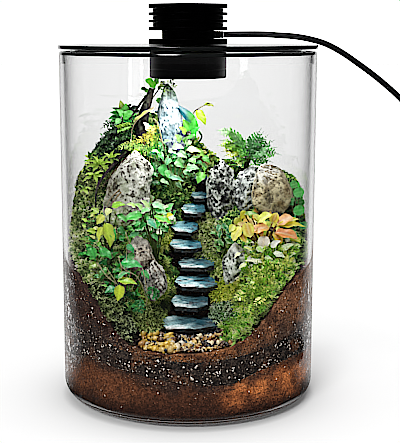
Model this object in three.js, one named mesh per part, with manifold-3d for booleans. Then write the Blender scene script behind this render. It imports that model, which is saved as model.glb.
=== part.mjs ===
// Planted glass cylinder with a clip-through lamp in its lid.
// Millimetres, +Z up. Origin: centre of the jar's flat underside. -Y is the front.
import * as THREE from "three";
import { mergeVertices } from "three/addons/utils/BufferGeometryUtils.js";
import Module from "manifold-3d";

const wasm = await Module();
wasm.setup();

// ---------------------------------------------------------------- dimensions
// Jar
const JAR_R = 100; // outer radius
const WALL = 4; // glass wall
const BASE = 3; // glass floor
const CORNER = 15.1; // outer corner radius of the base
const RIM_Z = 273.7; // top of the jar's lip
const JAR_SEG = 40;
// Lid
const LID_R = 100.8;
const LID_Z0 = 275.4;
const LID_Z1 = 278.2;
const LID_HOLE_R = 6.6;
// Lamp
const FIN_R = 30.45;
const GROOVE_R = 27.2;
const NECK_R = 20.2;
const FINS = [
  [309.4, 306.4],
  [303.0, 301.0],
  [297.3, 295.6],
  [291.9, 289.5],
];
const NECK_Z0 = 282.9;
const FLANGE_R = 30.4;
const FLANGE_Z0 = 278.5;
const STUD_R = 6.0;
const STUD_Z0 = 269.6;
const WIRE_BORE_R = 3.0;
const HOUSING_R = 29.95;
const HOUSING_Z1 = 275.1;
const HOUSING_Z0 = 253.0;
const HOUSING_WALL = 2.5;
const LAMP_SEG = 20;
// Lead
const CORD_D = 4.3;
const CORD_Z = 286.2;
const COIL_C = [217.2, 30]; // centre of the coil on the floor
const COIL_RADII = [17.2, 21.5, 25.8, 30.1]; // four turns side by side, in two layers
const COIL_TOP = 9.1;
const PLUG_Y0 = 2.0; // end of the plug's body, where the lead goes in
// Ground
const FILL_R = 95.5; // soil, 0.5 mm clear of the wall
const GAP = 0.35; // clearance between touching pieces

// ---------------------------------------------------------------- helpers
const rng = (seed) => {
  let s = seed >>> 0;
  return () => {
    s = (Math.imul(s, 1664525) + 1013904223) >>> 0;
    return s / 4294967296;
  };
};
const lerp = (a, b, t) => a + (b - a) * t;
const table = (xs, ys, x) => {
  if (x <= xs[0]) return ys[0];
  for (let i = 1; i < xs.length; i++)
    if (x <= xs[i])
      return lerp(ys[i - 1], ys[i], (x - xs[i - 1]) / (xs[i] - xs[i - 1]));
  return ys[ys.length - 1];
};

// A closed geometry becomes a solid that can be joined and cut.
function solid(geometry) {
  const g = geometry.clone();
  g.deleteAttribute("normal");
  g.deleteAttribute("uv");
  const m = mergeVertices(g, 1e-4);
  const made = new wasm.Manifold(
    new wasm.Mesh({
      numProp: 3,
      vertProperties: new Float32Array(m.attributes.position.array),
      triVerts: new Uint32Array(m.index.array),
    }),
  );
  return made;
}
function geometryOf(s) {
  const m = s.getMesh();
  const n = m.numProp;
  const v = new Float32Array(m.numVert * 3);
  for (let i = 0; i < m.numVert; i++)
    v.set(m.vertProperties.subarray(i * n, i * n + 3), i * 3);
  return new THREE.BufferGeometry()
    .setAttribute("position", new THREE.BufferAttribute(v, 3))
    .setIndex(new THREE.BufferAttribute(m.triVerts, 1));
}
// The largest body of a solid that a cut may have split.
function main(s) {
  const parts = s.decompose();
  return parts.length < 2
    ? s
    : parts.reduce((a, b) => (a.volume() > b.volume() ? a : b));
}
// Draws points closer than `near` together, so that no sliver is left by a cut.
function tidy(s, near = 0.04) {
  const m = s.getMesh();
  const n = m.numProp;
  const pts = [];
  for (let i = 0; i < m.numVert; i++)
    pts.push(Array.from(m.vertProperties.subarray(i * n, i * n + 3)));
  const to = pts.map((_, i) => i);
  const root = (i) => {
    while (to[i] !== i) i = to[i];
    return i;
  };
  for (let t = 0; t < m.triVerts.length; t += 3)
    for (let k = 0; k < 3; k++) {
      const a = root(m.triVerts[t + k]);
      const b = root(m.triVerts[t + ((k + 1) % 3)]);
      if (a !== b && Math.hypot(...[0, 1, 2].map((q) => pts[a][q] - pts[b][q])) < near)
        to[Math.max(a, b)] = Math.min(a, b);
    }
  const faces = [];
  for (let t = 0; t < m.triVerts.length; t += 3) {
    const f = [0, 1, 2].map((k) => root(m.triVerts[t + k]));
    if (f[0] !== f[1] && f[1] !== f[2] && f[2] !== f[0]) faces.push(f);
  }
  const used = new Map();
  const verts = [];
  const tris = faces.flat().map((i) => {
    if (!used.has(i)) {
      used.set(i, verts.length / 3);
      verts.push(...pts[i]);
    }
    return used.get(i);
  });
  try {
    const made = new wasm.Manifold(
      new wasm.Mesh({
        numProp: 3,
        vertProperties: new Float32Array(verts),
        triVerts: new Uint32Array(tris),
      }),
    );
    if (made.decompose().length === 1 && Math.abs(made.volume() / s.volume() - 1) < 0.02)
      return made;
  } catch {
    return s;
  }
  return s;
}
// Whether every edge still has two faces once points at one place are taken as one.
function sound(s) {
  const m = s.getMesh();
  const n = m.numProp;
  const ids = new Map();
  const at = [];
  for (let i = 0; i < m.numVert; i++) {
    const key = [0, 1, 2].map((q) => Math.round(m.vertProperties[i * n + q] * 1000)).join(",");
    if (!ids.has(key)) ids.set(key, ids.size);
    at.push(ids.get(key));
  }
  const edges = new Map();
  for (let t = 0; t < m.triVerts.length; t += 3) {
    const f = [0, 1, 2].map((k) => at[m.triVerts[t + k]]);
    if (f[0] === f[1] || f[1] === f[2] || f[2] === f[0]) continue;
    for (let k = 0; k < 3; k++) {
      const a = f[k];
      const b = f[(k + 1) % 3];
      const key = Math.min(a, b) + "," + Math.max(a, b);
      edges.set(key, (edges.get(key) || 0) + 1);
    }
  }
  for (const c of edges.values()) if (c !== 2) return false;
  return true;
}
function clean(s) {
  for (const near of [0.04, 0.015, 0.08, 0.15]) {
    const t = tidy(s, near);
    if (sound(t)) return t;
  }
  return s;
}
function lathe(profile, segments) {
  const g = new THREE.LatheGeometry(
    profile.map(([r, z]) => new THREE.Vector2(r, z)),
    segments,
  );
  g.rotateX(Math.PI / 2);
  return g;
}
// A ring or disc turned about Z. Its profile runs anticlockwise in (r, z).
function turned(profile, segments) {
  let s;
  for (const p of [profile, [...profile].reverse()]) {
    s = solid(lathe(p, segments));
    if (s.volume() > 0) return s;
  }
  return s;
}
function box(x0, x1, y0, y1, z0, z1) {
  const g = new THREE.BoxGeometry(x1 - x0, y1 - y0, z1 - z0);
  g.translate((x0 + x1) / 2, (y0 + y1) / 2, (z0 + z1) / 2);
  return solid(g);
}
function rod(radius, from, to, segments = 12, radius2 = radius) {
  const a = new THREE.Vector3(...from);
  const b = new THREE.Vector3(...to);
  const g = new THREE.CylinderGeometry(radius2, radius, a.distanceTo(b), segments);
  g.applyQuaternion(
    new THREE.Quaternion().setFromUnitVectors(
      new THREE.Vector3(0, 1, 0),
      b.clone().sub(a).normalize(),
    ),
  );
  g.translate(...a.clone().add(b).multiplyScalar(0.5).toArray());
  return solid(g);
}
function mesh3(verts, faces) {
  const g = new THREE.BufferGeometry()
    .setAttribute("position", new THREE.Float32BufferAttribute(verts.flat(), 3))
    .setIndex(faces.flat());
  return solid(g);
}

// ---------------------------------------------------------------- ground
// Heights of the planted ground above the underside, on a square grid.
const GRID = [-96, -72, -48, -24, 0, 24, 48, 72, 96];
const HEIGHTS = [
  [100, 78, 61, 57, 57.5, 59.5, 66, 84, 100],
  [104, 88, 70, 60.5, 58.5, 61.5, 76, 94, 104],
  [107, 104, 96, 71, 65, 71, 98, 106, 108],
  [116, 124, 124, 102, 94, 101, 122, 122, 114],
  [134, 150, 152, 134, 123, 130, 142, 146, 138],
  [160, 189, 203, 181, 152, 152, 160, 169, 160],
  [160, 189, 214, 216, 197, 178, 173, 168, 158],
  [148, 164, 184, 190, 182, 172, 164, 154, 148],
  [148, 152, 160, 164, 162, 158, 154, 150, 148],
];
const cubic = (p, t) =>
  p[1] +
  0.5 *
    t *
    (p[2] -
      p[0] +
      t *
        (2 * p[0] -
          5 * p[1] +
          4 * p[2] -
          p[3] +
          t * (3 * (p[1] - p[2]) + p[3] - p[0])));
function ground(x, y) {
  const cell = (v) => {
    const f = Math.min(Math.max((v + 96) / 24, 0), 7.9999);
    const i = Math.floor(f);
    return [i, f - i];
  };
  const [i, tx] = cell(x);
  const [j, ty] = cell(y);
  const clampI = (k) => Math.min(Math.max(k, 0), 8);
  const rows = [-1, 0, 1, 2].map((dj) =>
    cubic(
      [-1, 0, 1, 2].map((di) => HEIGHTS[clampI(j + dj)][clampI(i + di)]),
      tx,
    ),
  );
  return cubic(rows, ty);
}
// The strata meet the wall at these heights; inside, each runs straight to the axis.
const STRATA_AZ = [-180, -110, -70, -48, -28, -12, 3, 18, 31, 41, 53, 65, 110, 180];
const BASE_TOP = [46, 44, 40, 46, 42, 38, 34.5, 33, 40, 43, 45, 44, 46, 46];
const GRAVEL_TOP = [66, 66, 66, 64, 57, 53, 51.5, 53, 56, 59, 62, 65, 66, 66];
const AXIS_BASE_TOP = 38;
const AXIS_GRAVEL_TOP = 56;
const azimuth = (x, y) => (Math.atan2(x, -y) * 180) / Math.PI;
const stratum = (tops, axis) => (x, y) => {
  const r = Math.hypot(x, y);
  if (r < 1e-6) return axis;
  return lerp(axis, table(STRATA_AZ, tops, azimuth(x, y)), r / FILL_R);
};
const baseTop = stratum(BASE_TOP, AXIS_BASE_TOP);
const gravelTop = stratum(GRAVEL_TOP, AXIS_GRAVEL_TOP);

const NA = 36;
const RINGS = [0, 16, 32, 48, 64, 80, FILL_R];
const polar = (r, k) => {
  const a = (k / NA) * 2 * Math.PI;
  return [r * Math.cos(a), r * Math.sin(a)];
};
// A layer between two surfaces over the round fill, each with its own rings.
function layer(top, topRings, bottom, bottomRings) {
  const verts = [];
  const faces = [];
  const sheet = (fn, rings, up) => {
    const start = verts.length;
    verts.push([0, 0, fn(0, 0)]);
    for (const r of rings.slice(1))
      for (let k = 0; k < NA; k++) {
        const [x, y] = polar(r, k);
        verts.push([x, y, fn(x, y)]);
      }
    const at = (ring, k) => (ring === 0 ? start : start + 1 + (ring - 1) * NA + (k % NA));
    const add = (a, b, c) => faces.push(up ? [a, b, c] : [a, c, b]);
    for (let ring = 0; ring < rings.length - 1; ring++)
      for (let k = 0; k < NA; k++) {
        if (ring === 0) add(start, at(1, k), at(1, k + 1));
        else {
          add(at(ring, k), at(ring + 1, k), at(ring + 1, k + 1));
          add(at(ring, k), at(ring + 1, k + 1), at(ring, k + 1));
        }
      }
    return (k) => at(rings.length - 1, k);
  };
  const t = sheet(top, topRings, true);
  const b = sheet(bottom, bottomRings, false);
  for (let k = 0; k < NA; k++) {
    faces.push([b(k), b(k + 1), t(k + 1)]);
    faces.push([b(k), t(k + 1), t(k)]);
  }
  return mesh3(verts, faces);
}
// A blanket of even footing on the ground, over the grid cells that `inside` picks.
function blanket(inside, thickness) {
  const verts = [];
  const faces = [];
  const ids = new Map();
  const cells = new Set();
  for (let i = 1; i < RINGS.length - 1; i++)
    for (let k = 0; k < NA; k++) {
      const r = (RINGS[i] + RINGS[i + 1]) / 2;
      const a = ((k + 0.5) / NA) * 2 * Math.PI;
      if (inside(r * Math.cos(a), r * Math.sin(a))) cells.add(i * NA + k);
    }
  const has = (i, k) => cells.has(i * NA + ((k + NA) % NA));
  // A cell that meets another only at a corner would not be one solid.
  let changed = true;
  while (changed) {
    changed = false;
    for (let i = 1; i < RINGS.length - 2; i++)
      for (let k = 0; k < NA; k++) {
        const a = has(i, k);
        const b = has(i, k + 1);
        const c = has(i + 1, k);
        const d = has(i + 1, k + 1);
        if ((a && d && !b && !c) || (b && c && !a && !d)) {
          cells.add(i * NA + k);
          cells.add(i * NA + ((k + 1) % NA));
          changed = true;
        }
      }
  }
  const node = (i, k, top) => {
    k = (k + NA) % NA;
    const key = (i * NA + k) * 2 + (top ? 1 : 0);
    if (!ids.has(key)) {
      const [x, y] = polar(RINGS[i], k);
      ids.set(key, verts.length);
      const all =
        has(i, k) && has(i, k - 1) && (i < 1 || (has(i - 1, k) && has(i - 1, k - 1)));
      const open =
        i === RINGS.length - 1
          ? has(i - 1, k) && has(i - 1, k - 1)
          : all;
      const t = top ? (open ? thickness(x, y) : Math.min(1.4, thickness(x, y))) : 0;
      verts.push([x, y, ground(x, y) + GAP + t]);
    }
    return ids.get(key);
  };
  for (const cell of cells) {
    const i = Math.floor(cell / NA);
    const k = cell % NA;
    const q = [
      [i, k],
      [i + 1, k],
      [i + 1, k + 1],
      [i, k + 1],
    ];
    const T = q.map(([a, b]) => node(a, b, true));
    const B = q.map(([a, b]) => node(a, b, false));
    faces.push([T[0], T[1], T[2]], [T[0], T[2], T[3]]);
    faces.push([B[0], B[2], B[1]], [B[0], B[3], B[2]]);
    const side = (p, n) => {
      faces.push([B[p], B[n], T[n]], [B[p], T[n], T[p]]);
    };
    if (!has(i, k - 1)) side(0, 1);
    if (i + 1 > RINGS.length - 2 || !has(i + 1, k)) side(1, 2);
    if (!has(i, k + 1)) side(2, 3);
    if (i - 1 < 1 || !has(i - 1, k)) side(3, 0);
  }
  return main(mesh3(verts, faces));
}

// ---------------------------------------------------------------- stones
// A stone is a ball cut by flat faces, stretched, tapered and leaned.
function stoneFaces(seed, count) {
  const r = rng(seed);
  const faces = [];
  for (let k = 0; k < count; k++) {
    const z = 1 - (2 * (k + 0.5)) / count;
    const a = k * 2.399963 + r() * 0.9;
    const w = Math.sqrt(1 - z * z);
    faces.push([w * Math.cos(a), w * Math.sin(a), z, 0.8 + 0.2 * r()]);
  }
  return faces;
}
function stone({ c, s, rot = 0, taper = 0, lean = [0, 0], seed, n = 14, detail = 1 }, grow = 0) {
  const faces = stoneFaces(seed, n);
  const g = new THREE.IcosahedronGeometry(1, detail);
  const p = g.attributes.position;
  for (let i = 0; i < p.count; i++) {
    const v = new THREE.Vector3().fromBufferAttribute(p, i).normalize();
    let r = 1.12;
    for (const [x, y, z, d] of faces) {
      const m = v.x * x + v.y * y + v.z * z;
      if (m > 0.05) r = Math.min(r, d / m);
    }
    v.multiplyScalar(r);
    const t = 1 - taper * v.z;
    const x = v.x * (s[0] + grow) * t + lean[0] * v.z * s[2];
    const y = v.y * (s[1] + grow) * t + lean[1] * v.z * s[2];
    const z = v.z * (s[2] + grow);
    const ca = Math.cos(rot);
    const sa = Math.sin(rot);
    p.setXYZ(i, c[0] + ca * x - sa * y, c[1] + sa * x + ca * y, c[2] + z);
  }
  return solid(g);
}
// A split slate: an uneven outline of even thickness, tipped towards the front.
function slab({ c, w, d, t, tip, yaw, seed }, grow = 0) {
  const r = rng(seed);
  const shape = new THREE.Shape();
  const n = 7;
  for (let k = 0; k < n; k++) {
    const a = ((k + 0.5) / n) * 2 * Math.PI;
    const q = 0.9 + 0.2 * r();
    const e = 0.62;
    const x = Math.sign(Math.cos(a)) * Math.pow(Math.abs(Math.cos(a)), e) * (w / 2) * q;
    const y = Math.sign(Math.sin(a)) * Math.pow(Math.abs(Math.sin(a)), e) * (d / 2) * q;
    const fx = (w / 2 + grow) / (w / 2);
    const fy = (d / 2 + grow) / (d / 2);
    if (k) shape.lineTo(x * fx, y * fy);
    else shape.moveTo(x * fx, y * fy);
  }
  shape.closePath();
  const g = new THREE.ExtrudeGeometry(shape, { depth: t + 2 * grow, bevelEnabled: false });
  g.translate(0, 0, -t / 2 - grow);
  g.rotateX(tip);
  g.rotateZ(yaw);
  g.translate(...c);
  return solid(g);
}

// ---------------------------------------------------------------- plants
const V = (p) => new THREE.Vector3(...p);
// A thin blade along points: four-sided, `wide` across and `thick` through.
function blade(points, wide, thick, up = [0, 0, 1]) {
  const n = points.length;
  const verts = [];
  const faces = [];
  const P = points.map(V);
  const ring = [];
  for (let i = 0; i < n; i++) {
    const d = P[Math.min(i + 1, n - 1)].clone().sub(P[Math.max(i - 1, 0)]).normalize();
    let u = V(up);
    if (Math.abs(u.dot(d)) > 0.97) u = new THREE.Vector3(1, 0, 0);
    const side = d.clone().cross(u).normalize();
    const top = side.clone().cross(d).normalize();
    const w = Array.isArray(wide) ? wide[i] : wide;
    const h = Array.isArray(thick) ? thick[i] : thick;
    const at = (a, b) =>
      P[i].clone().addScaledVector(side, a).addScaledVector(top, b).toArray();
    ring.push(verts.length);
    verts.push(at(w / 2, 0), at(0, h / 2), at(-w / 2, 0), at(0, -h / 2));
  }
  for (let i = 0; i < n - 1; i++)
    for (let k = 0; k < 4; k++) {
      const a = ring[i] + k;
      const b = ring[i] + ((k + 1) % 4);
      const c = ring[i + 1] + k;
      const e = ring[i + 1] + ((k + 1) % 4);
      faces.push([a, c, b], [b, c, e]);
    }
  const s = ring[0];
  const t = ring[n - 1];
  faces.push([s, s + 1, s + 2], [s, s + 2, s + 3]);
  faces.push([t, t + 2, t + 1], [t, t + 3, t + 2]);
  let made = mesh3(verts, faces);
  if (made.volume() < 0)
    made = mesh3(
      verts,
      faces.map(([a, b, c]) => [a, c, b]),
    );
  return made;
}
// A leaf on its stalk, from `from` towards `to`, drooping at its tip.
function leaf(from, to, width, droop, grow = 0) {
  const a = V(from);
  const b = V(to);
  const at = (t) => {
    const p = a.clone().lerp(b, t);
    p.z -= droop * t * t;
    return p.toArray();
  };
  return blade(
    [at(0), at(0.6), at(1)],
    [1.0, width, 0.8].map((w) => w + grow),
    [0.9, 1.0, 0.5].map((w) => w + grow),
    [0, from[1] > 50 ? 0.62 : -0.62, 0.78],
  );
}

// ---------------------------------------------------------------- the pieces
const pieces = []; // {name, solid, material}
const add = (name, made, colour, roughness, metalness = 0, opacity = 1) => {
  pieces.push({ name, made, colour, roughness, metalness, opacity });
  return made;
};
const find = (name) => pieces.find((p) => p.name === name);

// Jar: flat underside, rounded corner, plain wall, rounded lip.
const arc = (cx, cz, r, a0, a1, n) =>
  Array.from({ length: n + 1 }, (_, i) => {
    const a = ((a0 + ((a1 - a0) * i) / n) * Math.PI) / 180;
    return [cx + r * Math.cos(a), cz + r * Math.sin(a)];
  });
const IN_R = JAR_R - WALL;
const IN_CORNER = 12;
add(
  "glass_jar",
  turned(
    [
      [0, 0],
      ...arc(JAR_R - CORNER, CORNER, CORNER, -90, 0, 4),
      [JAR_R, RIM_Z - 1.3],
      [JAR_R - 1.2, RIM_Z],
      [IN_R + 1.2, RIM_Z],
      [IN_R, RIM_Z - 1.3],
      ...arc(IN_R - IN_CORNER, BASE + IN_CORNER, IN_CORNER, 0, -90, 3),
      [0, BASE],
    ],
    JAR_SEG,
  ),
  0xdfe9e6,
  0.03,
  0,
  0.3,
);
add(
  "glass_lid",
  turned(
    [
      [LID_HOLE_R, LID_Z0],
      [LID_R - 1.0, LID_Z0],
      [LID_R, LID_Z0 + 1.0],
      [LID_R, LID_Z1 - 0.5],
      [LID_R - 0.5, LID_Z1],
      [LID_HOLE_R, LID_Z1],
      [LID_HOLE_R, LID_Z0],
    ],
    JAR_SEG,
  ),
  0xdfe9e6,
  0.03,
  0,
  0.3,
);
// Clear pads hold the lid just off the lip, so that air can pass.
[90, 210, 330].forEach((deg, i) => {
  const a = (deg * Math.PI) / 180;
  const g = new THREE.CylinderGeometry(1.7, 1.7, LID_Z0 - RIM_Z - 2 * 0.3, 12);
  g.rotateX(Math.PI / 2);
  g.translate(98 * Math.cos(a), 98 * Math.sin(a), (LID_Z0 + RIM_Z) / 2);
  add("lid_bumper_" + (i + 1), solid(g), 0xe8ecea, 0.3, 0, 0.5);
});

// Lamp: finned sink above the lid, with a neck, a flange and a hollow stud.
const sinkProfile = [
  [WIRE_BORE_R, STUD_Z0],
  [STUD_R, STUD_Z0],
  [STUD_R, FLANGE_Z0 + 1.4],
  [25.2, FLANGE_Z0 + 1.4],
  [25.2, FLANGE_Z0],
  [FLANGE_R, FLANGE_Z0],
  [FLANGE_R, NECK_Z0],
  [NECK_R, NECK_Z0],
];
[...FINS].reverse().forEach(([z1, z0], i) => {
  sinkProfile.push([i ? GROOVE_R : NECK_R, z0], [FIN_R, z0], [FIN_R, z1]);
  if (i < FINS.length - 1) sinkProfile.push([GROOVE_R, z1]);
});
sinkProfile.push([0, FINS[0][0]], [0, CORD_Z + 3.2], [WIRE_BORE_R, CORD_Z + 3.2], [WIRE_BORE_R, STUD_Z0]);
add(
  "lamp_heatsink",
  turned(sinkProfile, LAMP_SEG).subtract(rod(3.35, [0, 0, CORD_Z], [24, 0, CORD_Z], 12)),
  0x0d0d0e,
  0.3,
  0.9,
);
add(
  "lamp_gasket_upper",
  turned(
    [
      [10, FLANGE_Z0],
      [24.8, FLANGE_Z0],
      [24.8, FLANGE_Z0 + 1.05],
      [10, FLANGE_Z0 + 1.05],
      [10, FLANGE_Z0],
    ],
    LAMP_SEG,
  ),
  0x161616,
  0.8,
);
const TOP_PLATE_Z = HOUSING_Z1 - 4.1;
let housing = turned(
  [
    [STUD_R + GAP, TOP_PLATE_Z],
    [HOUSING_R - HOUSING_WALL, TOP_PLATE_Z],
    [HOUSING_R - HOUSING_WALL, HOUSING_Z0],
    [HOUSING_R - 0.7, HOUSING_Z0],
    [HOUSING_R, HOUSING_Z0 + 0.7],
    [HOUSING_R, HOUSING_Z1],
    [25.2, HOUSING_Z1],
    [25.2, HOUSING_Z1 - 1.4],
    [STUD_R + GAP, HOUSING_Z1 - 1.4],
    [STUD_R + GAP, TOP_PLATE_Z],
  ],
  LAMP_SEG,
);
const SCREW_X = 15;
for (const x of [-SCREW_X, SCREW_X])
  housing = housing
    .add(rod(3.2, [x, 0, TOP_PLATE_Z - 2.6], [x, 0, TOP_PLATE_Z + 0.5], 12))
    .subtract(rod(1.75, [x, 0, TOP_PLATE_Z - 3], [x, 0, TOP_PLATE_Z + 1.6], 10));
add("lamp_housing", housing, 0x0d0d0e, 0.3, 0.9);
add(
  "lamp_gasket_lower",
  turned(
    [
      [10, HOUSING_Z1 - 1.05],
      [24.8, HOUSING_Z1 - 1.05],
      [24.8, HOUSING_Z1],
      [10, HOUSING_Z1],
      [10, HOUSING_Z1 - 1.05],
    ],
    LAMP_SEG,
  ),
  0x161616,
  0.8,
);
const BOARD_Z1 = TOP_PLATE_Z - 2.6 - GAP;
const BOARD_Z0 = BOARD_Z1 - 1.6;
let board = turned(
  [
    [0, BOARD_Z0],
    [26.6, BOARD_Z0],
    [26.6, BOARD_Z1],
    [0, BOARD_Z1],
  ],
  LAMP_SEG,
);
for (const x of [-SCREW_X, SCREW_X])
  board = board.subtract(rod(1.8, [x, 0, BOARD_Z0 - 1], [x, 0, BOARD_Z1 + 1], 10));
add("led_board", board, 0xe9e9e4, 0.5);
[-SCREW_X, SCREW_X].forEach((x, i) =>
  add(
    "board_screw_" + (i + 1),
    rod(2.7, [x, 0, BOARD_Z0 - 1.5], [x, 0, BOARD_Z0 - 0.3], 12).add(
      rod(1.4, [x, 0, BOARD_Z0 - 0.6], [x, 0, TOP_PLATE_Z + 1.0], 10),
    ),
    0xb9bbbd,
    0.35,
    1,
  ),
);
add(
  "lamp_lens",
  turned(
    [
      [0, 255.2],
      [26.9, 255.2],
      [26.9, 257.2],
      [0, 257.2],
    ],
    LAMP_SEG,
  ),
  0xf4f4ee,
  0.4,
  0,
  0.8,
);
add(
  "lens_ring",
  turned(
    [
      [24.3, 253.5],
      [27.1, 253.5],
      [27.1, 254.9],
      [24.3, 254.9],
      [24.3, 253.5],
    ],
    LAMP_SEG,
  ),
  0x101011,
  0.4,
  0.8,
);

// Lead: strain relief in the neck, a free run over the lid's edge to the floor,
// a coil, a short tail and the plug.
const RELIEF_END = 27.5;
add(
  "cord_strain_relief",
  rod(2.9, [12, 0, CORD_Z], [20.6, 0, CORD_Z], 12).add(
    rod(2.9, [20.4, 0, CORD_Z], [RELIEF_END, 0, CORD_Z], 12, 2.35),
  ),
  0x101010,
  0.6,
);
const ROUTE = [
  [RELIEF_END + 0.3, 0, 286.2],
  [40.4, 0, 286.4],
  [57.5, 0, 286.4],
  [71.5, 0, 285.6],
  [83.4, 0, 284.7],
  [95.3, 0, 282.6],
  [107.3, 0, 279.0],
  [119.2, 0, 272.9],
  [131.4, 0, 264.8],
  [143.6, 0, 256.1],
  [155.8, 0, 246.4],
  [167.5, -0.5, 235.8],
  [178.0, -2, 223.6],
  [186.5, -5, 209.0],
  [192.8, -8.5, 191.5],
  [196.6, -12, 171.5],
  [198.2, -15, 149.0],
  [198.3, -17.5, 124.0],
  [197.3, -19.3, 99.0],
  [195.6, -20.5, 75.0],
  [193.4, -20.5, 53.0],
  [191.2, -17.8, 35.0],
  [189.4, -12.2, 20.0],
  [188.0, -3.5, 8.6],
  [187.2, 6.0, 3.4],
  [187.1, 13.2, 2.5],
];
const cordCurve = new THREE.CatmullRomCurve3(ROUTE.map(V), false, "centripetal");
const cordSection = new THREE.Shape();
for (let k = 0; k < 8; k++) {
  const a = (k / 8) * 2 * Math.PI;
  const p = [(CORD_D / 2) * Math.cos(a), (CORD_D / 2) * Math.sin(a)];
  if (k) cordSection.lineTo(...p);
  else cordSection.moveTo(...p);
}
cordSection.closePath();
const along = (curve, steps) => {
  const g = new THREE.ExtrudeGeometry(cordSection, {
    steps,
    extrudePath: curve,
    bevelEnabled: false,
  });
  return solid(g);
};
add("cord_tube", along(cordCurve, 30), 0x0b0b0b, 0.5);
add(
  "cord_coil",
  (() => {
    const r0 = COIL_RADII[0] - CORD_D / 2;
    const r1 = COIL_RADII[3] + CORD_D / 2;
    const g = lathe(
      [
        [r0, 0.3],
        [r1, 0.3],
        [r1, COIL_TOP],
        [r0, COIL_TOP],
        [r0, 0.3],
      ],
      36,
    );
    g.translate(COIL_C[0], COIL_C[1], 0);
    const s = solid(g);
    if (s.volume() > 0) return s;
    const h = lathe(
      [
        [r0, 0.3],
        [r0, COIL_TOP],
        [r1, COIL_TOP],
        [r1, 0.3],
        [r0, 0.3],
      ],
      36,
    );
    h.translate(COIL_C[0], COIL_C[1], 0);
    return solid(h);
  })(),
  0x0b0b0b,
  0.5,
);
const TAIL_X = COIL_C[0] + COIL_RADII[3];
const plugShape = new THREE.Shape();
[
  [-8, -32],
  [8, -32],
  [8, -4],
  [3.4, PLUG_Y0],
  [-3.4, PLUG_Y0],
  [-8, -4],
].forEach(([x, y], i) => (i ? plugShape.lineTo(x, y) : plugShape.moveTo(x, y)));
plugShape.closePath();
const plugBody = new THREE.ExtrudeGeometry(plugShape, { depth: 8.4, bevelEnabled: false });
plugBody.translate(TAIL_X, 0, 0.4);
add(
  "plug_body",
  solid(plugBody)
    .add(rod(3.4, [TAIL_X, 1.5, 4.7], [TAIL_X, 12.6, 6.2], 10, 2.5)).subtract(box(TAIL_X - 6.4, TAIL_X + 6.4, -33, -30, 2.0, 7.2)),
  0x0e0e0e,
  0.5,
);
add(
  "plug_shell",
  box(TAIL_X - 6, TAIL_X + 6, -51, -30.4, 2.35, 6.85)
    .subtract(box(TAIL_X - 5.6, TAIL_X + 5.6, -52, -32.5, 2.75, 6.45))
    .subtract(box(TAIL_X - 3.7, TAIL_X - 1.7, -41, -39, 6, 8))
    .subtract(box(TAIL_X + 1.7, TAIL_X + 3.7, -41, -39, 6, 8)),
  0xc8cacc,
  0.25,
  1,
);
// Stones. Each is set into the ground; the ground is cut to hold it.
const STONES = {
  rock_peak: { c: [-15.5, 42, 212], s: [12.5, 13, 38], taper: 0.28, lean: [-0.02, 0.05], seed: 11, n: 15 },
  rock_left_tall: { c: [-47.5, -9, 164.5], s: [18, 15, 34.5], taper: 0.14, lean: [0.24, 0.06], seed: 23, n: 13 },
  rock_left_low: { c: [-37, -29, 117], s: [12, 11, 16.5], taper: 0.3, lean: [-0.05, 0], seed: 37, n: 13 },
  rock_left_ribbed: { c: [-26, -45.5, 101], s: [9.8, 9.5, 14.5], taper: 0.1, lean: [0, 0], seed: 41, n: 12 },
  rock_center_dark: { c: [28, 12, 160], s: [12.4, 12, 31], taper: 0.08, lean: [0.0, 0.05], seed: 53, n: 14 },
  rock_right_boulder: { c: [66.5, 1, 163.5], s: [15.8, 16, 23.5], taper: 0.12, lean: [-0.08, 0], seed: 73, n: 12 },
  rock_right_low: { c: [36.5, -31, 109.5], s: [10.2, 10, 17.5], taper: 0.2, lean: [0.02, 0], seed: 83, n: 13 },
};
const stoneColours = {
  rock_peak: 0xe6ebea,
  rock_left_tall: 0xc9cbc4,
  rock_left_low: 0xb89f92,
  rock_left_ribbed: 0xbdb8ac,
  rock_center_dark: 0x5b5d5c,
  rock_right_boulder: 0xa58e6d,
  rock_right_low: 0x9fa09a,
};
// The boulder's rough grey shoulder, on its inner side.
const SHOULDER = { c: [47.5, 9.5, 165], s: [9.6, 9.5, 20.5], taper: 0.15, lean: [0.05, 0], seed: 61, n: 12 };
const stoneSolid = (name, grow = 0) =>
  name === "rock_right_boulder"
    ? stone(STONES[name], grow).add(stone(SHOULDER, grow).subtract(stone(STONES.rock_center_dark, 0.4)))
    : stone(STONES[name], grow);
for (const name of Object.keys(STONES))
  add(name, stoneSolid(name), stoneColours[name], 0.85);

// Slate steps, from the pebble bed up to the gap between the rocks.
const STEPS = [
  { c: [-0.1, -51, 68.2], w: 43, d: 21, t: 4.6, tip: 0.3, yaw: 0.03, seed: 101 },
  { c: [1.6, -41, 82.3], w: 31, d: 20, t: 4.6, tip: 0.3, yaw: -0.06, seed: 102 },
  { c: [6.0, -31, 95.6], w: 34, d: 20, t: 5.0, tip: 0.34, yaw: 0.08, seed: 103 },
  { c: [7.0, -21, 108.6], w: 31, d: 20, t: 4.4, tip: 0.28, yaw: -0.04, seed: 104 },
  { c: [-1.6, -11, 121.2], w: 26.5, d: 20, t: 4.4, tip: 0.28, yaw: 0.05, seed: 105 },
  { c: [-2.0, -1, 133.6], w: 23, d: 19, t: 4.6, tip: 0.34, yaw: -0.05, seed: 106 },
  { c: [4.5, 9, 146.6], w: 20.5, d: 18, t: 4.6, tip: 0.34, yaw: 0.06, seed: 107 },
  { c: [9.8, 19.2, 156.0], w: 15, d: 15, t: 4.0, tip: 0.3, yaw: 0.1, seed: 108 },
  { c: [10.6, 30.5, 169.0], w: 12, d: 13, t: 4.0, tip: 0.3, yaw: 0.15, seed: 109 },
];
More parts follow.
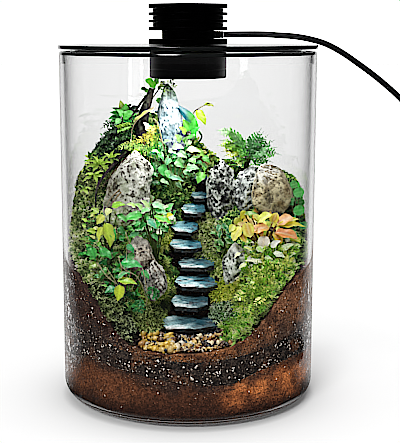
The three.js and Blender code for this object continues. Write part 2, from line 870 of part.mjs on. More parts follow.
// No step reaches into a stone beside it.
const stonesGrown = Object.keys(STONES).map((name) => stoneSolid(name, 0.5));
STEPS.forEach((spec, i) => {
  let s = slab(spec);
  for (const g of stonesGrown) s = s.subtract(g);
  add("slate_step_" + (i + 1), main(s), 0x4a7488, 0.4);
});

// Driftwood: a forked dark branch left of the peak.
const wood = (grow = 0) =>
  blade(
    [
      [-34, 22, 168],
      [-38, 23, 196],
      [-37.5, 26, 214],
      [-33.5, 30, 230],
      [-29.5, 32, 243],
    ],
    [11, 10, 9.5, 9, 5].map((w) => w + grow),
    [10, 10, 9, 8.5, 5].map((w) => w + grow),
  )
    .add(
      blade(
        [
          [-37.5, 25, 207],
          [-53, 14, 205],
          [-65, -4, 191],
          [-70.5, -20, 171],
          [-71, -27, 153],
        ],
        [4.5, 3.2, 2.4, 2.2, 1.6].map((w) => w + grow),
        [4.5, 3.2, 2.4, 2.2, 1.6].map((w) => w + grow),
      ),
    )
    .add(
      blade(
        [
          [-31, 31, 238],
          [-38, 24, 232],
          [-47, 17, 219],
        ],
        [3, 2.2, 1.4].map((w) => w + grow),
        [3, 2.2, 1.4].map((w) => w + grow),
      ),
    );
let branch = wood();
for (const g of stonesGrown) branch = branch.subtract(g);
add("driftwood", clean(main(branch)), 0x3a2c20, 0.85);
// Fill: clay soil, drainage gravel, planting soil.
const floorOf = (x, y) => {
  const r = Math.hypot(x, y);
  const c = IN_R - IN_CORNER;
  const k = IN_CORNER - 0.5;
  return r <= c ? BASE + 0.5 : BASE + IN_CORNER - Math.sqrt(Math.max(k * k - (r - c) ** 2, 0));
};
add(
  "soil_base",
  layer(baseTop, [0, FILL_R], floorOf, [0, IN_R - IN_CORNER, 90, 93.6, FILL_R]),
  0x6e3d1e,
  0.95,
);
add(
  "gravel_layer",
  layer(gravelTop, [0, FILL_R], (x, y) => baseTop(x, y) + GAP, [0, FILL_R]),
  0x35322f,
  0.9,
);
let hill = layer(ground, RINGS, (x, y) => gravelTop(x, y) + GAP, [0, FILL_R]);

// Moss: blankets on the ground that leave the steps and the pebble bed free.
const path = (y) => table([-96, -60, -40, -20, 0, 20, 34], [46, 36, 22, 21, 18, 14, 10], y);
const pathX = (y) => table([-96, -50, -30, -20, 0, 10, 30], [-2, 0, 5, 6, -2, 4, 10], y);
const onPath = (x, y) => y < 34 && Math.abs(x - pathX(y)) < path(y);
const blankets = {
  moss_left: [(x, y) => x < pathX(y) && y < 22 && !onPath(x, y), (x) => 3.5 + 2.5 * Math.min(1, -x / 80), 0x7c9a2c],
  moss_right: [(x, y) => x >= pathX(y) && y < 22 && !onPath(x, y), () => 4.5, 0x86b52f],
  moss_back: [(x, y) => y >= 22 && !onPath(x, y) && Math.hypot(x, y) > 30, () => 4.5, 0x5f7f2a],
};
let mosses = Object.entries(blankets).map(([name, [inside, thick, colour]]) => ({
  name,
  colour,
  made: blanket(inside, thick),
}));
// Pebbles: a shallow bed at the foot of the steps.
const pebbleIn = (x, y) => y < -62 && Math.hypot(x, y) < FILL_R - 0.3;
let pebbles = blanket(
  (x, y) => y < -58 && y > -90 && Math.abs(x + 1) < 34 && onPath(x, y) && pebbleIn(x, y),
  () => 2.6,
);

const cutters = [
  ...stonesGrown,
  ...STEPS.map((s) => slab(s, GAP)),
  wood(0.8),
];
for (const c of cutters) {
  hill = hill.subtract(c);
  pebbles = pebbles.subtract(c);
  for (const m of mosses) m.made = m.made.subtract(c);
}

// Plants. Each grows from a socket in the ground and is one piece.
const solids = () => pieces.map((p) => p.made);
const sockets = [];
function clearOf(s, others) {
  const b = s.boundingBox();
  for (const o of others) {
    const c = o.boundingBox();
    let apart = false;
    for (let k = 0; k < 3; k++) if (b.min[k] > c.max[k] || c.min[k] > b.max[k]) apart = true;
    if (!apart && s.intersect(o).volume() > 1e-6) return false;
  }
  return true;
}
const inJar = (p, r = 94.5) => Math.hypot(p[0], p[1]) < r;
function plant(name, colour, { base, stems, leaves, stalk = 1.8, spread = 0.55, droop = 3, up = 0.5 }) {
  const r = rng(name.length * 977 + Math.round(base[0] * 13 + base[1] * 7 + 5000));
  const z0 = ground(base[0], base[1]);
  const root = [base[0], base[1], z0 - 7];
  const collar = [base[0], base[1], z0 + 4];
  let made = blade([root, collar], stalk + 0.8, stalk + 0.8);
  sockets.push([base[0], base[1], z0, stalk]);
  const others = [...solids(), hill, ...mosses.map((m) => m.made)];
  for (const tip of stems) {
    const end = [tip[0], tip[1], tip[2]];
    const mid = [
      lerp(base[0], end[0], 0.45),
      lerp(base[1], end[1], 0.45),
      lerp(z0 + 4, end[2], 0.62),
    ];
    const turn = Math.atan2(end[1] - base[1], end[0] - base[0]);
    const start = [base[0] + 0.45 * Math.cos(turn), base[1] + 0.45 * Math.sin(turn), z0 + 2.2 + 0.9 * r()];
    const pts = [start, mid, end];
    const stem = blade(pts, [stalk, stalk * 0.85, stalk * 0.6], [stalk, stalk * 0.85, stalk * 0.6]);
    const wide = blade(
      [[base[0], base[1], z0 + 6.5], mid, end],
      [stalk, stalk * 0.85, stalk * 0.6].map((w) => w + 0.7),
      [stalk, stalk * 0.85, stalk * 0.6].map((w) => w + 0.7),
    );
    if (!clearOf(wide, others)) continue;
    if (!sound(clean(main(made.add(stem))))) continue;
    made = made.add(stem);
    const n = leaves.n;
    for (let k = 0; k < n; k++) {
      const t = n === 1 ? 0.88 : 0.35 + (0.65 * k) / (n - 1);
      const at = (u) =>
        u < 0.45
          ? [0, 1, 2].map((i) => lerp(pts[0][i], pts[1][i], u / 0.45))
          : [0, 1, 2].map((i) => lerp(pts[1][i], pts[2][i], (u - 0.45) / 0.55));
      const from = at(Math.min(t, 0.985));
      const a = (k % 2 ? 1 : -1) * (1.0 + 0.5 * r()) + (r() - 0.5) * spread;
      const dx = end[0] - base[0];
      const dy = end[1] - base[1];
      const h = Math.hypot(dx, dy) || 1;
      const hx = (dx / h) * Math.cos(a) - (dy / h) * Math.sin(a);
      const hy = (dx / h) * Math.sin(a) + (dy / h) * Math.cos(a);
      const L = leaves.length * (0.8 + 0.4 * r());
      const to = [from[0] + hx * L, from[1] + hy * L, from[2] + L * up * (0.4 + 0.9 * r())];
      if (!inJar(to)) continue;
      const test = leaf(from, to, leaves.width, droop, 0.7);
      if (!clearOf(test, others)) continue;
      for (const nudge of [0, 0.13, -0.17, 0.29]) {
        const grown = made.add(
          leaf([from[0], from[1] + nudge, from[2] + nudge], to, leaves.width + nudge, droop),
        );
        if (!sound(clean(main(grown)))) continue;
        made = grown;
        break;
      }
    }
  }
  add(name, clean(main(made)), colour, 0.5);
}
const G = {
  mid: 0x4f9a2e,
  dark: 0x24522a,
  lime: 0x9ccf3a,
  teal: 0x2f7f76,
  gold: 0xd9b43c,
  pale: 0xbfe0b4,
};
plant("fern_right", G.mid, {
  base: [45, 31],
  stems: [
    [27, 24, 208],
    [30, 17, 200],
    [62, 27, 207],
    [75, 24, 194],
    [56, 41, 204],
  ],
  leaves: { n: 3, length: 9, width: 5 },
  droop: 2,
});
plant("succulent_left", G.dark, {
  base: [-58, 30],
  stems: [
    [-60, 26, 214],
    [-53, 27, 219],
  ],
  leaves: { n: 3, length: 9, width: 6 },
});
plant("palmate_left", G.lime, {
  base: [-79, 18],
  stems: [
    [-83, 8, 186],
    [-74, 10, 194],
    [-87, 2, 178],
  ],
  leaves: { n: 3, length: 12, width: 4 },
  droop: 2,
});
plant("round_leaf_shrub", G.mid, {
  base: [-45, 42],
  stems: [
    [-36, 40, 242],
    [-50, 42, 230],
  ],
  leaves: { n: 2, length: 9, width: 8 },
});
plant("long_leaf_peak", G.teal, {
  base: [1, 44],
  stems: [
    [-6, 36, 230],
    [9, 35, 223],
    [23, 40, 232],
  ],
  leaves: { n: 2, length: 13, width: 8 },
  droop: 6,
  up: 0.1,
});
plant("variegated_creeper", G.pale, {
  base: [-12, 21],
  stems: [
    [-21, 11, 178],
    [-4, 11, 182],
    [5, 17, 182],
  ],
  leaves: { n: 3, length: 9, width: 7 },
});
plant("yellow_fern_left", G.lime, {
  base: [-30, 15],
  stems: [
    [-38, 8, 204],
    [-31, 4, 202],
    [-33, 19, 206],
  ],
  leaves: { n: 3, length: 8, width: 4 },
});
plant("mint_left", G.mid, {
  base: [-24, -18],
  stems: [
    [-33, -34, 143],
    [-24, -32, 140],
    [-17, -28, 137],
  ],
  leaves: { n: 3, length: 11, width: 8 },
});
plant("ground_fig_left", G.lime, {
  base: [-62, -32],
  stems: [
    [-58, -46, 142],
    [-70, -42, 142],
    [-52, -50, 136],
  ],
  leaves: { n: 3, length: 11, width: 8 },
});
plant("low_creeper_left", G.mid, {
  base: [-46, -54],
  stems: [
    [-44, -66, 110],
    [-56, -62, 118],
  ],
  leaves: { n: 2, length: 9, width: 7.5 },
});
plant("friendship_plant", G.mid, {
  base: [28, -12],
  stems: [
    [28, -24, 142],
    [36, -20, 146],
    [20, -22, 137],
  ],
  leaves: { n: 2, length: 7, width: 5 },
});
plant("fittonia_right", G.gold, {
  base: [58, -24],
  stems: [
    [45, -34, 148],
    [57, -38, 146],
    [71, -34, 150],
    [80, -24, 148],
  ],
  leaves: { n: 3, length: 12, width: 9 },
});
plant("dollar_creeper_right", G.mid, {
  base: [87, -8],
  stems: [
    [87, -14, 166],
    [88, 0, 156],
  ],
  leaves: { n: 2, length: 7, width: 8 },
});
plant("selaginella_right", G.lime, {
  base: [60, -48],
  stems: [
    [52, -58, 120],
    [67, -54, 130],
    [74, -42, 136],
  ],
  leaves: { n: 3, length: 8, width: 4 },
});
plant("feather_moss_front", G.lime, {
  base: [40, -62],
  stems: [
    [32, -72, 88],
    [44, -72, 94],
  ],
  leaves: { n: 3, length: 7, width: 4 },
});
plant("back_ivy", G.mid, {
  base: [-22, 72],
  stems: [
    [-34, 82, 206],
    [-12, 84, 208],
  ],
  leaves: { n: 3, length: 11, width: 9 },
});
plant("back_fern", G.mid, {
  base: [38, 62],
  stems: [
    [24, 76, 186],
    [42, 80, 183],
    [56, 70, 180],
  ],
  leaves: { n: 3, length: 9, width: 5 },
});

// Sockets for the roots, then the ground goes in.
for (const [x, y, z, stalk] of sockets) {
  const hole = rod(stalk + 1.1, [x, y, z - 8], [x, y, z + 9], 8);
  hill = hill.subtract(hole);
  for (const m of mosses) m.made = m.made.subtract(hole);
  pebbles = pebbles.subtract(hole);
}
add("soil_hill", clean(main(hill)), 0x4a2c1a, 0.95);
for (const m of mosses) add(m.name, clean(main(m.made)), m.colour, 0.9);
add("pebble_bed", clean(main(pebbles)), 0xc49a4a, 0.7);

// ---------------------------------------------------------------- assembly
const group = new THREE.Group();
for (const { name, made, colour, roughness, metalness, opacity } of pieces) {
  const material = new THREE.MeshStandardMaterial({
    color: colour,
    roughness,
    metalness,
    transparent: opacity < 1,
    opacity,
  });
  const mesh = new THREE.Mesh(geometryOf(made), material);
  mesh.name = name;
  group.add(mesh);
}
export default group;
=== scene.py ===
import math

import bpy
import numpy as np
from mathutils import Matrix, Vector


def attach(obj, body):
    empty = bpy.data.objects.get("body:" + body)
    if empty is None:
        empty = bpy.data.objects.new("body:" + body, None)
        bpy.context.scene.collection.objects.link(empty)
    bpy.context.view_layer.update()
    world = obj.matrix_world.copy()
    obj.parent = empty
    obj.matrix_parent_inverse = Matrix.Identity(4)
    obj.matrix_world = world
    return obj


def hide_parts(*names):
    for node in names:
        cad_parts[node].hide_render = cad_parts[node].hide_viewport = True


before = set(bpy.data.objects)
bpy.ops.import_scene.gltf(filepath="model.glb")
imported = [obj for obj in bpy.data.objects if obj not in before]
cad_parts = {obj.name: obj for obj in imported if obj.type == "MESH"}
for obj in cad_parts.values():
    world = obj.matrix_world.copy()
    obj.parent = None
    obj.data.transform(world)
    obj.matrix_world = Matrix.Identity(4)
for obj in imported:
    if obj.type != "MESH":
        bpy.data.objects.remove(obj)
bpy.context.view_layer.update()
MM = 0.001
RNG = np.random.default_rng(20240)

# ------------------------------------------------------------------ camera
CAM_Y, CAM_Z, PITCH = -866.82, 289.425, 0.172
FOCAL, PX0, PY0 = 1100.34, 188.0, 221.47
cam_data = bpy.data.cameras.new("main_camera")
cam = bpy.data.objects.new("main_camera", cam_data)
bpy.context.scene.collection.objects.link(cam)
cam.location = (0, CAM_Y * MM, CAM_Z * MM)
cam.rotation_euler = (math.pi / 2 - PITCH, 0, 0)
cam_data.sensor_width = 36
cam_data.sensor_fit = "AUTO"
cam_data.lens = FOCAL / 443 * 36
cam_data.shift_x = (200 - PX0) / 443
cam_data.shift_y = 0
cam_data.clip_start, cam_data.clip_end = 0.02, 60
bpy.context.scene.camera = cam


def at(px, py, y):
    """The point of depth y (mm) that is seen at a picture point."""
    a, b = (px - PX0) / FOCAL, (py - PY0) / FOCAL
    dep = (y - CAM_Y) / (math.cos(PITCH) - b * math.sin(PITCH))
    return np.array(
        [a * dep, y, CAM_Z - dep * (math.sin(PITCH) + b * math.cos(PITCH))]
    )


# ------------------------------------------------------------------ noise
def _hash(ix, iy, iz, seed):
    h = (ix * 374761393 + iy * 668265263 + iz * 1442695041 + seed * 974634777) & 0xFFFFFFFF
    h = ((h ^ (h >> 13)) * 1274126177) & 0xFFFFFFFF
    return ((h ^ (h >> 16)) & 0xFFFFFF) / float(0xFFFFFF)


def noise(p, scale, seed=0):
    """Smooth value noise from -1 to 1 at points p (n,3), cells of `scale` mm."""
    q = np.asarray(p, float) / scale
    i = np.floor(q).astype(np.int64)
    f = q - i
    f = f * f * (3 - 2 * f)
    total = 0.0
    for dx in (0, 1):
        for dy in (0, 1):
            for dz in (0, 1):
                w = (
                    (f[:, 0] if dx else 1 - f[:, 0])
                    * (f[:, 1] if dy else 1 - f[:, 1])
                    * (f[:, 2] if dz else 1 - f[:, 2])
                )
                total = total + w * _hash(i[:, 0] + dx, i[:, 1] + dy, i[:, 2] + dz, seed)
    return total * 2 - 1


def fbm(p, scale, octaves=4, seed=0, gain=0.5):
    total, amp, norm = 0.0, 1.0, 0.0
    for k in range(octaves):
        total = total + amp * noise(p, scale / 2**k, seed + 17 * k)
        norm += amp
        amp *= gain
    return total / norm


def cells(p, scale, seed=0):
    """Distance to the nearest and second nearest scattered point, in cells, and the nearest one's own number."""
    q = np.asarray(p, float) / scale
    i = np.floor(q).astype(np.int64)
    d1 = np.full(len(q), 9.0)
    d2 = np.full(len(q), 9.0)
    own = np.zeros(len(q))
    for dx in (-1, 0, 1):
        for dy in (-1, 0, 1):
            for dz in (-1, 0, 1):
                j = i + (dx, dy, dz)
                c = j + np.stack(
                    [_hash(j[:, 0], j[:, 1], j[:, 2], seed + k) for k in (1, 2, 3)], 1
                )
                d = np.linalg.norm(q - c, axis=1)
                near = d < d1
                d2 = np.where(near, d1, np.minimum(d2, d))
                own = np.where(near, _hash(j[:, 0], j[:, 1], j[:, 2], seed + 9), own)
                d1 = np.where(near, d, d1)
    return d1, d2, own


def srgb(*rgb):
    """Linear colour from 0-255 display values."""
    c = np.asarray(rgb, float) / 255
    return np.where(c <= 0.04045, c / 12.92, ((c + 0.055) / 1.055) ** 2.4)


def mix(a, b, t):
    t = np.asarray(t, float)
    if t.ndim:
        t = t[:, None]
    return np.asarray(a) * (1 - t) + np.asarray(b) * t


def unit(v):
    v = np.asarray(v, float)
    return v / np.maximum(np.linalg.norm(v, axis=-1, keepdims=True), 1e-9)


def step(a, b, x):
    t = np.clip((x - a) / (b - a), 0, 1)
    return t * t * (3 - 2 * t)


# ------------------------------------------------------------------ mesh building
class Soup:
    """Points, triangles, a tint for each point and a material number for each triangle."""

    def __init__(self):
        self.v, self.f, self.c, self.m, self.n = [], [], [], [], 0

    def add(self, verts, tris, tint, slot=0):
        verts = np.asarray(verts, float)
        tris = np.asarray(tris, np.int64)
        tint = np.asarray(tint, float)
        if tint.ndim == 1:
            tint = np.tile(tint[:3], (len(verts), 1))
        self.v.append(verts)
        self.f.append(tris + self.n)
        self.c.append(tint[:, :3])
        self.m.append(np.full(len(tris), slot))
        self.n += len(verts)
        return self

    def quads(self, verts, quads, tint, slot=0):
        q = np.asarray(quads)
        return self.add(verts, np.concatenate([q[:, [0, 1, 2]], q[:, [0, 2, 3]]]), tint, slot)

    def copies(self, tv, tf, origin, rot, scale, tint, slot=0, twist=None):
        """Many copies of a template: origin (m,3), rot (m,3,3) with the axes in its columns, scale (m,) or (m,3), tint (m,3) or (m,n,3)."""
        m, n = len(origin), len(tv)
        if not m:
            return self
        scale = np.asarray(scale, float)
        if scale.ndim == 1:
            scale = np.repeat(scale[:, None], 3, 1)
        local = tv[None] * scale[:, None]
        v = np.einsum("mij,mnj->mni", rot, local) + origin[:, None]
        tint = np.asarray(tint, float)
        if tint.ndim == 2:
            tint = np.repeat(tint[:, None], n, 1)
        f = tf[None] + (np.arange(m) * n)[:, None, None]
        return self.add(v.reshape(-1, 3), f.reshape(-1, 3), tint.reshape(-1, 3), slot)

    def object(self, name, mats, body="root", slot=None, smooth=True):
        v = np.concatenate(self.v) * MM
        f = np.concatenate(self.f)
        c = np.clip(np.concatenate(self.c), 0, 1)
        m = np.concatenate(self.m)
        me = bpy.data.meshes.new(name)
        me.vertices.add(len(v))
        me.vertices.foreach_set("co", v.astype(np.float32).ravel())
        me.loops.add(len(f) * 3)
        me.loops.foreach_set("vertex_index", f.astype(np.int32).ravel())
        me.polygons.add(len(f))
        me.polygons.foreach_set("loop_start", (np.arange(len(f)) * 3).astype(np.int32))
        me.polygons.foreach_set("loop_total", np.full(len(f), 3, np.int32))
        me.update(calc_edges=True)
        a = me.color_attributes.new(name="tint", type="FLOAT_COLOR", domain="POINT")
        a.data.foreach_set("color", np.hstack([c, np.ones((len(c), 1))]).astype(np.float32).ravel())
        for mt in mats if isinstance(mats, (list, tuple)) else [mats]:
            me.materials.append(mt)
        me.polygons.foreach_set("material_index", m.astype(np.int32))
        me.polygons.foreach_set("use_smooth", np.full(len(f), smooth))
        me.validate()
        o = bpy.data.objects.new(name, me)
        bpy.context.scene.collection.objects.link(o)
        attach(o, body)
        print(name, len(f))
        return o


def edge_split(o, degrees=35):
    """Sharp edges stay sharp on a smooth-shaded mesh."""
    me = o.data
    import bmesh

    bm = bmesh.new()
    bm.from_mesh(me)
    bmesh.ops.remove_doubles(bm, verts=bm.verts, dist=1e-6)
    for e in bm.edges:
        e.smooth = len(e.link_faces) != 2 or e.calc_face_angle(0) < math.radians(degrees)
    bm.to_mesh(me)
    bm.free()
    return o


def lathe(profile, n, centre=(0, 0), tint=(1, 1, 1), slots=None, soup=None):
    """Turns a closed (r, z) outline about Z; points on the axis are shared. slots gives a material number for each side of the outline."""
    s = soup or Soup()
    a = np.arange(n) / n * 2 * np.pi
    ca, sa = np.cos(a), np.sin(a)
    for k in range(len(profile) - 1):
        (r0, z0), (r1, z1) = profile[k], profile[k + 1]
        if r0 < 1e-6 and r1 < 1e-6:
            continue
        v = np.concatenate(
            [
                np.stack([centre[0] + r0 * ca, centre[1] + r0 * sa, np.full(n, z0)], 1),
                np.stack([centre[0] + r1 * ca, centre[1] + r1 * sa, np.full(n, z1)], 1),
            ]
        )
        i = np.arange(n)
        j = (i + 1) % n
        if r0 < 1e-6:
            t = np.stack([i * 0, n + j, n + i], 1)
        elif r1 < 1e-6:
            t = np.stack([i, j, i * 0 + n], 1)
        else:
            t = np.concatenate([np.stack([i, j, n + j], 1), np.stack([i, n + j, n + i], 1)])
        s.add(v, t, tint, slots[k] if slots else 0)
    return s


def arc(cx, cz, r, a0, a1, n):
    return [
        (cx + r * math.cos(math.radians(a0 + (a1 - a0) * i / n)), cz + r * math.sin(math.radians(a0 + (a1 - a0) * i / n)))
        for i in range(n + 1)
    ]


def fix_normals(o):
    import bmesh

    bm = bmesh.new()
    bm.from_mesh(o.data)
    bmesh.ops.remove_doubles(bm, verts=bm.verts, dist=2e-6)
    bmesh.ops.recalc_face_normals(bm, faces=bm.faces)
    bm.to_mesh(o.data)
    bm.free()
    return o


def tube(points, radii, sides=10, closed=True):
    """A round bar through points with a radius at each; verts and triangles."""
    P = np.asarray(points, float)
    R = np.broadcast_to(np.asarray(radii, float), (len(P),)).copy()
    T = unit(np.gradient(P, axis=0))
    u = np.array([0.0, 0.0, 1.0]) if abs(T[0, 2]) < 0.9 else np.array([1.0, 0.0, 0.0])
    ring = []
    for i in range(len(P)):
        u = unit(u - T[i] * (u @ T[i]))
        w = np.cross(T[i], u)
        a = np.arange(sides) / sides * 2 * np.pi
        ring.append(P[i] + R[i] * (np.cos(a)[:, None] * u + np.sin(a)[:, None] * w))
    v = np.concatenate(ring)
    k = np.arange(sides)
    l = (k + 1) % sides
    t = []
    for i in range(len(P) - 1):
        a, b = i * sides, (i + 1) * sides
        t += [np.stack([a + k, a + l, b + l], 1), np.stack([a + k, b + l, b + k], 1)]
    if closed:
        v = np.concatenate([v, P[:1], P[-1:]])
        c0, c1 = len(v) - 2, len(v) - 1
        t += [
            np.stack([l, k, np.full(sides, c0)], 1),
            np.stack([(len(P) - 1) * sides + k, (len(P) - 1) * sides + l, np.full(sides, c1)], 1),
        ]
    return v, np.concatenate(t)


def spline(points, n):
    """n points on a smooth curve through the given ones, evenly spaced."""
    P = np.asarray(points, float)
    P = np.vstack([2 * P[0] - P[1], P, 2 * P[-1] - P[-2]])
    out = []
    for i in range(1, len(P) - 2):
        t = np.linspace(0, 1, 24, endpoint=False)[:, None]
        a, b, c, d = P[i - 1], P[i], P[i + 1], P[i + 2]
        out.append(
            0.5
            * (2 * b + (c - a) * t + (2 * a - 5 * b + 4 * c - d) * t**2 + (3 * b - 3 * c + d - a) * t**3)
        )
    L = np.vstack(out + [P[-2:-1]])
    s = np.concatenate([[0], np.cumsum(np.linalg.norm(np.diff(L, axis=0), axis=1))])
    u = np.linspace(0, s[-1], n)
    return np.stack([np.interp(u, s, L[:, k]) for k in range(3)], 1)


# ------------------------------------------------------------------ materials
def new_mat(name):
    m = bpy.data.materials.new(name)
    m.use_nodes = True
    nt = m.node_tree
    nt.nodes.clear()
    out = nt.nodes.new("ShaderNodeOutputMaterial")
    return m, nt, out


def node(nt, kind, **inputs):
    n = nt.nodes.new("ShaderNode" + kind)
    for k, v in inputs.items():
        key = k.replace("_", " ")
        if key in n.inputs:
            n.inputs[key].default_value = v
        else:
            setattr(n, k, v)
    return n


def ramp(nt, fac, stops, mode="LINEAR"):
    r = nt.nodes.new("ShaderNodeValToRGB")
    r.color_ramp.interpolation = mode
    while len(r.color_ramp.elements) < len(stops):
        r.color_ramp.elements.new(0.5)
    for e, (p, c) in zip(r.color_ramp.elements, stops):
        e.position = p
        e.color = (*[float(x) for x in c], 1) if len(c) == 3 else c
    nt.links.new(fac, r.inputs[0])
    return r.outputs[0]


def mixed(nt, kind, fac, a, b):
    m = nt.nodes.new("ShaderNodeMix")
    m.data_type = "RGBA"
    m.blend_type = kind
    for sock, val in ((m.inputs[0], fac), (m.inputs[6], a), (m.inputs[7], b)):
        if isinstance(val, bpy.types.NodeSocket):
            nt.links.new(val, sock)
        elif isinstance(val, (int, float)):
            sock.default_value = val
        else:
            sock.default_value = (*[float(x) for x in val][:3], 1)
    return m.outputs[2]


def place(nt):
    return node(nt, "TexCoord").outputs["Object"]


def texture(nt, kind, scale, detail=3.0, **extra):
    t = node(nt, "Tex" + kind, Scale=scale, **extra)
    if "Detail" in t.inputs:
        t.inputs["Detail"].default_value = detail
    nt.links.new(place(nt), t.inputs["Vector"])
    return t


def tinted(
    name,
    rough=0.7,
    spec=0.5,
    speckle=(1400, 0.25),
    patches=(90, 0.2),
    bump=(1600, 0.4, 0.0004),
    coat=0.0,
    through=0.0,
    sheen=0.0,
):
    """A material whose colour is the piece's tint, varied by two sizes of noise, with a bump of its own grain."""
    m, nt, out = new_mat(name)
    p = node(nt, "BsdfPrincipled", Roughness=rough)
    p.inputs["Specular IOR Level"].default_value = spec
    p.inputs["Coat Weight"].default_value = coat
    p.inputs["Coat Roughness"].default_value = 0.18
    p.inputs["Sheen Weight"].default_value = sheen
    tint = node(nt, "Attribute", attribute_name="tint").outputs["Color"]
    fine = texture(nt, "Noise", speckle[0], 2.0).outputs["Fac"]
    wide = texture(nt, "Noise", patches[0], 3.0).outputs["Fac"]
    f = ramp(nt, fine, [(0.3, (1 - speckle[1],) * 3), (0.7, (1 + 0 * speckle[1],) * 3)])
    w = ramp(nt, wide, [(0.35, (1 - patches[1],) * 3), (0.65, (1.0,) * 3)])
    c = mixed(nt, "MULTIPLY", 1.0, tint, f)
    c = mixed(nt, "MULTIPLY", 1.0, c, w)
    nt.links.new(c, p.inputs["Base Color"])
    if bump:
        b = node(nt, "Bump", Strength=bump[1], Distance=bump[2])
        h = texture(nt, "Noise", bump[0], 4.0).outputs["Fac"]
        nt.links.new(h, b.inputs["Height"])
        nt.links.new(b.outputs["Normal"], p.inputs["Normal"])
    shader = p.outputs[0]
    if through:
        tr = node(nt, "BsdfTranslucent")
        glow = mixed(nt, "MULTIPLY", 1.0, c, (1.0, 1.0, 0.45))
        nt.links.new(glow, tr.inputs["Color"])
        ms = node(nt, "MixShader")
        ms.inputs[0].default_value = through
        nt.links.new(p.outputs[0], ms.inputs[1])
        nt.links.new(tr.outputs[0], ms.inputs[2])
        shader = ms.outputs[0]
    nt.links.new(shader, out.inputs["Surface"])
    return m


def granular(name, cell, flecks=0.0, spread=(0.45, 1.6), rough=0.92, bump=0.8):
    """Packed grains: the piece's tint made darker or lighter grain by grain, with a share of pale flecks."""
    m, nt, out = new_mat(name)
    p = node(nt, "BsdfPrincipled", Roughness=rough)
    p.inputs["Specular IOR Level"].default_value = 0.25
    tint = node(nt, "Attribute", attribute_name="tint").outputs["Color"]
    # The grain edges wander, so that they don't look like cut glass.
    warp = texture(nt, "Noise", cell * 1.3, 1.0).outputs["Color"]
    add = node(nt, "VectorMath")
    add.operation = "MULTIPLY_ADD"
    nt.links.new(warp, add.inputs[0])
    add.inputs[1].default_value = (0.5 / cell,) * 3
    nt.links.new(place(nt), add.inputs[2])
    cells_ = []
    for scale in (cell, cell * 0.52):
        t = node(nt, "TexVoronoi", Scale=scale)
        nt.links.new(add.outputs[0], t.inputs["Vector"])
        cells_.append(t)
    sep = node(nt, "SeparateColor")
    nt.links.new(cells_[0].outputs["Color"], sep.inputs[0])
    sep2 = node(nt, "SeparateColor")
    nt.links.new(cells_[1].outputs["Color"], sep2.inputs[0])
    k = node(nt, "MapRange")
    nt.links.new(sep.outputs[0], k.inputs["Value"])
    k.inputs["To Min"].default_value, k.inputs["To Max"].default_value = spread
    k2 = node(nt, "MapRange")
    nt.links.new(sep2.outputs[0], k2.inputs["Value"])
    k2.inputs["To Min"].default_value, k2.inputs["To Max"].default_value = 0.72, 1.28
    c = mixed(nt, "MULTIPLY", 1.0, tint, k.outputs[0])
    c = mixed(nt, "MULTIPLY", 1.0, c, k2.outputs[0])
    if flecks:
        g = node(nt, "Math")
        g.operation = "GREATER_THAN"
        nt.links.new(sep.outputs[1], g.inputs[0])
        g.inputs[1].default_value = 1 - flecks
        pale = ramp(nt, sep.outputs[2], [(0.0, (0.30, 0.22, 0.15)), (0.5, (0.62, 0.56, 0.50)), (1.0, (0.92, 0.90, 0.86))])
        c = mixed(nt, "MIX", g.outputs[0], c, pale)
    nt.links.new(c, p.inputs["Base Color"])
    b = node(nt, "Bump", Strength=bump, Distance=0.0005)
    b.invert = True
    nt.links.new(cells_[0].outputs["Distance"], b.inputs["Height"])
    nt.links.new(b.outputs["Normal"], p.inputs["Normal"])
    nt.links.new(p.outputs[0], out.inputs["Surface"])
    return m


def glass(name, edge, ior=1.47, clear=0.975):
    """Clear glass that greys a little where it is seen edge on, and lets lamp light through."""
    m, nt, out = new_mat(name)
    g = node(nt, "BsdfGlass", Roughness=0.0, IOR=ior)
    lw = node(nt, "LayerWeight", Blend=0.5)
    c = ramp(
        nt,
        lw.outputs["Facing"],
        [(0.0, (clear,) * 3), (0.55, (clear * 0.985,) * 3), (0.8, (edge + 0.55 * (clear - edge),) * 3), (1.0, (edge,) * 3)],
    )
    nt.links.new(c, g.inputs["Color"])
    tr = node(nt, "BsdfTransparent")
    tr.inputs["Color"].default_value = (0.96, 0.965, 0.965, 1)
    lp = node(nt, "LightPath")
    mx = node(nt, "Math")
    mx.operation = "MAXIMUM"
    nt.links.new(lp.outputs["Is Shadow Ray"], mx.inputs[0])
    nt.links.new(lp.outputs["Is Diffuse Ray"], mx.inputs[1])
    ms = node(nt, "MixShader")
    nt.links.new(mx.outputs[0], ms.inputs[0])
    nt.links.new(g.outputs[0], ms.inputs[1])
    nt.links.new(tr.outputs[0], ms.inputs[2])
    nt.links.new(ms.outputs[0], out.inputs["Surface"])
    return m


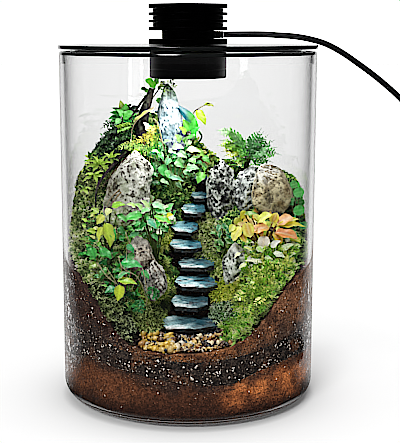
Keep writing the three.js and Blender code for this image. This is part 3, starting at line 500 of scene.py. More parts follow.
def plain(name, colour, rough, metal=0.0, spec=0.5, grain=(900, 0.15, 0.0001), spread=0.12, coat=0.0):
    """A manufactured surface: slight unevenness of tone and gloss, and a fine grain."""
    m, nt, out = new_mat(name)
    p = node(nt, "BsdfPrincipled", Roughness=rough, Metallic=metal)
    p.inputs["Specular IOR Level"].default_value = spec
    p.inputs["Coat Weight"].default_value = coat
    n = texture(nt, "Noise", 60, 4.0).outputs["Fac"]
    colour = np.asarray(colour, float)
    c = ramp(nt, n, [(0.3, colour * (1 - spread)), (0.7, np.minimum(colour * (1 + spread), 1))])
    nt.links.new(c, p.inputs["Base Color"])
    r = node(nt, "MapRange")
    fine = texture(nt, "Noise", 420, 3.0).outputs["Fac"]
    nt.links.new(fine, r.inputs["Value"])
    r.inputs["To Min"].default_value = max(rough - 0.06, 0.02)
    r.inputs["To Max"].default_value = rough + 0.08
    nt.links.new(r.outputs[0], p.inputs["Roughness"])
    b = node(nt, "Bump", Strength=grain[1], Distance=grain[2])
    h = texture(nt, "Noise", grain[0], 3.0).outputs["Fac"]
    nt.links.new(h, b.inputs["Height"])
    nt.links.new(b.outputs["Normal"], p.inputs["Normal"])
    nt.links.new(p.outputs[0], out.inputs["Surface"])
    return m


M = {
    "glass": glass("jar_glass", 0.55),
    "lid": glass("lid_glass", 0.8),
    "edge": plain("dark_glass_edge", (0.006, 0.007, 0.007), 0.08, spec=0.6),
    "pad": plain("clear_silicone", (0.6, 0.62, 0.61), 0.3),
    "lamp": plain("black_anodised", (0.0016, 0.0016, 0.0018), 0.3, metal=1.0, grain=(2600, 0.12, 0.00005)),
    "gasket": plain("gasket_rubber", (0.015, 0.015, 0.015), 0.75),
    "board": plain("solder_mask", (0.72, 0.72, 0.68), 0.5),
    "steel": plain("bright_steel", (0.62, 0.62, 0.63), 0.24, metal=1.0),
    "lens": plain("opal_lens", (0.80, 0.80, 0.76), 0.4),
    "cord": plain("cord_jacket", (0.010, 0.010, 0.011), 0.4, grain=(1500, 0.2, 0.00008)),
    "plug": plain("plug_plastic", (0.016, 0.016, 0.017), 0.45, grain=(3000, 0.3, 0.0001)),
    "tongue": plain("plug_inner", (0.70, 0.70, 0.68), 0.5),
    "rock": tinted("rough_stone", 0.82, 0.35, (1700, 0.35), (120, 0.18), (1300, 0.75, 0.0006)),
    "slate": tinted("split_slate", 0.34, 0.55, (700, 0.45), (150, 0.35), (900, 0.8, 0.0005), coat=0.25),
    "bark": tinted("bark", 0.85, 0.3, (900, 0.45), (150, 0.3), (700, 0.9, 0.0008)),
    "clay": granular("clay_soil", 1050, 0.003, (0.5, 1.55)),
    "drain": granular("drainage_grit", 900, 0.055, (0.35, 1.7)),
    "earth": granular("planting_soil", 1000, 0.016, (0.4, 1.65)),
    "soil": tinted("soil", 0.95, 0.2, (1500, 0.45), (70, 0.28), (1300, 1.0, 0.0008)),
    "grit": tinted("grit", 0.75, 0.4, (1900, 0.3), (200, 0.15), (2400, 0.5, 0.0003)),
    "pebble": tinted("pebble", 0.42, 0.5, (1300, 0.3), (240, 0.25), (1800, 0.35, 0.0002), coat=0.2),
    "moss": tinted("moss", 0.7, 0.3, (1100, 0.25), (60, 0.25), (1500, 0.4, 0.0003), through=0.25),
    "leaf": tinted("leaf", 0.42, 0.5, (700, 0.16), (130, 0.14), (900, 0.35, 0.0003), coat=0.15, through=0.22),
    "stem": tinted("stem", 0.6, 0.4, (900, 0.2), (120, 0.15), (1200, 0.3, 0.0002)),
}

# ------------------------------------------------------------------ ground shape
GRID = np.array(
    [
        [100, 78, 61, 57, 57.5, 59.5, 66, 84, 100],
        [104, 88, 70, 60.5, 58.5, 61.5, 76, 94, 104],
        [107, 104, 96, 71, 65, 71, 98, 106, 108],
        [116, 124, 124, 102, 94, 101, 122, 122, 114],
        [134, 150, 152, 134, 123, 130, 142, 146, 138],
        [160, 189, 203, 181, 152, 152, 160, 169, 160],
        [160, 189, 214, 216, 197, 178, 173, 168, 158],
        [148, 164, 184, 190, 182, 172, 164, 154, 148],
        [148, 152, 160, 164, 162, 158, 154, 150, 148],
    ],
    float,
)


def _cubic(p, t):
    return p[1] + 0.5 * t * (
        p[2] - p[0] + t * (2 * p[0] - 5 * p[1] + 4 * p[2] - p[3] + t * (3 * (p[1] - p[2]) + p[3] - p[0]))
    )


def ground(x, y):
    x, y = np.asarray(x, float), np.asarray(y, float)

    def cell(v):
        f = np.clip((v + 96) / 24, 0, 7.9999)
        i = np.floor(f).astype(int)
        return i, f - i

    i, tx = cell(x)
    j, ty = cell(y)
    rows = [
        _cubic([GRID[np.clip(j + dj, 0, 8), np.clip(i + di, 0, 8)] for di in (-1, 0, 1, 2)], tx)
        for dj in (-1, 0, 1, 2)
    ]
    return _cubic(rows, ty)


def normal_at(x, y, e=1.5):
    gx = (ground(x + e, y) - ground(x - e, y)) / (2 * e)
    gy = (ground(x, y + e) - ground(x, y - e)) / (2 * e)
    return unit(np.stack([-gx, -gy, np.ones_like(gx)], -1))


AZ = [-180, -110, -70, -48, -28, -12, 3, 18, 31, 41, 53, 65, 110, 180]
BASE_TOP = [46, 44, 40, 46, 42, 38, 34.5, 33, 40, 43, 45, 44, 46, 46]
GRAVEL_TOP = [66, 66, 66, 64, 57, 53, 51.5, 53, 56, 59, 62, 65, 66, 66]
FILL_R = 95.5


def stratum(tops, axis):
    def f(x, y):
        r = np.hypot(x, y)
        az = np.degrees(np.arctan2(x, -np.asarray(y, float)))
        return axis + (np.interp(az, AZ, tops) - axis) * r / FILL_R

    return f


base_top = stratum(BASE_TOP, 38)
gravel_top = stratum(GRAVEL_TOP, 56)


def path_half(y):
    return np.interp(y, [-96, -60, -40, -20, 0, 20, 34], [46, 36, 22, 21, 18, 14, 10])


def path_x(y):
    return np.interp(y, [-96, -50, -30, -20, 0, 10, 30], [-2, 0, 5, 6, -2, 4, 10])


def on_path(x, y, wider=0.0):
    return (y < 34) & (np.abs(x - path_x(y)) < path_half(y) + wider)


def hit(px, py, lift=5.0):
    """Where the line of sight through a picture point meets the planted ground, raised by `lift`."""
    ys = np.arange(-94, 80, 0.5)
    a, b = (px - PX0) / FOCAL, (py - PY0) / FOCAL
    dep = (ys - CAM_Y) / (math.cos(PITCH) - b * math.sin(PITCH))
    x = a * dep
    z = CAM_Z - dep * (math.sin(PITCH) + b * math.cos(PITCH))
    under = (z < ground(x, ys) + lift) & (np.hypot(x, ys) < 94)
    if not under.any():
        return None
    k = int(np.argmax(under))
    return np.array([x[k], ys[k], z[k]])

# ------------------------------------------------------------------ jar, lid and pads
JAR_R, WALL, BASE, CORNER, RIM_Z = 100.0, 4.0, 3.0, 15.1, 273.7
IN_R, IN_CORNER = JAR_R - WALL, 12.0
jar_profile = (
    [(0, 0)]
    + arc(JAR_R - CORNER, CORNER, CORNER, -90, 0, 20)
    + [(JAR_R, z) for z in (15.6, 17, 25, 60, 110, 160, 210, 250, 268, 270.6, 271.2, 271.5)]
    + arc(JAR_R - 1.9, RIM_Z - 1.9, 1.9, 0, 90, 7)
    + arc(IN_R + 1.9, RIM_Z - 1.9, 1.9, 90, 180, 7)
    + [(IN_R, z) for z in (271.5, 271.2, 270.6, 268, 250, 210, 160, 110, 60, 25, 18, 16.6)]
    + arc(IN_R - IN_CORNER, BASE + IN_CORNER, IN_CORNER, 0, -90, 16)
    + [(0, BASE)]
)
lip = [1 if min(a[1], b[1]) > 271.1 else 0 for a, b in zip(jar_profile, jar_profile[1:])]
jar = lathe(jar_profile, 256, slots=lip).object("jar", [M["glass"], M["edge"]], slot="clear_glass")
fix_normals(jar)
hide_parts("glass_jar")

LID_R, LID_Z0, LID_Z1, LID_HOLE = 100.8, 275.4, 278.2, 6.6
lid_profile = (
    [(LID_HOLE, LID_Z0), (60, LID_Z0), (LID_R - 0.7, LID_Z0)]
    + arc(LID_R - 0.7, LID_Z0 + 0.7, 0.7, -90, 0, 5)
    + arc(LID_R - 0.5, LID_Z1 - 0.5, 0.5, 0, 90, 4)
    + [(60, LID_Z1), (LID_HOLE, LID_Z1), (LID_HOLE, LID_Z0)]
)
rim = [1 if min(a[0], b[0]) > LID_R - 0.72 else 0 for a, b in zip(lid_profile, lid_profile[1:])]
lid = lathe(lid_profile, 256, slots=rim).object("lid", [M["lid"], M["edge"]], slot="clear_glass")
fix_normals(lid)
edge_split(lid, 40)
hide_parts("glass_lid")

for k, deg in enumerate((90, 210, 330)):
    a = math.radians(deg)
    h0, h1 = RIM_Z + 0.3, LID_Z0 - 0.3
    prof = [(0, h0)] + arc(1.4, h0 + 0.3, 0.3, -90, 0, 3) + arc(1.4, h1 - 0.3, 0.3, 0, 90, 3) + [(0, h1)]
    pad = lathe(prof, 24, (98 * math.cos(a), 98 * math.sin(a))).object(
        f"lid_pad_{k + 1}", M["pad"], slot="silicone_clear"
    )
    fix_normals(pad)
    edge_split(pad, 50)
    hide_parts(f"lid_bumper_{k + 1}")


# ------------------------------------------------------------------ lamp
def bevelled(points, b=0.35, n=3):
    """Rounds each corner of a closed (r, z) outline that isn't on the axis."""
    P = [np.array(p, float) for p in points]
    out = []
    m = len(P)
    for i in range(m):
        p, q, r = P[i - 1], P[i], P[(i + 1) % m]
        if q[0] < 1e-6:
            out.append(tuple(q))
            continue
        d0, d1 = unit(p - q), unit(r - q)
        cut = min(b, np.linalg.norm(p - q) * 0.45, np.linalg.norm(r - q) * 0.45)
        a, c = q + d0 * cut, q + d1 * cut
        for t in np.linspace(0, 1, n + 1):
            out.append(tuple((1 - t) ** 2 * a + 2 * t * (1 - t) * q + t * t * c))
    return out + [out[0]]


FINS = [(309.4, 306.4), (303.0, 301.0), (297.3, 295.6), (291.9, 289.5)]
CORD_Z = 286.2
sink = [
    (3.0, 269.6), (6.0, 269.6), (6.0, 279.9), (25.2, 279.9), (25.2, 278.5), (30.4, 278.5), (30.4, 282.9), (20.2, 282.9),
]
for k, (z1, z0) in enumerate(reversed(FINS)):
    sink += [(27.2 if k else 20.2, z0), (30.45, z0), (30.45, z1)]
    if k < 3:
        sink.append((27.2, z1))
sink += [(0, 309.4), (0, CORD_Z + 3.2), (3.0, CORD_Z + 3.2)]
heatsink = lathe(bevelled(sink, 0.4), 128).object("lamp_sink", M["lamp"], slot="lamp_black")
fix_normals(heatsink)
edge_split(heatsink, 42)
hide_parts("lamp_heatsink")
# Outline of a collar where the lead leaves the neck; it is not built.
collar_prof = [(0, -1.2), (3.9, -1.2), (3.9, 1.0), (3.2, 1.6), (2.4, 1.6), (0, 1.6)]

z1, z0, wall = 275.1, 253.0, 2.5
top = z1 - 4.1
house = [
    (6.35, top), (29.95 - wall, top), (29.95 - wall, z0), (29.25, z0), (29.95, z0 + 0.7), (29.95, 259.4), (29.65, 259.7),
    (29.65, 260.1), (29.95, 260.4), (29.95, z1), (25.2, z1), (25.2, z1 - 1.4), (6.35, z1 - 1.4),
]
housing = lathe(bevelled(house, 0.3), 128)
for x in (-15, 15):
    boss = lathe([(0, top - 2.6), (3.2, top - 2.6), (3.2, top - 0.1), (0, top - 0.1)], 24, (x, 0))
    housing.add(np.concatenate(boss.v), np.concatenate(boss.f), (1, 1, 1))
housing = housing.object("lamp_body", M["lamp"], slot="lamp_black")
fix_normals(housing)
edge_split(housing, 42)
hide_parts("lamp_housing")


def ring_piece(name, profile, mat, slot, node_name, n=96, bevel=0.2, centre=(0, 0)):
    o = lathe(bevelled(profile, bevel), n, centre).object(name, mat, slot=slot)
    fix_normals(o)
    edge_split(o, 45)
    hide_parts(node_name)
    return o


ring_piece("gasket_top", [(10, 278.5), (24.8, 278.5), (24.8, 279.55), (10, 279.55)], M["gasket"], "gasket_black", "lamp_gasket_upper")
ring_piece("gasket_under", [(10, 274.05), (24.8, 274.05), (24.8, 275.1), (10, 275.1)], M["gasket"], "gasket_black", "lamp_gasket_lower")
b1 = top - 2.6 - 0.35
b0 = b1 - 1.6
board = lathe([(0, b0), (26.6, b0), (26.6, b1), (0, b1)], 96, tint=(0.72, 0.72, 0.68))
for ringr, count in ((0, 1), (9, 6), (19.5, 14)):
    for k in range(count):
        a = 2 * math.pi * k / count + 0.26
        cx, cy = ringr * math.cos(a), ringr * math.sin(a)
        if abs(abs(cx) - 15) < 4.6 and abs(cy) < 4.6:
            continue
        v = np.array([(cx + sx * 1.4, cy + sy * 1.4, b0 - dz) for dz in (0.0, 0.7) for sx, sy in ((-1, -1), (1, -1), (1, 1), (-1, 1))])
        q = [[0, 3, 2, 1], [4, 5, 6, 7], [0, 1, 5, 4], [1, 2, 6, 5], [2, 3, 7, 6], [3, 0, 4, 7]]
        board.quads(v, q, (0.8, 0.7, 0.2), 1)
board = board.object("led_plate", [M["board"], M["lens"]], slot="board_white")
fix_normals(board)
edge_split(board, 40)
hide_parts("led_board")
for k, x in enumerate((-15, 15)):
    prof = [(0, b0 - 1.5), (0.7, b0 - 1.5), (0.7, b0 - 1.1), (1.1, b0 - 1.1), (1.1, b0 - 1.5), (2.4, b0 - 1.5), (2.7, b0 - 1.1), (2.7, b0 - 0.3), (1.4, b0 - 0.3), (1.4, top + 1.0), (0, top + 1.0)]
    s = lathe(prof, 32, (x, 0)).object(f"plate_screw_{k + 1}", M["steel"], slot="bright_steel")
    fix_normals(s)
    edge_split(s, 40)
    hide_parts(f"board_screw_{k + 1}")
lens_top = [(0, 257.2), (26.9, 257.2), (26.9, 255.4), (26.7, 255.2), (23, 255.2), (22.6, 255.35), (0, 255.35)]
lens = lathe(lens_top, 96).object("lamp_diffuser", M["lens"], slot="lens_opal")
fix_normals(lens)
edge_split(lens, 40)
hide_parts("lamp_lens")
ring_piece("diffuser_ring", [(24.3, 253.5), (27.1, 253.5), (27.1, 254.9), (24.3, 254.9)], M["lamp"], "lamp_black", "lens_ring")

# Strain relief: ribbed sleeve that tapers onto the lead.
xs = np.array([12, 20.4, 20.6, 21.2, 21.4, 22.2, 22.4, 23.0, 23.2, 24.0, 24.2, 24.8, 25.0, 25.8, 26.0, 26.9, 27.5])
rs = np.array([2.9, 2.9, 2.9, 2.85, 2.6, 2.6, 2.78, 2.76, 2.5, 2.5, 2.68, 2.66, 2.42, 2.42, 2.55, 2.48, 2.35])
v, f = tube(np.stack([xs, xs * 0, xs * 0 + CORD_Z], 1), rs, 32)
relief = Soup().add(v, f, (1, 1, 1)).object("strain_sleeve", M["cord"], slot="cord_black")
fix_normals(relief)
edge_split(relief, 50)
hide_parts("cord_strain_relief")

# ------------------------------------------------------------------ lead
CORD_D = 4.3
ROUTE = [
    (27.8, 0, 286.2), (40.4, 0, 286.4), (57.5, 0, 286.4), (71.5, 0, 285.6), (83.4, 0, 284.7), (95.3, 0, 282.6),
    (107.3, 0, 279.0), (119.2, 0, 272.9), (131.4, 0, 264.8), (143.6, 0, 256.1), (155.8, 0, 246.4), (167.5, -0.5, 235.8),
    (178, -2, 223.6), (186.5, -5, 209), (192.8, -8.5, 191.5), (196.6, -12, 171.5), (198.2, -15, 149), (198.3, -17.5, 124),
    (197.3, -19.3, 99), (195.6, -20.5, 75), (193.4, -20.5, 53), (191.2, -17.8, 35), (189.4, -12.2, 20), (188, -3.5, 8.6),
    (187.2, 6, 3.4), (187.1, 14, 2.45), (187.1, 22, 2.4),
]
COIL_C = (217.2, 30.0)
# (turns wound, radius, height): four turns inwards on the floor, then four outwards on top of them.
WIND = [
    (0, 30.1, 2.4), (0.8, 30.1, 2.4), (1.0, 25.8, 2.4), (1.8, 25.8, 2.4), (2.0, 21.5, 2.4), (2.8, 21.5, 2.4), (3.0, 17.2, 2.4),
    (3.5, 17.2, 2.4), (3.78, 17.2, 6.75), (4.2, 17.2, 6.75), (4.42, 21.5, 6.75), (5.2, 21.5, 6.75), (5.42, 25.8, 6.75),
    (6.2, 25.8, 6.75), (6.42, 30.1, 6.75), (7.5, 30.1, 6.75),
]
wt = np.array([w[0] for w in WIND])


def ease(x, col):
    k = int(np.clip(np.searchsorted(wt, x, side="right") - 1, 0, len(WIND) - 2))
    a, b = WIND[k][col], WIND[k + 1][col]
    t = (x - wt[k]) / (wt[k + 1] - wt[k])
    t = min(max(t, 0), 1)
    return a + (b - a) * t * t * (3 - 2 * t)


coil = []
for s in np.arange(0, 7.5 + 1e-9, 1 / 20):
    a = math.pi - 2 * math.pi * s
    r = ease(s, 1)
    coil.append((COIL_C[0] + r * math.cos(a), COIL_C[1] + r * math.sin(a), ease(s, 2)))
TAIL_X = COIL_C[0] + 30.1
line = ROUTE + coil + [(TAIL_X, 24, 6.7), (TAIL_X, 18, 6.45), (TAIL_X, 13.0, 6.2)]
pts = np.array(line)
cu = bpy.data.curves.new("lead", "CURVE")
cu.dimensions = "3D"
cu.bevel_depth = CORD_D / 2 * MM
cu.bevel_resolution = 4
cu.resolution_u = 6
cu.use_fill_caps = True
sp = cu.splines.new("BEZIER")
sp.bezier_points.add(len(pts) - 1)
for k, bp in enumerate(sp.bezier_points):
    p = pts[k]
    q0, q1 = pts[max(k - 1, 0)], pts[min(k + 1, len(pts) - 1)]
    d = unit(q1 - q0)
    bp.co = p * MM
    bp.handle_left_type = bp.handle_right_type = "FREE"
    bp.handle_left = (p - d * np.linalg.norm(p - q0) / 3) * MM
    bp.handle_right = (p + d * np.linalg.norm(q1 - p) / 3) * MM
cu.materials.append(M["cord"])
lead = bpy.data.objects.new("lead", cu)
bpy.context.scene.collection.objects.link(lead)
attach(lead, "root")
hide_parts("cord_tube", "cord_coil")


# Plug: moulded body with ribbed grips and a boot, and a folded metal shell with a tongue.
def rounded_box(x0, x1, z0, z1, r, n=5):
    out = []
    for cx, cz, a0 in ((x1 - r, z1 - r, 0), (x0 + r, z1 - r, 90), (x0 + r, z0 + r, 180), (x1 - r, z0 + r, 270)):
        for k in range(n + 1):
            a = math.radians(a0 + 90 * k / n)
            out.append((cx + r * math.cos(a), cz + r * math.sin(a)))
    return np.array(out)


def loft(sections, ys, tint=(1, 1, 1), soup=None, caps=(True, True), slot=0):
    """Joins same-sized outlines (x, z) at depths ys."""
    s = soup or Soup()
    n = len(sections[0])
    v = np.concatenate([np.stack([c[:, 0], np.full(n, y), c[:, 1]], 1) for c, y in zip(sections, ys)])
    k = np.arange(n)
    l = (k + 1) % n
    t = []
    for i in range(len(ys) - 1):
        a, b = i * n, (i + 1) * n
        t += [np.stack([a + k, a + l, b + l], 1), np.stack([a + k, b + l, b + k], 1)]
    extra = []
    for end, i in ((0, 0), (1, len(ys) - 1)):
        if caps[end]:
            c = len(v) + len(extra)
            extra.append([sections[i][:, 0].mean(), ys[i], sections[i][:, 1].mean()])
            t.append(np.stack([i * n + (l if end == 0 else k), i * n + (k if end == 0 else l), np.full(n, c)], 1))
    if extra:
        v = np.concatenate([v, extra])
    return s.add(v, np.concatenate(t), tint, slot)


secs, ys = [], []
for y, w, h in [(-32, 7.2, 3.5), (-31.6, 7.8, 4.0), (-31, 8, 4.2), (-24, 8, 4.2)] + [
    (-23.4 + 1.6 * k + d, 8 - 0.45 * e, 4.2 - 0.12 * e) for k in range(8) for d, e in ((0, 0), (0.25, 1), (0.8, 1), (1.05, 0))
] + [(-9.5, 8, 4.2), (-5, 7.9, 4.2), (-3.2, 7.2, 4.1), (-1.2, 5.2, 3.8), (0.8, 3.9, 3.5), (2.0, 3.4, 3.4)]:
    secs.append(rounded_box(TAIL_X - w, TAIL_X + w, 4.6 - h, 4.6 + h, min(2.6, w * 0.6, h * 0.8)))
    ys.append(y)
body = loft(secs, ys)
bt = np.linspace(0, 1, 15)
bp = np.stack([np.full(15, TAIL_X), 1.2 + 11.4 * bt, 4.7 + 1.5 * bt], 1)
br = 3.35 - 0.85 * bt - np.where(np.arange(15) % 2, 0.28, 0)
v, f = tube(bp, br, 24)
body.add(v, f, (1, 1, 1))
body = body.object("plug_grip", M["plug"], slot="plug_black")
fix_normals(body)
edge_split(body, 38)
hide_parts("plug_body")
X0, X1 = TAIL_X - 6, TAIL_X + 6
shell = Soup()
outer = rounded_box(X0, X1, 2.35, 6.85, 0.5, 3)
inner = rounded_box(X0 + 0.4, X1 - 0.4, 2.75, 6.45, 0.25, 3)
loft([outer, outer, outer], [-30.4, -42, -51], soup=shell, caps=(True, False))
loft([inner, inner], [-51, -32.5], soup=shell, caps=(False, True))
n = len(outer)
k = np.arange(n)
l = (k + 1) % n
v = np.concatenate([np.stack([outer[:, 0], np.full(n, -51.0), outer[:, 1]], 1), np.stack([inner[:, 0], np.full(n, -51.0), inner[:, 1]], 1)])
shell.add(v, np.concatenate([np.stack([k, l, n + l], 1), np.stack([k, n + l, n + k], 1)]), (1, 1, 1))
for cx in (TAIL_X - 2.7, TAIL_X + 2.7):
    for zz, up in ((6.86, 1), (2.34, -1)):
        v = np.array([(cx - 1, -41.0, zz), (cx + 1, -41.0, zz), (cx + 1, -39.0, zz), (cx - 1, -39.0, zz)])
        w = v - (0, 0, 0.45 * up)
        shell.quads(np.concatenate([v, w]), [[0, 1, 2, 3], [7, 6, 5, 4], [0, 4, 5, 1], [1, 5, 6, 2], [2, 6, 7, 3], [3, 7, 4, 0]], (1, 1, 1), 2)
tongue = rounded_box(X0 + 0.7, X1 - 0.7, 4.75, 6.3, 0.2, 2)
loft([tongue, tongue], [-50.4, -33], soup=shell, slot=1)
shell = shell.object("plug_metal", [M["steel"], M["tongue"], M["gasket"]], slot="bright_steel")
edge_split(shell, 40)
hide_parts("plug_shell")

# ------------------------------------------------------------------ small templates
def ico(level):
    import bmesh

    bm = bmesh.new()
    bmesh.ops.create_icosphere(bm, subdivisions=level, radius=1.0)
    bm.verts.ensure_lookup_table()
    v = np.array([p.co[:] for p in bm.verts])
    f = np.array([[q.index for q in x.verts] for x in bm.faces])
    bm.free()
    return v, f


def random_rot(m, rng=RNG):
    q = rng.normal(size=(m, 4))
    q /= np.linalg.norm(q, axis=1, keepdims=True)
    w, x, y, z = q.T
    return np.stack(
        [
            np.stack([1 - 2 * (y * y + z * z), 2 * (x * y - z * w), 2 * (x * z + y * w)], 1),
            np.stack([2 * (x * y + z * w), 1 - 2 * (x * x + z * z), 2 * (y * z - x * w)], 1),
            np.stack([2 * (x * z - y * w), 2 * (y * z + x * w), 1 - 2 * (x * x + y * y)], 1),
        ],
        1,
    )


def frames(normal, spin=None, rng=RNG):
    """Rotations whose Z column is the normal, turned about it by spin."""
    n = unit(normal)
    m = len(n)
    spin = rng.uniform(0, 2 * np.pi, m) if spin is None else np.asarray(spin)
    ref = np.where(np.abs(n[:, 2:3]) > 0.9, [[1.0, 0, 0]], [[0, 0, 1.0]])
    a = unit(np.cross(ref, n))
    b = np.cross(n, a)
    x = a * np.cos(spin)[:, None] + b * np.sin(spin)[:, None]
    y = np.cross(n, x)
    return np.stack([x, y, n], 2)


GRAIN_V, GRAIN_F = ico(1)
GRAIN_V = GRAIN_V * (1 + 0.22 * (_hash(np.arange(len(GRAIN_V)), 3, 5, 7)[:, None] - 0.5))


# ------------------------------------------------------------------ soil, grit and hill
def fill_layer(name, node_name, top, bottom, colour, mat, slot, top_rings, seed, rough_top=0.0):
    """One layer of the fill: a fine top, an uneven side against the glass, and its underside."""
    na = 360
    a = np.arange(na) / na * 2 * np.pi
    s = Soup()
    rows = []
    # underside, from the axis out
    for r in (14, 40, 66, 84.5, 88, 91, 93.4):
        x, y = r * np.cos(a), r * np.sin(a)
        rows.append(np.stack([x, y, bottom(x, y)], 1))
    # side
    xw, yw = FILL_R * np.cos(a), FILL_R * np.sin(a)
    zb, zt = bottom(xw, yw), top(xw, yw)
    nrow = 22
    for k in range(nrow + 1):
        t = k / nrow
        z = zb + (zt - zb) * t
        p = np.stack([xw, yw, z], 1)
        g = 0.30 * fbm(p, 5, 3, seed) + 0.30 * noise(p, 1.3, seed + 5) + 0.12
        if k in (0, nrow):
            g = g - 0.05
        # Pressed against the glass: mostly in touch with it, with small hollows.
        low = np.where(z < BASE + IN_CORNER, IN_R - IN_CORNER + np.sqrt(np.maximum(IN_CORNER**2 - (BASE + IN_CORNER - z) ** 2, 0)), IN_R)
        r = low + np.clip(g, -0.6, 0.12)
        rows.append(np.stack([r * np.cos(a), r * np.sin(a), z], 1))
    # top, from the wall in
    for r in top_rings:
        x, y = r * np.cos(a), r * np.sin(a)
        z = top(x, y)
        if rough_top:
            z = z + rough_top * fbm(np.stack([x, y, z], 1), 9, 4, seed + 3)
        rows.append(np.stack([x, y, z], 1))
    centre_b = np.array([[0, 0, float(bottom(np.zeros(1), np.zeros(1))[0])]])
    centre_t = np.array([[0, 0, float(top(np.zeros(1), np.zeros(1))[0])]])
    v = np.concatenate([centre_b] + rows + [centre_t])
    i = np.arange(na)
    j = (i + 1) % na
    t = [np.stack([i * 0, 1 + j, 1 + i], 1)]
    for k in range(len(rows) - 1):
        p, q = 1 + k * na, 1 + (k + 1) * na
        t += [np.stack([p + i, p + j, q + j], 1), np.stack([p + i, q + j, q + i], 1)]
    last = 1 + (len(rows) - 1) * na
    t.append(np.stack([last + i, last + j, i * 0 + len(v) - 1], 1))
    s.add(v, np.concatenate(t), colour(v))
    return s


def floor_of(x, y):
    r = np.hypot(x, y)
    c, k = IN_R - IN_CORNER, IN_CORNER + 0.1
    return np.where(r <= c, BASE - 0.1, BASE + IN_CORNER - np.sqrt(np.maximum(k * k - (r - c) ** 2, 0)))


def chip():
    import bmesh

    bm = bmesh.new()
    bmesh.ops.create_icosphere(bm, subdivisions=1, radius=1.0)
    v = np.array([q.co[:] for q in bm.verts])
    f = np.array([[w.index for w in x.verts] for x in bm.faces])
    bm.free()
    return v * (1 + 0.35 * (_hash(np.arange(len(v)), 3, 5, 7)[:, None] - 0.5)), f


CHIP_V, CHIP_F = chip()


def side_grains(s, n, zlo, zhi, colours, chance, size, seed, sink=0.1, slot=1):
    """Loose grains pressed against the glass between two heights."""
    rng = np.random.default_rng(seed)
    a = rng.uniform(0, 2 * np.pi, n)
    x, y = FILL_R * np.cos(a), FILL_R * np.sin(a)
    lo, hi = zlo(x, y), zhi(x, y)
    z = lo + (hi - lo) * rng.uniform(0, 1, n)
    sz = rng.uniform(*size, n)
    low = np.where(z < BASE + IN_CORNER, IN_R - IN_CORNER + np.sqrt(np.maximum(IN_CORNER**2 - (BASE + IN_CORNER - z) ** 2, 0)), IN_R)
    r = low + sink - 0.15 * sz
    pick = rng.choice(len(colours), n, p=chance)
    col = np.asarray(colours)[pick] * rng.uniform(0.65, 1.35, (n, 1))
    s.copies(CHIP_V, CHIP_F, np.stack([r * np.cos(a), r * np.sin(a), z], 1), random_rot(n, rng), sz[:, None] * rng.uniform(0.6, 1.25, (n, 3)), col, slot)
    return s


def clay_colour(v):
    az = np.degrees(np.arctan2(v[:, 0], -v[:, 1]))
    f = fbm(v, 16, 3, 5)
    top = base_top(v[:, 0], v[:, 1])
    up = step(12, 27, v[:, 2] + 7 * f)
    side = 0.30 + 0.70 * step(6, 30, np.abs(az - 2) + 9 * noise(v, 22, 8))
    c = mix(srgb(62, 38, 27), srgb(104, 66, 43), up * side)
    right = step(8, 26, az) * up
    c = mix(c, srgb(200, 122, 72), 0.8 * right * (0.6 + 0.6 * noise(v, 9, 12)))
    c = c * (1 - 0.24 * step(-4, -26, az))[:, None]
    c = mix(c, srgb(48, 30, 22), 0.5 * step(0.15, 0.55, fbm(v, 8, 3, 9)))
    # Some grit has worked its way down into the clay.
    c = mix(c, srgb(50, 42, 38), 0.7 * step(-9, -1, v[:, 2] - top + 6 * noise(v, 12, 31)))
    return c


clay = fill_layer(
    "clay", "soil_base", base_top, floor_of, clay_colour, None, None, (90, 70, 40, 14), 31
)
side_grains(clay, 900, lambda x, y: base_top(x, y) - 10, base_top, [srgb(170, 150, 128), srgb(150, 104, 66), srgb(36, 28, 24)], [0.1, 0.35, 0.55], (0.22, 0.42), 71)
side_grains(clay, 900, floor_of, base_top, [srgb(140, 84, 50), srgb(44, 28, 20), srgb(140, 100, 66)], [0.5, 0.44, 0.06], (0.22, 0.42), 70)
clay = clay.object("clay_soil_mass", [M["clay"], M["grit"]], slot="clay_soil")
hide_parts("soil_base")


def grit_colour(v):
    c = mix(srgb(30, 25, 23), srgb(64, 54, 48), 0.5 + 0.5 * noise(v, 2.4, 3))
    brown = step(0.05, 0.5, fbm(v, 13, 3, 44))
    return mix(c, srgb(104, 70, 48), 0.65 * brown)


grit = fill_layer(
    "grit", "gravel_layer", gravel_top, lambda x, y: base_top(x, y) + 0.04, grit_colour, None, None, (90, 70, 40, 14), 47
)
lo_g = lambda x, y: base_top(x, y) - 1.5
hi_g = lambda x, y: gravel_top(x, y) + 2.0 + 1.6 * noise(np.stack([x, y, x * 0], 1), 11, 6)
side_grains(grit, 2600, lo_g, hi_g, [srgb(40, 34, 32), srgb(78, 68, 60), srgb(120, 104, 92)], [0.5, 0.35, 0.15], (0.35, 0.7), 72)
side_grains(grit, 1500, lo_g, hi_g, [srgb(196, 188, 176), srgb(150, 134, 116), srgb(112, 96, 80)], [0.24, 0.3, 0.46], (0.16, 0.32), 73, 0.14)
grit = grit.object("grit_band", [M["drain"], M["grit"]], slot="drain_gravel")
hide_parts("gravel_layer")


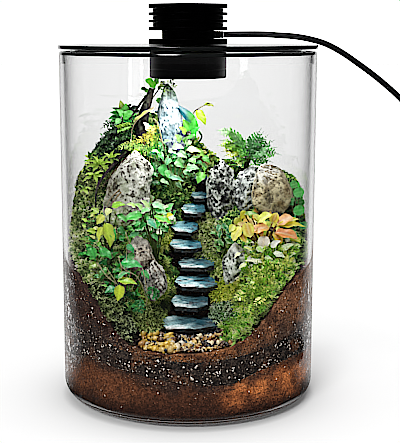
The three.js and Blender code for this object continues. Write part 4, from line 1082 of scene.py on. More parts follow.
def hill_colour(v):
    az = np.degrees(np.arctan2(v[:, 0], -v[:, 1]))
    front = srgb(118, 78, 50)
    left = srgb(60, 42, 35)
    right = srgb(128, 90, 66)
    c = mix(front, left, step(-12, -40, az))
    c = np.where((az > 20)[:, None], mix(front, right, step(20, 40, az)), c)
    dark = step(-0.15, 0.4, fbm(v, 9, 3, 21))
    c = mix(c, srgb(44, 30, 24), 0.75 * dark)
    top = gravel_top(v[:, 0], v[:, 1])
    low = step(16, 2, v[:, 2] - top + 8 * noise(v, 13, 33)) * step(16, 40, np.abs(az))
    c = mix(c, srgb(56, 48, 44), 0.8 * low)
    # Painted shade: away from the glass the soil's top is darkened almost to black, for the shade on the open path
    # between the slates and under the plants.
    inside = step(93, 88, np.hypot(v[:, 0], v[:, 1]))
    return mix(c, srgb(30, 21, 17), 0.85 * inside)


hill = fill_layer(
    "hill", "soil_hill", ground, lambda x, y: gravel_top(x, y) + 0.04, hill_colour, None, None,
    tuple(np.arange(94.5, 1, -1.9)), 53, 1.1,
)
hz = lambda x, y: ground(x, y) - 0.3
side_grains(hill, 1500, lambda x, y: gravel_top(x, y) - 0.3, hz, [srgb(150, 100, 66), srgb(74, 50, 40), srgb(50, 38, 32), srgb(196, 160, 124)], [0.3, 0.3, 0.28, 0.12], (0.3, 0.6), 74)
# White and tan flecks, thickest where the grit runs up the wall at the sides.
side_grains(
    hill, 1700, lambda x, y: gravel_top(x, y), lambda x, y: np.minimum(gravel_top(x, y) + 2 + 0.42 * np.abs(x) * step(20, 90, np.abs(x)), hz(x, y)),
    [srgb(190, 182, 170), srgb(150, 124, 100)], [0.32, 0.68], (0.18, 0.34), 75, 0.14,
)
# Crumbs on the open soil of the path.
rng = np.random.default_rng(88)
n = 2600
y = rng.uniform(-90, 34, n)
x = path_x(y) + path_half(y) * rng.uniform(-1.25, 1.25, n)
ok = np.hypot(x, y) < 92
x, y = x[ok], y[ok]
sz = rng.uniform(0.4, 1.1, len(x))
o = np.stack([x, y, ground(x, y) + 0.2 + rng.uniform(-0.2, 0.5, len(x))], 1)
col = np.where(rng.uniform(size=(len(x), 1)) < 0.15, [srgb(120, 96, 74)], [srgb(28, 21, 18)]) * rng.uniform(0.6, 1.4, (len(x), 1))
hill.copies(CHIP_V, CHIP_F, o, random_rot(len(x), rng), sz[:, None] * rng.uniform(0.6, 1.2, (len(x), 3)), col, 1)
hill = hill.object("hill_soil", [M["earth"], M["soil"]], slot="planting_soil")
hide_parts("soil_hill")


# ------------------------------------------------------------------ stones
def lcg(seed):
    s = seed & 0xFFFFFFFF
    while True:
        s = (s * 1664525 + 1013904223) & 0xFFFFFFFF
        yield s / 4294967296


def stone_faces(seed, count):
    r = lcg(seed)
    out = []
    for k in range(count):
        z = 1 - (2 * (k + 0.5)) / count
        a = k * 2.399963 + next(r) * 0.9
        w = math.sqrt(1 - z * z)
        out.append((w * math.cos(a), w * math.sin(a), z, 0.8 + 0.2 * next(r)))
    return np.array(out)


def stone_points(c, s, taper=0.0, lean=(0, 0), seed=1, n=14, level=6, cuts=()):
    u, f = ico(level)
    u = unit(u)
    planes = stone_faces(seed, n)
    if cuts:
        q = np.array(cuts, float)
        q[:, :3] = unit(q[:, :3])
        planes = np.vstack([planes, q])
    m = u @ planes[:, :3].T
    d = np.where(m > 0.05, planes[:, 3] / np.maximum(m, 0.05), 9)
    d = np.concatenate([d, np.full((len(u), 1), 1.12)], 1)
    # Soft minimum, so that the faces meet in worn edges.
    k = 34.0
    r = -np.log(np.sum(np.exp(-k * d), 1)) / k
    r = np.minimum(r, 1.12)
    v = u * r[:, None]
    t = 1 - taper * v[:, 2]
    p = np.stack(
        [
            c[0] + v[:, 0] * s[0] * t + lean[0] * v[:, 2] * s[2],
            c[1] + v[:, 1] * s[1] * t + lean[1] * v[:, 2] * s[2],
            c[2] + v[:, 2] * s[2],
        ],
        1,
    )
    out = unit(u / np.array(s)[None])
    return p, f, out, u


STONES = {
    "rock_peak": dict(c=(-15.5, 42, 212), s=(12.5, 13, 38), taper=0.28, lean=(-0.02, 0.05), seed=11, n=15, cuts=[(0.1, -0.1, 1, 0.9)]),
    "rock_left_tall": dict(c=(-47.5, -9, 164.5), s=(18, 15, 34.5), taper=0.14, lean=(0.24, 0.06), seed=23, n=13, cuts=[(-0.25, -0.2, 1, 0.84), (0.3, -0.2, 1, 0.88), (-1, -0.2, 0.5, 0.9)]),
    "rock_left_low": dict(c=(-37, -29, 117), s=(12, 11, 16.5), taper=0.3, lean=(-0.05, 0), seed=37, n=13),
    "rock_left_ribbed": dict(c=(-26, -45.5, 101), s=(9.8, 9.5, 14.5), taper=0.1, lean=(0, 0), seed=41, n=12),
    "rock_center_dark": dict(c=(28, 12, 160), s=(12.6, 12, 31), taper=0.04, lean=(0, 0.05), seed=53, n=14, cuts=[(-0.3, -0.2, 1, 0.84)]),
    "rock_right_boulder": dict(c=(66, 1, 163.5), s=(16.4, 16, 24.5), taper=0.05, lean=(-0.08, 0), seed=73, n=12, cuts=[(0.05, -0.25, 1, 0.66), (0.75, -0.2, 0.75, 0.86), (-1, 0, 0.3, 0.86)]),
    "rock_right_low": dict(c=(36.5, -31, 109.5), s=(10.2, 10, 17.5), taper=0.2, lean=(0.02, 0), seed=83, n=13),
}
SHOULDER = dict(c=(47.6, 8.0, 163.5), s=(10.6, 10, 21.5), taper=0.1, lean=(0.08, 0), seed=61, n=12, cuts=[(-0.35, -0.3, 1, 0.7)])


def weather(p, out, seed, rough=1.0, pit=1.0, pit_size=3.4, crag=0.0):
    """Roughens a stone along its outward directions; gives the new points and how deep each lies."""
    big = fbm(p, 13, 3, seed) * 1.5
    small = fbm(p, 3.2, 4, seed + 3, 0.6) * 0.75
    ridge = (1 - np.abs(fbm(p, 7, 3, seed + 6))) ** 3
    d1, d2, own = cells(p + 1.4 * np.stack([noise(p, 4, seed + q) for q in (1, 2, 3)], 1), pit_size, seed)
    holes = -step(0.55, 0.15, d1) * (own < 0.5)
    d = big * 0.55 * rough + small * rough + pit * 1.15 * holes - crag * 2.6 * step(0.35, 0.9, 1 - ridge)
    return p + out * d[:, None], d, holes, ridge


def stone_colour(name, p, out, d, holes, ridge, u):
    w = p @ np.array([[0.80, 0.36, -0.48], [-0.52, 0.82, -0.25], [0.30, 0.45, 0.84]])
    n1 = fbm(p, 6, 4, 91)
    n2 = noise(p, 1.5, 7)
    up = out[:, 2]
    # Painted shade: on each stone the weathered hollows, where the surface sinks in, are darkened.
    hollow_shade = step(-0.1, -0.9, d)
    pin = noise(p, 0.95, 9)
    if name == "rock_peak":
        # Painted shade: lower down the stone is darker and bluer, over its own random tone, and the teal streaks
        # thicken there too.
        c = mix(srgb(204, 220, 224), srgb(142, 170, 182), step(-0.05, 0.45, n1 + 0.3 * step(222, 190, p[:, 2])))
        q = w * (1, 1, 0.6)
        f1 = 0.55 * noise(q, 1.3, 19) + 0.5 * fbm(q, 4.5, 3, 22)
        c = mix(c, srgb(84, 120, 130), 0.8 * step(0.02, 0.4, f1 + 0.12 * step(232, 186, p[:, 2])))
        c = mix(c, srgb(52, 70, 74), 0.6 * step(0.3, 0.55, f1))
        crown = step(230, 241, p[:, 2] + 3 * n1)
        c = mix(c, srgb(150, 164, 120), 0.6 * crown)
        c = mix(c, srgb(38, 52, 26), 0.9 * crown * step(-0.05, 0.2, noise(p, 1.6, 21)))
        c = mix(c, srgb(96, 108, 108), 0.5 * hollow_shade)
    elif name == "rock_left_tall":
        q = w * (1, 1, 0.7)
        c = mix(srgb(250, 250, 238), srgb(196, 202, 176), step(-0.1, 0.5, n1))
        f1 = 0.5 * noise(q, 1.2, 19) + 0.3 * noise(q, 2.6, 20) + 0.45 * fbm(q, 7, 3, 33)
        c = mix(c, srgb(128, 124, 100), 0.6 * step(-0.02, 0.2, f1))
        # The dark mix follows the stone's own veining, and in the deepest hollows it is painted shade.
        c = mix(c, srgb(44, 40, 32), 0.8 * np.maximum(0.4 * step(-0.6, -1.1, d), step(0.14, 0.4, f1)))
        # Painted shade: the left side of the stone is darkened.
        left = step(-46, -60, p[:, 0] + 0.35 * (p[:, 2] - 165)) * step(140, 160, p[:, 2])
        c = mix(c, srgb(84, 72, 52), 0.55 * left)
        green = step(166, 142, p[:, 2] + 6 * n1) * step(-34, -48, p[:, 0])
        c = mix(c, srgb(150, 168, 96), 0.6 * green * step(-0.5, 0.2, n2))
        c = mix(c, srgb(150, 172, 120), 0.45 * step(160, 138, p[:, 2] + 7 * n1) * step(-0.3, 0.3, n2))
    elif name == "rock_left_low":
        f1 = 0.5 * noise(w, 1.2, 81) + 0.3 * noise(w, 2.4, 82) + 0.45 * fbm(w, 6, 3, 83)
        c = mix(srgb(214, 200, 180), srgb(150, 122, 100), step(-0.1, 0.5, n1))
        c = mix(c, srgb(34, 28, 25), 0.85 * np.maximum(0.7 * hollow_shade, step(0.06, 0.36, f1)))
        c = mix(c, srgb(236, 234, 222), 0.7 * step(-0.1, -0.4, f1))
        # Painted light: the top of the stone is whitened.
        c = mix(c, srgb(232, 226, 218), 0.6 * step(122, 130, p[:, 2]))
    elif name == "rock_left_ribbed":
        rib = np.sin(p[:, 0] * 1.9 + 0.9 * p[:, 2] + 3.4 * n1)
        c = mix(srgb(214, 212, 202), srgb(126, 118, 106), step(-0.1, 0.9, rib))
        f1 = 0.5 * noise(w, 1.2, 86) + 0.3 * noise(w, 2.4, 87) + 0.45 * fbm(w, 6, 3, 88)
        c = mix(c, srgb(30, 27, 24), 0.85 * np.maximum(0.7 * hollow_shade, step(0.06, 0.36, f1)))
        c = mix(c, srgb(232, 230, 220), 0.6 * step(-0.1, -0.4, f1))
    elif name == "rock_center_dark":
        # Painted light: the tone is raised on the top and on the left side of the stone.
        top = step(164, 184, p[:, 2] + 5 * n1)
        tone = fbm(p, 6, 3, 47) + 0.4 * top + 0.25 * step(0.4, -0.6, unit(p - p.mean(0))[:, 0])
        q = w * (1, 1, 0.7)
        fine = 0.5 * noise(q, 1.2, 49) + 0.3 * noise(q, 2.6, 50) + 0.45 * fbm(q, 6, 3, 51)
        c = mix(srgb(60, 62, 58), srgb(186, 192, 182), step(-0.35, 0.6, tone))
        c = mix(c, srgb(10, 10, 10), 0.85 * np.maximum(step(-0.02, -0.3, fine), 0.8 * hollow_shade))
        c = mix(c, srgb(226, 230, 224), 0.85 * step(0.14, 0.38, fine + 0.18 * tone))
    elif name == "rock_right_boulder":
        q = w * (0.8, 1, 1)
        fine = 0.5 * noise(q, 1.2, 59) + 0.25 * noise(q, 2.4, 60) + 0.45 * fbm(q, 6, 3, 61)
        c = mix(srgb(206, 196, 158), srgb(150, 132, 94), step(-0.2, 0.5, n1))
        c = mix(c, srgb(84, 68, 46), 0.65 * step(0.04, 0.4, fine))
        c = mix(c, srgb(212, 200, 164), 0.6 * step(-0.1, -0.34, fine))
        # Painted highlight: the upward-facing top left of the boulder is whitened.
        painted_top_light = step(170, 181, p[:, 2] + 0.5 * (66 - p[:, 0]) + 4 * n1) * step(-0.1, 0.4, up)
        c = mix(c, srgb(236, 236, 228), 0.85 * painted_top_light * step(0.35, 0.0, fine))
        c = mix(c, srgb(44, 32, 26), 0.9 * step(152, 143, p[:, 2] + 4 * n1))
        c = mix(c, srgb(30, 24, 20), 0.6 * hollow_shade)
    elif name == "shoulder":
        fine = 0.5 * noise(w, 1.2, 69) + 0.3 * noise(w, 2.5, 70) + 0.4 * fbm(w, 6, 3, 71)
        c = mix(srgb(200, 208, 202), srgb(104, 106, 102), step(-0.2, 0.4, n1))
        c = mix(c, srgb(22, 21, 20), 0.85 * np.maximum(step(-0.08, -0.34, fine), 0.7 * hollow_shade))
        c = mix(c, srgb(236, 240, 234), 0.8 * step(0.1, 0.36, fine))
    else:
        f1 = 0.5 * noise(w, 1.2, 91) + 0.3 * noise(w, 2.4, 92) + 0.45 * fbm(w, 6, 3, 93)
        c = mix(srgb(210, 218, 204), srgb(132, 138, 122), step(-0.2, 0.4, n1))
        c = mix(c, srgb(32, 31, 28), 0.85 * np.maximum(0.7 * hollow_shade, step(0.08, 0.38, f1)))
        c = mix(c, srgb(238, 242, 232), 0.7 * step(-0.05, -0.4, f1))
        # Painted light: the top of the stone is whitened.
        c = mix(c, srgb(228, 228, 220), 0.6 * step(118, 126, p[:, 2]))
    return c * (0.92 + 0.16 * _hash(np.arange(len(p)), 1, 2, 3)[:, None])


LOOKS = {
    "rock_peak": dict(rough=0.8, pit=0.35, pit_size=2.2, crag=0.25),
    "rock_left_tall": dict(rough=1.05, pit=0.5, pit_size=1.8, crag=0.45),
    "rock_left_low": dict(rough=1.0, pit=1.0, pit_size=2.8, crag=0.4),
    "rock_left_ribbed": dict(rough=0.9, pit=0.9, pit_size=2.6, crag=0.5),
    "rock_center_dark": dict(rough=1.35, pit=0.8, pit_size=2.4, crag=1.0),
    "rock_right_boulder": dict(rough=0.9, pit=0.35, pit_size=1.9, crag=0.3),
    "rock_right_low": dict(rough=1.0, pit=1.0, pit_size=2.8, crag=0.4),
}
SLOTS = {
    "rock_peak": "stone_white", "rock_left_tall": "stone_grey", "rock_left_low": "stone_pink", "rock_left_ribbed": "stone_grey",
    "rock_center_dark": "stone_dark", "rock_right_boulder": "stone_tan", "rock_right_low": "stone_grey",
}
for name, spec in STONES.items():
    big = name in ("rock_left_tall", "rock_peak", "rock_center_dark", "rock_right_boulder")
    s = Soup()
    p, f, out, u = stone_points(**spec, level=7 if big else 6)
    p, d, holes, ridge = weather(p, out, spec["seed"], **LOOKS[name])
    s.add(p, f, stone_colour(name, p, out, d, holes, ridge, u))
    if name == "rock_right_boulder":
        p, f, out, u = stone_points(**SHOULDER, level=6)
        p, d, holes, ridge = weather(p, out, 61, rough=1.2, pit=0.7, pit_size=2.2, crag=0.8)
        s.add(p, f, stone_colour("shoulder", p, out, d, holes, ridge, u))
    o = s.object("stone_" + name[5:], M["rock"], slot=SLOTS[name])
    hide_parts(name)

# ------------------------------------------------------------------ slates
STEPS = [
    dict(c=(-0.1, -51, 68.2), w=43, d=21, t=4.2, tip=0.3, yaw=0.03, seed=101),
    dict(c=(1.6, -41, 82.3), w=31, d=20, t=4.6, tip=0.3, yaw=-0.06, seed=102),
    dict(c=(6.0, -31, 95.6), w=34, d=20, t=5.0, tip=0.34, yaw=0.08, seed=103),
    dict(c=(7.0, -21, 108.6), w=31, d=20, t=4.4, tip=0.28, yaw=-0.04, seed=104),
    dict(c=(-1.6, -11, 121.2), w=26.5, d=20, t=4.4, tip=0.28, yaw=0.05, seed=105),
    dict(c=(-2.0, -1, 133.6), w=23, d=19, t=4.6, tip=0.34, yaw=-0.05, seed=106),
    dict(c=(4.5, 9, 146.6), w=20.5, d=18, t=4.6, tip=0.34, yaw=0.06, seed=107),
    dict(c=(9.8, 19.2, 156.0), w=15, d=15, t=4.0, tip=0.3, yaw=0.1, seed=108),
    dict(c=(10.6, 30.5, 169.0), w=12, d=13, t=4.0, tip=0.3, yaw=0.15, seed=109),
]


def slate(spec):
    """A split slate: an uneven outline, its side in thin leaves, its top in shallow steps."""
    r = lcg(spec["seed"])
    w, d, t = spec["w"], spec["d"], spec["t"]
    corners = []
    for k in range(7):
        a = ((k + 0.5) / 7) * 2 * math.pi
        q = 0.9 + 0.2 * next(r)
        corners.append(
            (
                math.copysign(abs(math.cos(a)) ** 0.62, math.cos(a)) * w / 2 * q,
                math.copysign(abs(math.sin(a)) ** 0.62, math.sin(a)) * d / 2 * q,
            )
        )
    C = np.array(corners + [corners[0]])
    per = []
    m = 24
    for a, b in zip(C[:-1], C[1:]):
        per.append(a + (b - a) * np.linspace(0, 1, m, endpoint=False)[:, None])
    P = np.concatenate(per)
    n = len(P)
    seed = spec["seed"]
    rad = unit(P)
    rows = []
    zs = np.array([-0.5, -0.46, -0.3, -0.14, 0.02, 0.18, 0.34, 0.45, 0.5]) * t
    for k, z in enumerate(zs):
        q = np.stack([P[:, 0], P[:, 1], np.full(n, z * 3.0)], 1)
        g = 0.75 * fbm(q, 5, 3, seed) + 0.55 * noise(np.stack([P[:, 0], P[:, 1], np.full(n, k * 9.0)], 1), 2.6, seed + 2)
        shrink = {0: 1.6, 1: 0.8, len(zs) - 2: 0.15, len(zs) - 1: 0.5}.get(k, 0.0)
        rr = P + rad * (g - shrink - 0.3)[:, None]
        rows.append(np.concatenate([rr, np.full((n, 1), z)], 1))
    top = []
    for q in (0.94, 0.86, 0.75, 0.62, 0.48, 0.34, 0.2, 0.08):
        top.append(np.concatenate([P * q, np.full((n, 1), t / 2)], 1))
    bottom = [np.concatenate([P * q, np.full((n, 1), -t / 2)], 1) for q in (0.3, 0.7)]
    allrows = bottom + rows + top
    v = np.concatenate(allrows + [[[0, 0, t / 2]], [[0, 0, -t / 2]]])
    # Shallow split steps in the top face.
    up = v[:, 2] > t / 2 - 0.01
    lift = 0.28 * np.floor(2.6 * (fbm(v * (1, 1.6, 1), 9, 3, seed + 5) + 0.5)) - 0.3 + 0.22 * fbm(v, 3, 3, seed + 8)
    v[:, 2] += np.where(up, lift, 0)
    k = np.arange(n)
    l = (k + 1) % n
    tris = []
    for i in range(len(allrows) - 1):
        a, b = i * n, (i + 1) * n
        tris += [np.stack([a + k, a + l, b + l], 1), np.stack([a + k, b + l, b + k], 1)]
    c1 = len(allrows) * n
    tris.append(np.stack([(len(allrows) - 1) * n + k, (len(allrows) - 1) * n + l, k * 0 + c1], 1))
    tris.append(np.stack([l, k, k * 0 + c1 + 1], 1))
    tris = np.concatenate(tris)
    edge = np.abs(v[:, 2]) < t / 2 - 0.4
    front = step(0.2, 1.0, -v[:, 1] / (d / 2))
    n1, n2 = fbm(v, 7, 3, seed + 11), noise(v, 1.5, seed + 12)
    streak = noise(v * (0.35, 1, 1), 1.5, seed + 13)
    # Painted light and shade on the top: paler toward the left front, darker toward the right and back, where the dark
    # streaks also gather.
    shade_to_right = step(-0.9, 1.0, v[:, 0] / (w / 2) + 0.7 * n1)
    pale = (1 - shade_to_right) * (0.35 + 0.65 * front)
    c = mix(srgb(40, 90, 104), srgb(184, 222, 222), step(0.05, 0.7, pale + 0.25 * n1 + 0.12 * streak))
    # Painted highlights: near-white patches on the pale part of the top.
    c = mix(c, srgb(244, 250, 252), 0.95 * step(0.36, 0.72, pale + 0.4 * streak + 0.2 * n1))
    c = mix(c, srgb(12, 24, 32), 0.8 * step(0.25, 0.6, -0.8 * streak + 0.5 * n2 + 0.25 * shade_to_right))
    tone = [0.5, 0.5, 1.1, 0.6, 1.15, 1.1, 1.0, 0.7, 0.55][spec["seed"] - 101]
    # More painted light: each slate brighter toward its left.
    c = np.clip(c * tone * (2.3 - 0.7 * shade_to_right)[:, None], 0, 0.95)
    # Painted shade: the split sides are near black with some blue-grey, and the underside nearly black.
    c = np.where(edge[:, None], mix(srgb(8, 10, 12), srgb(70, 96, 108), 0.8 * step(0.3, 0.7, n2)), c)
    c = np.where((v[:, 2] < -t / 2 + 0.5)[:, None], srgb(14, 15, 17), c)
    ct, st = math.cos(spec["tip"]), math.sin(spec["tip"])
    v = np.stack([v[:, 0], v[:, 1] * ct - v[:, 2] * st, v[:, 1] * st + v[:, 2] * ct], 1)
    cy, sy = math.cos(spec["yaw"]), math.sin(spec["yaw"])
    v = np.stack([v[:, 0] * cy - v[:, 1] * sy, v[:, 0] * sy + v[:, 1] * cy, v[:, 2]], 1)
    return v + np.array(spec["c"]), tris, c


for k, spec in enumerate(STEPS):
    v, t, c = slate(spec)
    o = Soup().add(v, t, c).object(f"slate_{k + 1}", M["slate"], slot="slate_blue")
    fix_normals(o)
    edge_split(o, 30)
    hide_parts(f"slate_step_{k + 1}")

# ------------------------------------------------------------------ pebbles
rng = np.random.default_rng(505)
PEB_V, PEB_F = ico(2)
bed = Soup()
g = []
for x in np.arange(-38, 38, 1.6):
    for y in np.arange(-91, -58, 1.6):
        g.append((x, y))
g = np.array(g) + rng.uniform(-0.7, 0.7, (len(g), 2))
ok = (np.hypot(g[:, 0], g[:, 1]) < 93.2) & (np.abs(g[:, 0] + 1) < 34 + 3 * noise(np.c_[g, g[:, :1] * 0], 6, 4)) & (g[:, 1] < -60)
g = g[ok]
# Pebble sizes: mostly small, about one in eight larger.
n = len(g)
sz = rng.uniform(0.75, 1.3, n)
big = rng.uniform(size=n) < 0.12
sz = np.where(big, rng.uniform(1.7, 2.9, n), sz)
sz = np.where(big & (g[:, 0] < -4) & (g[:, 0] > -36), sz * 1.3, sz)
z = ground(g[:, 0], g[:, 1]) + 0.35 + sz * 0.45 + rng.uniform(0, 1.1, n)
lim = np.hypot(g[:, 0], g[:, 1]) + sz * 1.2
g = g * (np.minimum(lim, 95.2) / lim)[:, None]
cols = np.array([srgb(214, 180, 110), srgb(168, 124, 70), srgb(96, 68, 44), srgb(236, 218, 176), srgb(46, 34, 26), srgb(216, 204, 184)])
pick = rng.choice(6, n, p=[0.22, 0.2, 0.2, 0.1, 0.2, 0.08])
col = cols[pick] * rng.uniform(0.8, 1.2, (n, 1))
yellow = step(-40, -30, g[:, 0]) * step(-4, -14, g[:, 0])
col = mix(col, srgb(222, 182, 64), 0.65 * yellow * (rng.uniform(size=n) < 0.6))
bed.copies(PEB_V, PEB_F, np.c_[g, z], random_rot(n, rng), sz[:, None] * rng.uniform([0.8, 0.7, 0.5], [1.25, 1.1, 0.8], (n, 3)), col)
# Dark grit between the bed and the first slate.
n = 900
x = rng.uniform(-28, 28, n)
y = rng.uniform(-66, -50, n)
sz = rng.uniform(0.4, 1.1, n)
cc = np.where(rng.uniform(size=(n, 1)) < 0.14, [srgb(212, 206, 198)], [srgb(38, 34, 32)]) * rng.uniform(0.6, 1.3, (n, 1))
bed.copies(GRAIN_V, GRAIN_F, np.stack([x, y, ground(x, y) + 1.0 + rng.uniform(-0.3, 0.8, n)], 1), random_rot(n, rng), sz[:, None] * rng.uniform(0.7, 1.2, (n, 3)), cc)
bed = bed.object("pebbles", M["pebble"], slot="pebble_tan")
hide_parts("pebble_bed")

# ------------------------------------------------------------------ driftwood
wood = Soup()


def limb(points, radii, n, sides, seed, knots=0.0):
    L = spline(points, n)
    r = np.interp(np.linspace(0, 1, n), np.linspace(0, 1, len(radii)), radii)
    v, f = tube(L, r, sides)
    centre = np.repeat(L, sides, 0)
    m = n * sides
    out = unit(v[:m] - centre)
    rr = np.repeat(r, sides)
    along = np.repeat(np.linspace(0, 1, n) * np.sum(np.linalg.norm(np.diff(L, axis=0), axis=1)), sides)
    ang = np.tile(np.arange(sides) / sides * 2 * np.pi, n)
    q = np.stack([np.cos(ang) * 6 * rr / 5, np.sin(ang) * 6 * rr / 5, along * 0.3], 1)
    d = rr * (0.17 * fbm(q, 2.2, 4, seed, 0.6) + 0.12 * noise(v[:m], 5, seed + 2) - 0.05)
    v[:m] += out * d[:, None]
    # Painted shade: the bark is darker where its surface sinks in.
    c = mix(srgb(56, 46, 38), srgb(16, 14, 12), step(-0.2, 0.3, -d / np.maximum(rr, 0.5) * 3))
    c = mix(c, srgb(110, 116, 96), 0.5 * step(0.2, 0.5, noise(v[:m], 1.8, seed + 9)))
    c = np.vstack([c, np.tile(srgb(60, 44, 32), (len(v) - m, 1))])
    wood.add(v, f, c)
    return L


limb([(-34, 22, 168), (-38, 23, 196), (-37.5, 26, 214), (-33.5, 30, 230), (-29.5, 32, 243)], [5.2, 5, 4.7, 4.4, 2.2], 90, 36, 1)
limb([(-37.5, 25, 200), (-53, 14, 190), (-65, -4, 178), (-70.5, -20, 168), (-71, -27, 153)], [2.0, 1.5, 1.15, 1.0, 0.6], 90, 12, 2)
limb([(-31, 31, 238), (-38, 24, 232), (-47, 17, 219)], [1.4, 1.0, 0.6], 40, 10, 3)
# Fine pale rootlets that hang over the wood and down beside it.
roots = [
    [(153.7, 107.4, 24), (146, 113, 22), (139, 118.5, 20), (133.7, 124, 18), (131.6, 132, 16), (131.0, 142, 14)],
    [(152, 108, 25), (145, 111.5, 25), (139, 117, 24)],
    [(155, 121, 26), (158.5, 128, 24), (161.5, 139, 22), (164.5, 151, 20)],
    [(153, 118, 25), (157, 123, 24), (160, 132, 22), (161, 142, 20)],
    [(126, 157.6, -18), (118, 166, -22), (110.5, 176, -26), (103.5, 186.6, -30)],
    [(121, 192, -30), (114.5, 200.5, -33), (106.5, 211, -36)],
    [(120, 189, -30), (112, 197, -33), (107, 205, -35)],
]
for k, r in enumerate(roots):
    P = np.array([at(*q) for q in r])
    L = spline(P, 26)
    L = L + 0.5 * np.stack([noise(L, 6, 70 + k + q) for q in (0, 40, 80)], 1)
    v, f = tube(L, np.linspace(0.62, 0.34, 26), 7)
    c = mix(srgb(206, 196, 158), srgb(150, 140, 96), 0.5 + 0.5 * noise(v, 4, k)) if k < 4 else mix(srgb(52, 40, 30), srgb(176, 158, 128), (0.2 if k == 4 else 0.8))
    wood.add(v, f, c)
wood = wood.object("driftwood_branch", M["bark"], slot="wood_dark")
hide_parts("driftwood")

# ------------------------------------------------------------------ leaves
def pic(p):
    """Picture place of points, for choosing what grows where."""
    p = np.asarray(p, float)
    dep = (p[:, 1] - CAM_Y) * math.cos(PITCH) - (p[:, 2] - CAM_Z) * math.sin(PITCH)
    v = (p[:, 1] - CAM_Y) * math.sin(PITCH) + (p[:, 2] - CAM_Z) * math.cos(PITCH)
    return PX0 + FOCAL * p[:, 0] / dep, PY0 - FOCAL * v / dep


OUTLINES = {
    "ovate": lambda t: np.sin(np.pi * np.clip(t, 0, 1) ** 0.72) ** 0.85,
    "round": lambda t: np.sqrt(np.clip(1 - (2 * t - 1) ** 2, 0, 1)),
    "lance": lambda t: np.sin(np.pi * np.clip(t, 0, 1) ** 0.8) ** 1.15,
    "oblong": lambda t: np.clip(np.sin(np.pi * t), 0, 1) ** 0.5,
    "heart": lambda t: np.clip(np.sin(np.pi * np.clip(t, 0, 1) ** 0.55), 0, 1) ** 0.8,
}
NL, NW = 10, 6


def leaf_template(kind, arch=0.12, fold=0.12, wave=0.0, serrate=0.0, thick=0.0):
    """Unit leaf along +X, one wide, with a keel, an arched length and its own edge. Gives points, triangles and (t, s)."""
    t = np.linspace(0, 1, NL + 1)
    s = np.linspace(-1, 1, NW + 1)
    T, S = np.meshgrid(t, s, indexing="ij")
    w = OUTLINES[kind](T) * 0.5
    if serrate:
        w = w * (1 - serrate * (np.arange(NL + 1) % 2)[:, None])
    y = S * w
    z = fold * np.abs(S) * w * 1.0 - arch * (2 * T - 0.7) ** 2 * 0.5 + wave * np.sin(T * 11) * np.abs(S) ** 2 * w
    v = np.stack([T, y, z], -1).reshape(-1, 3)
    i, j = np.meshgrid(np.arange(NL), np.arange(NW), indexing="ij")
    a = (i * (NW + 1) + j).ravel()
    f = np.concatenate([np.stack([a, a + NW + 1, a + NW + 2], 1), np.stack([a, a + NW + 2, a + 1], 1)])
    if thick:
        under = v.copy()
        under[:, 2] -= thick * np.clip(1 - S.ravel() ** 2, 0, 1) * OUTLINES[kind](T).ravel() ** 0.5
        n = len(v)
        f = np.concatenate([f, f[:, ::-1] + n])
        v = np.concatenate([v, under])
        T, S = np.tile(T.ravel(), 2), np.tile(S.ravel(), 2)
    return v, f, T.ravel(), S.ravel()


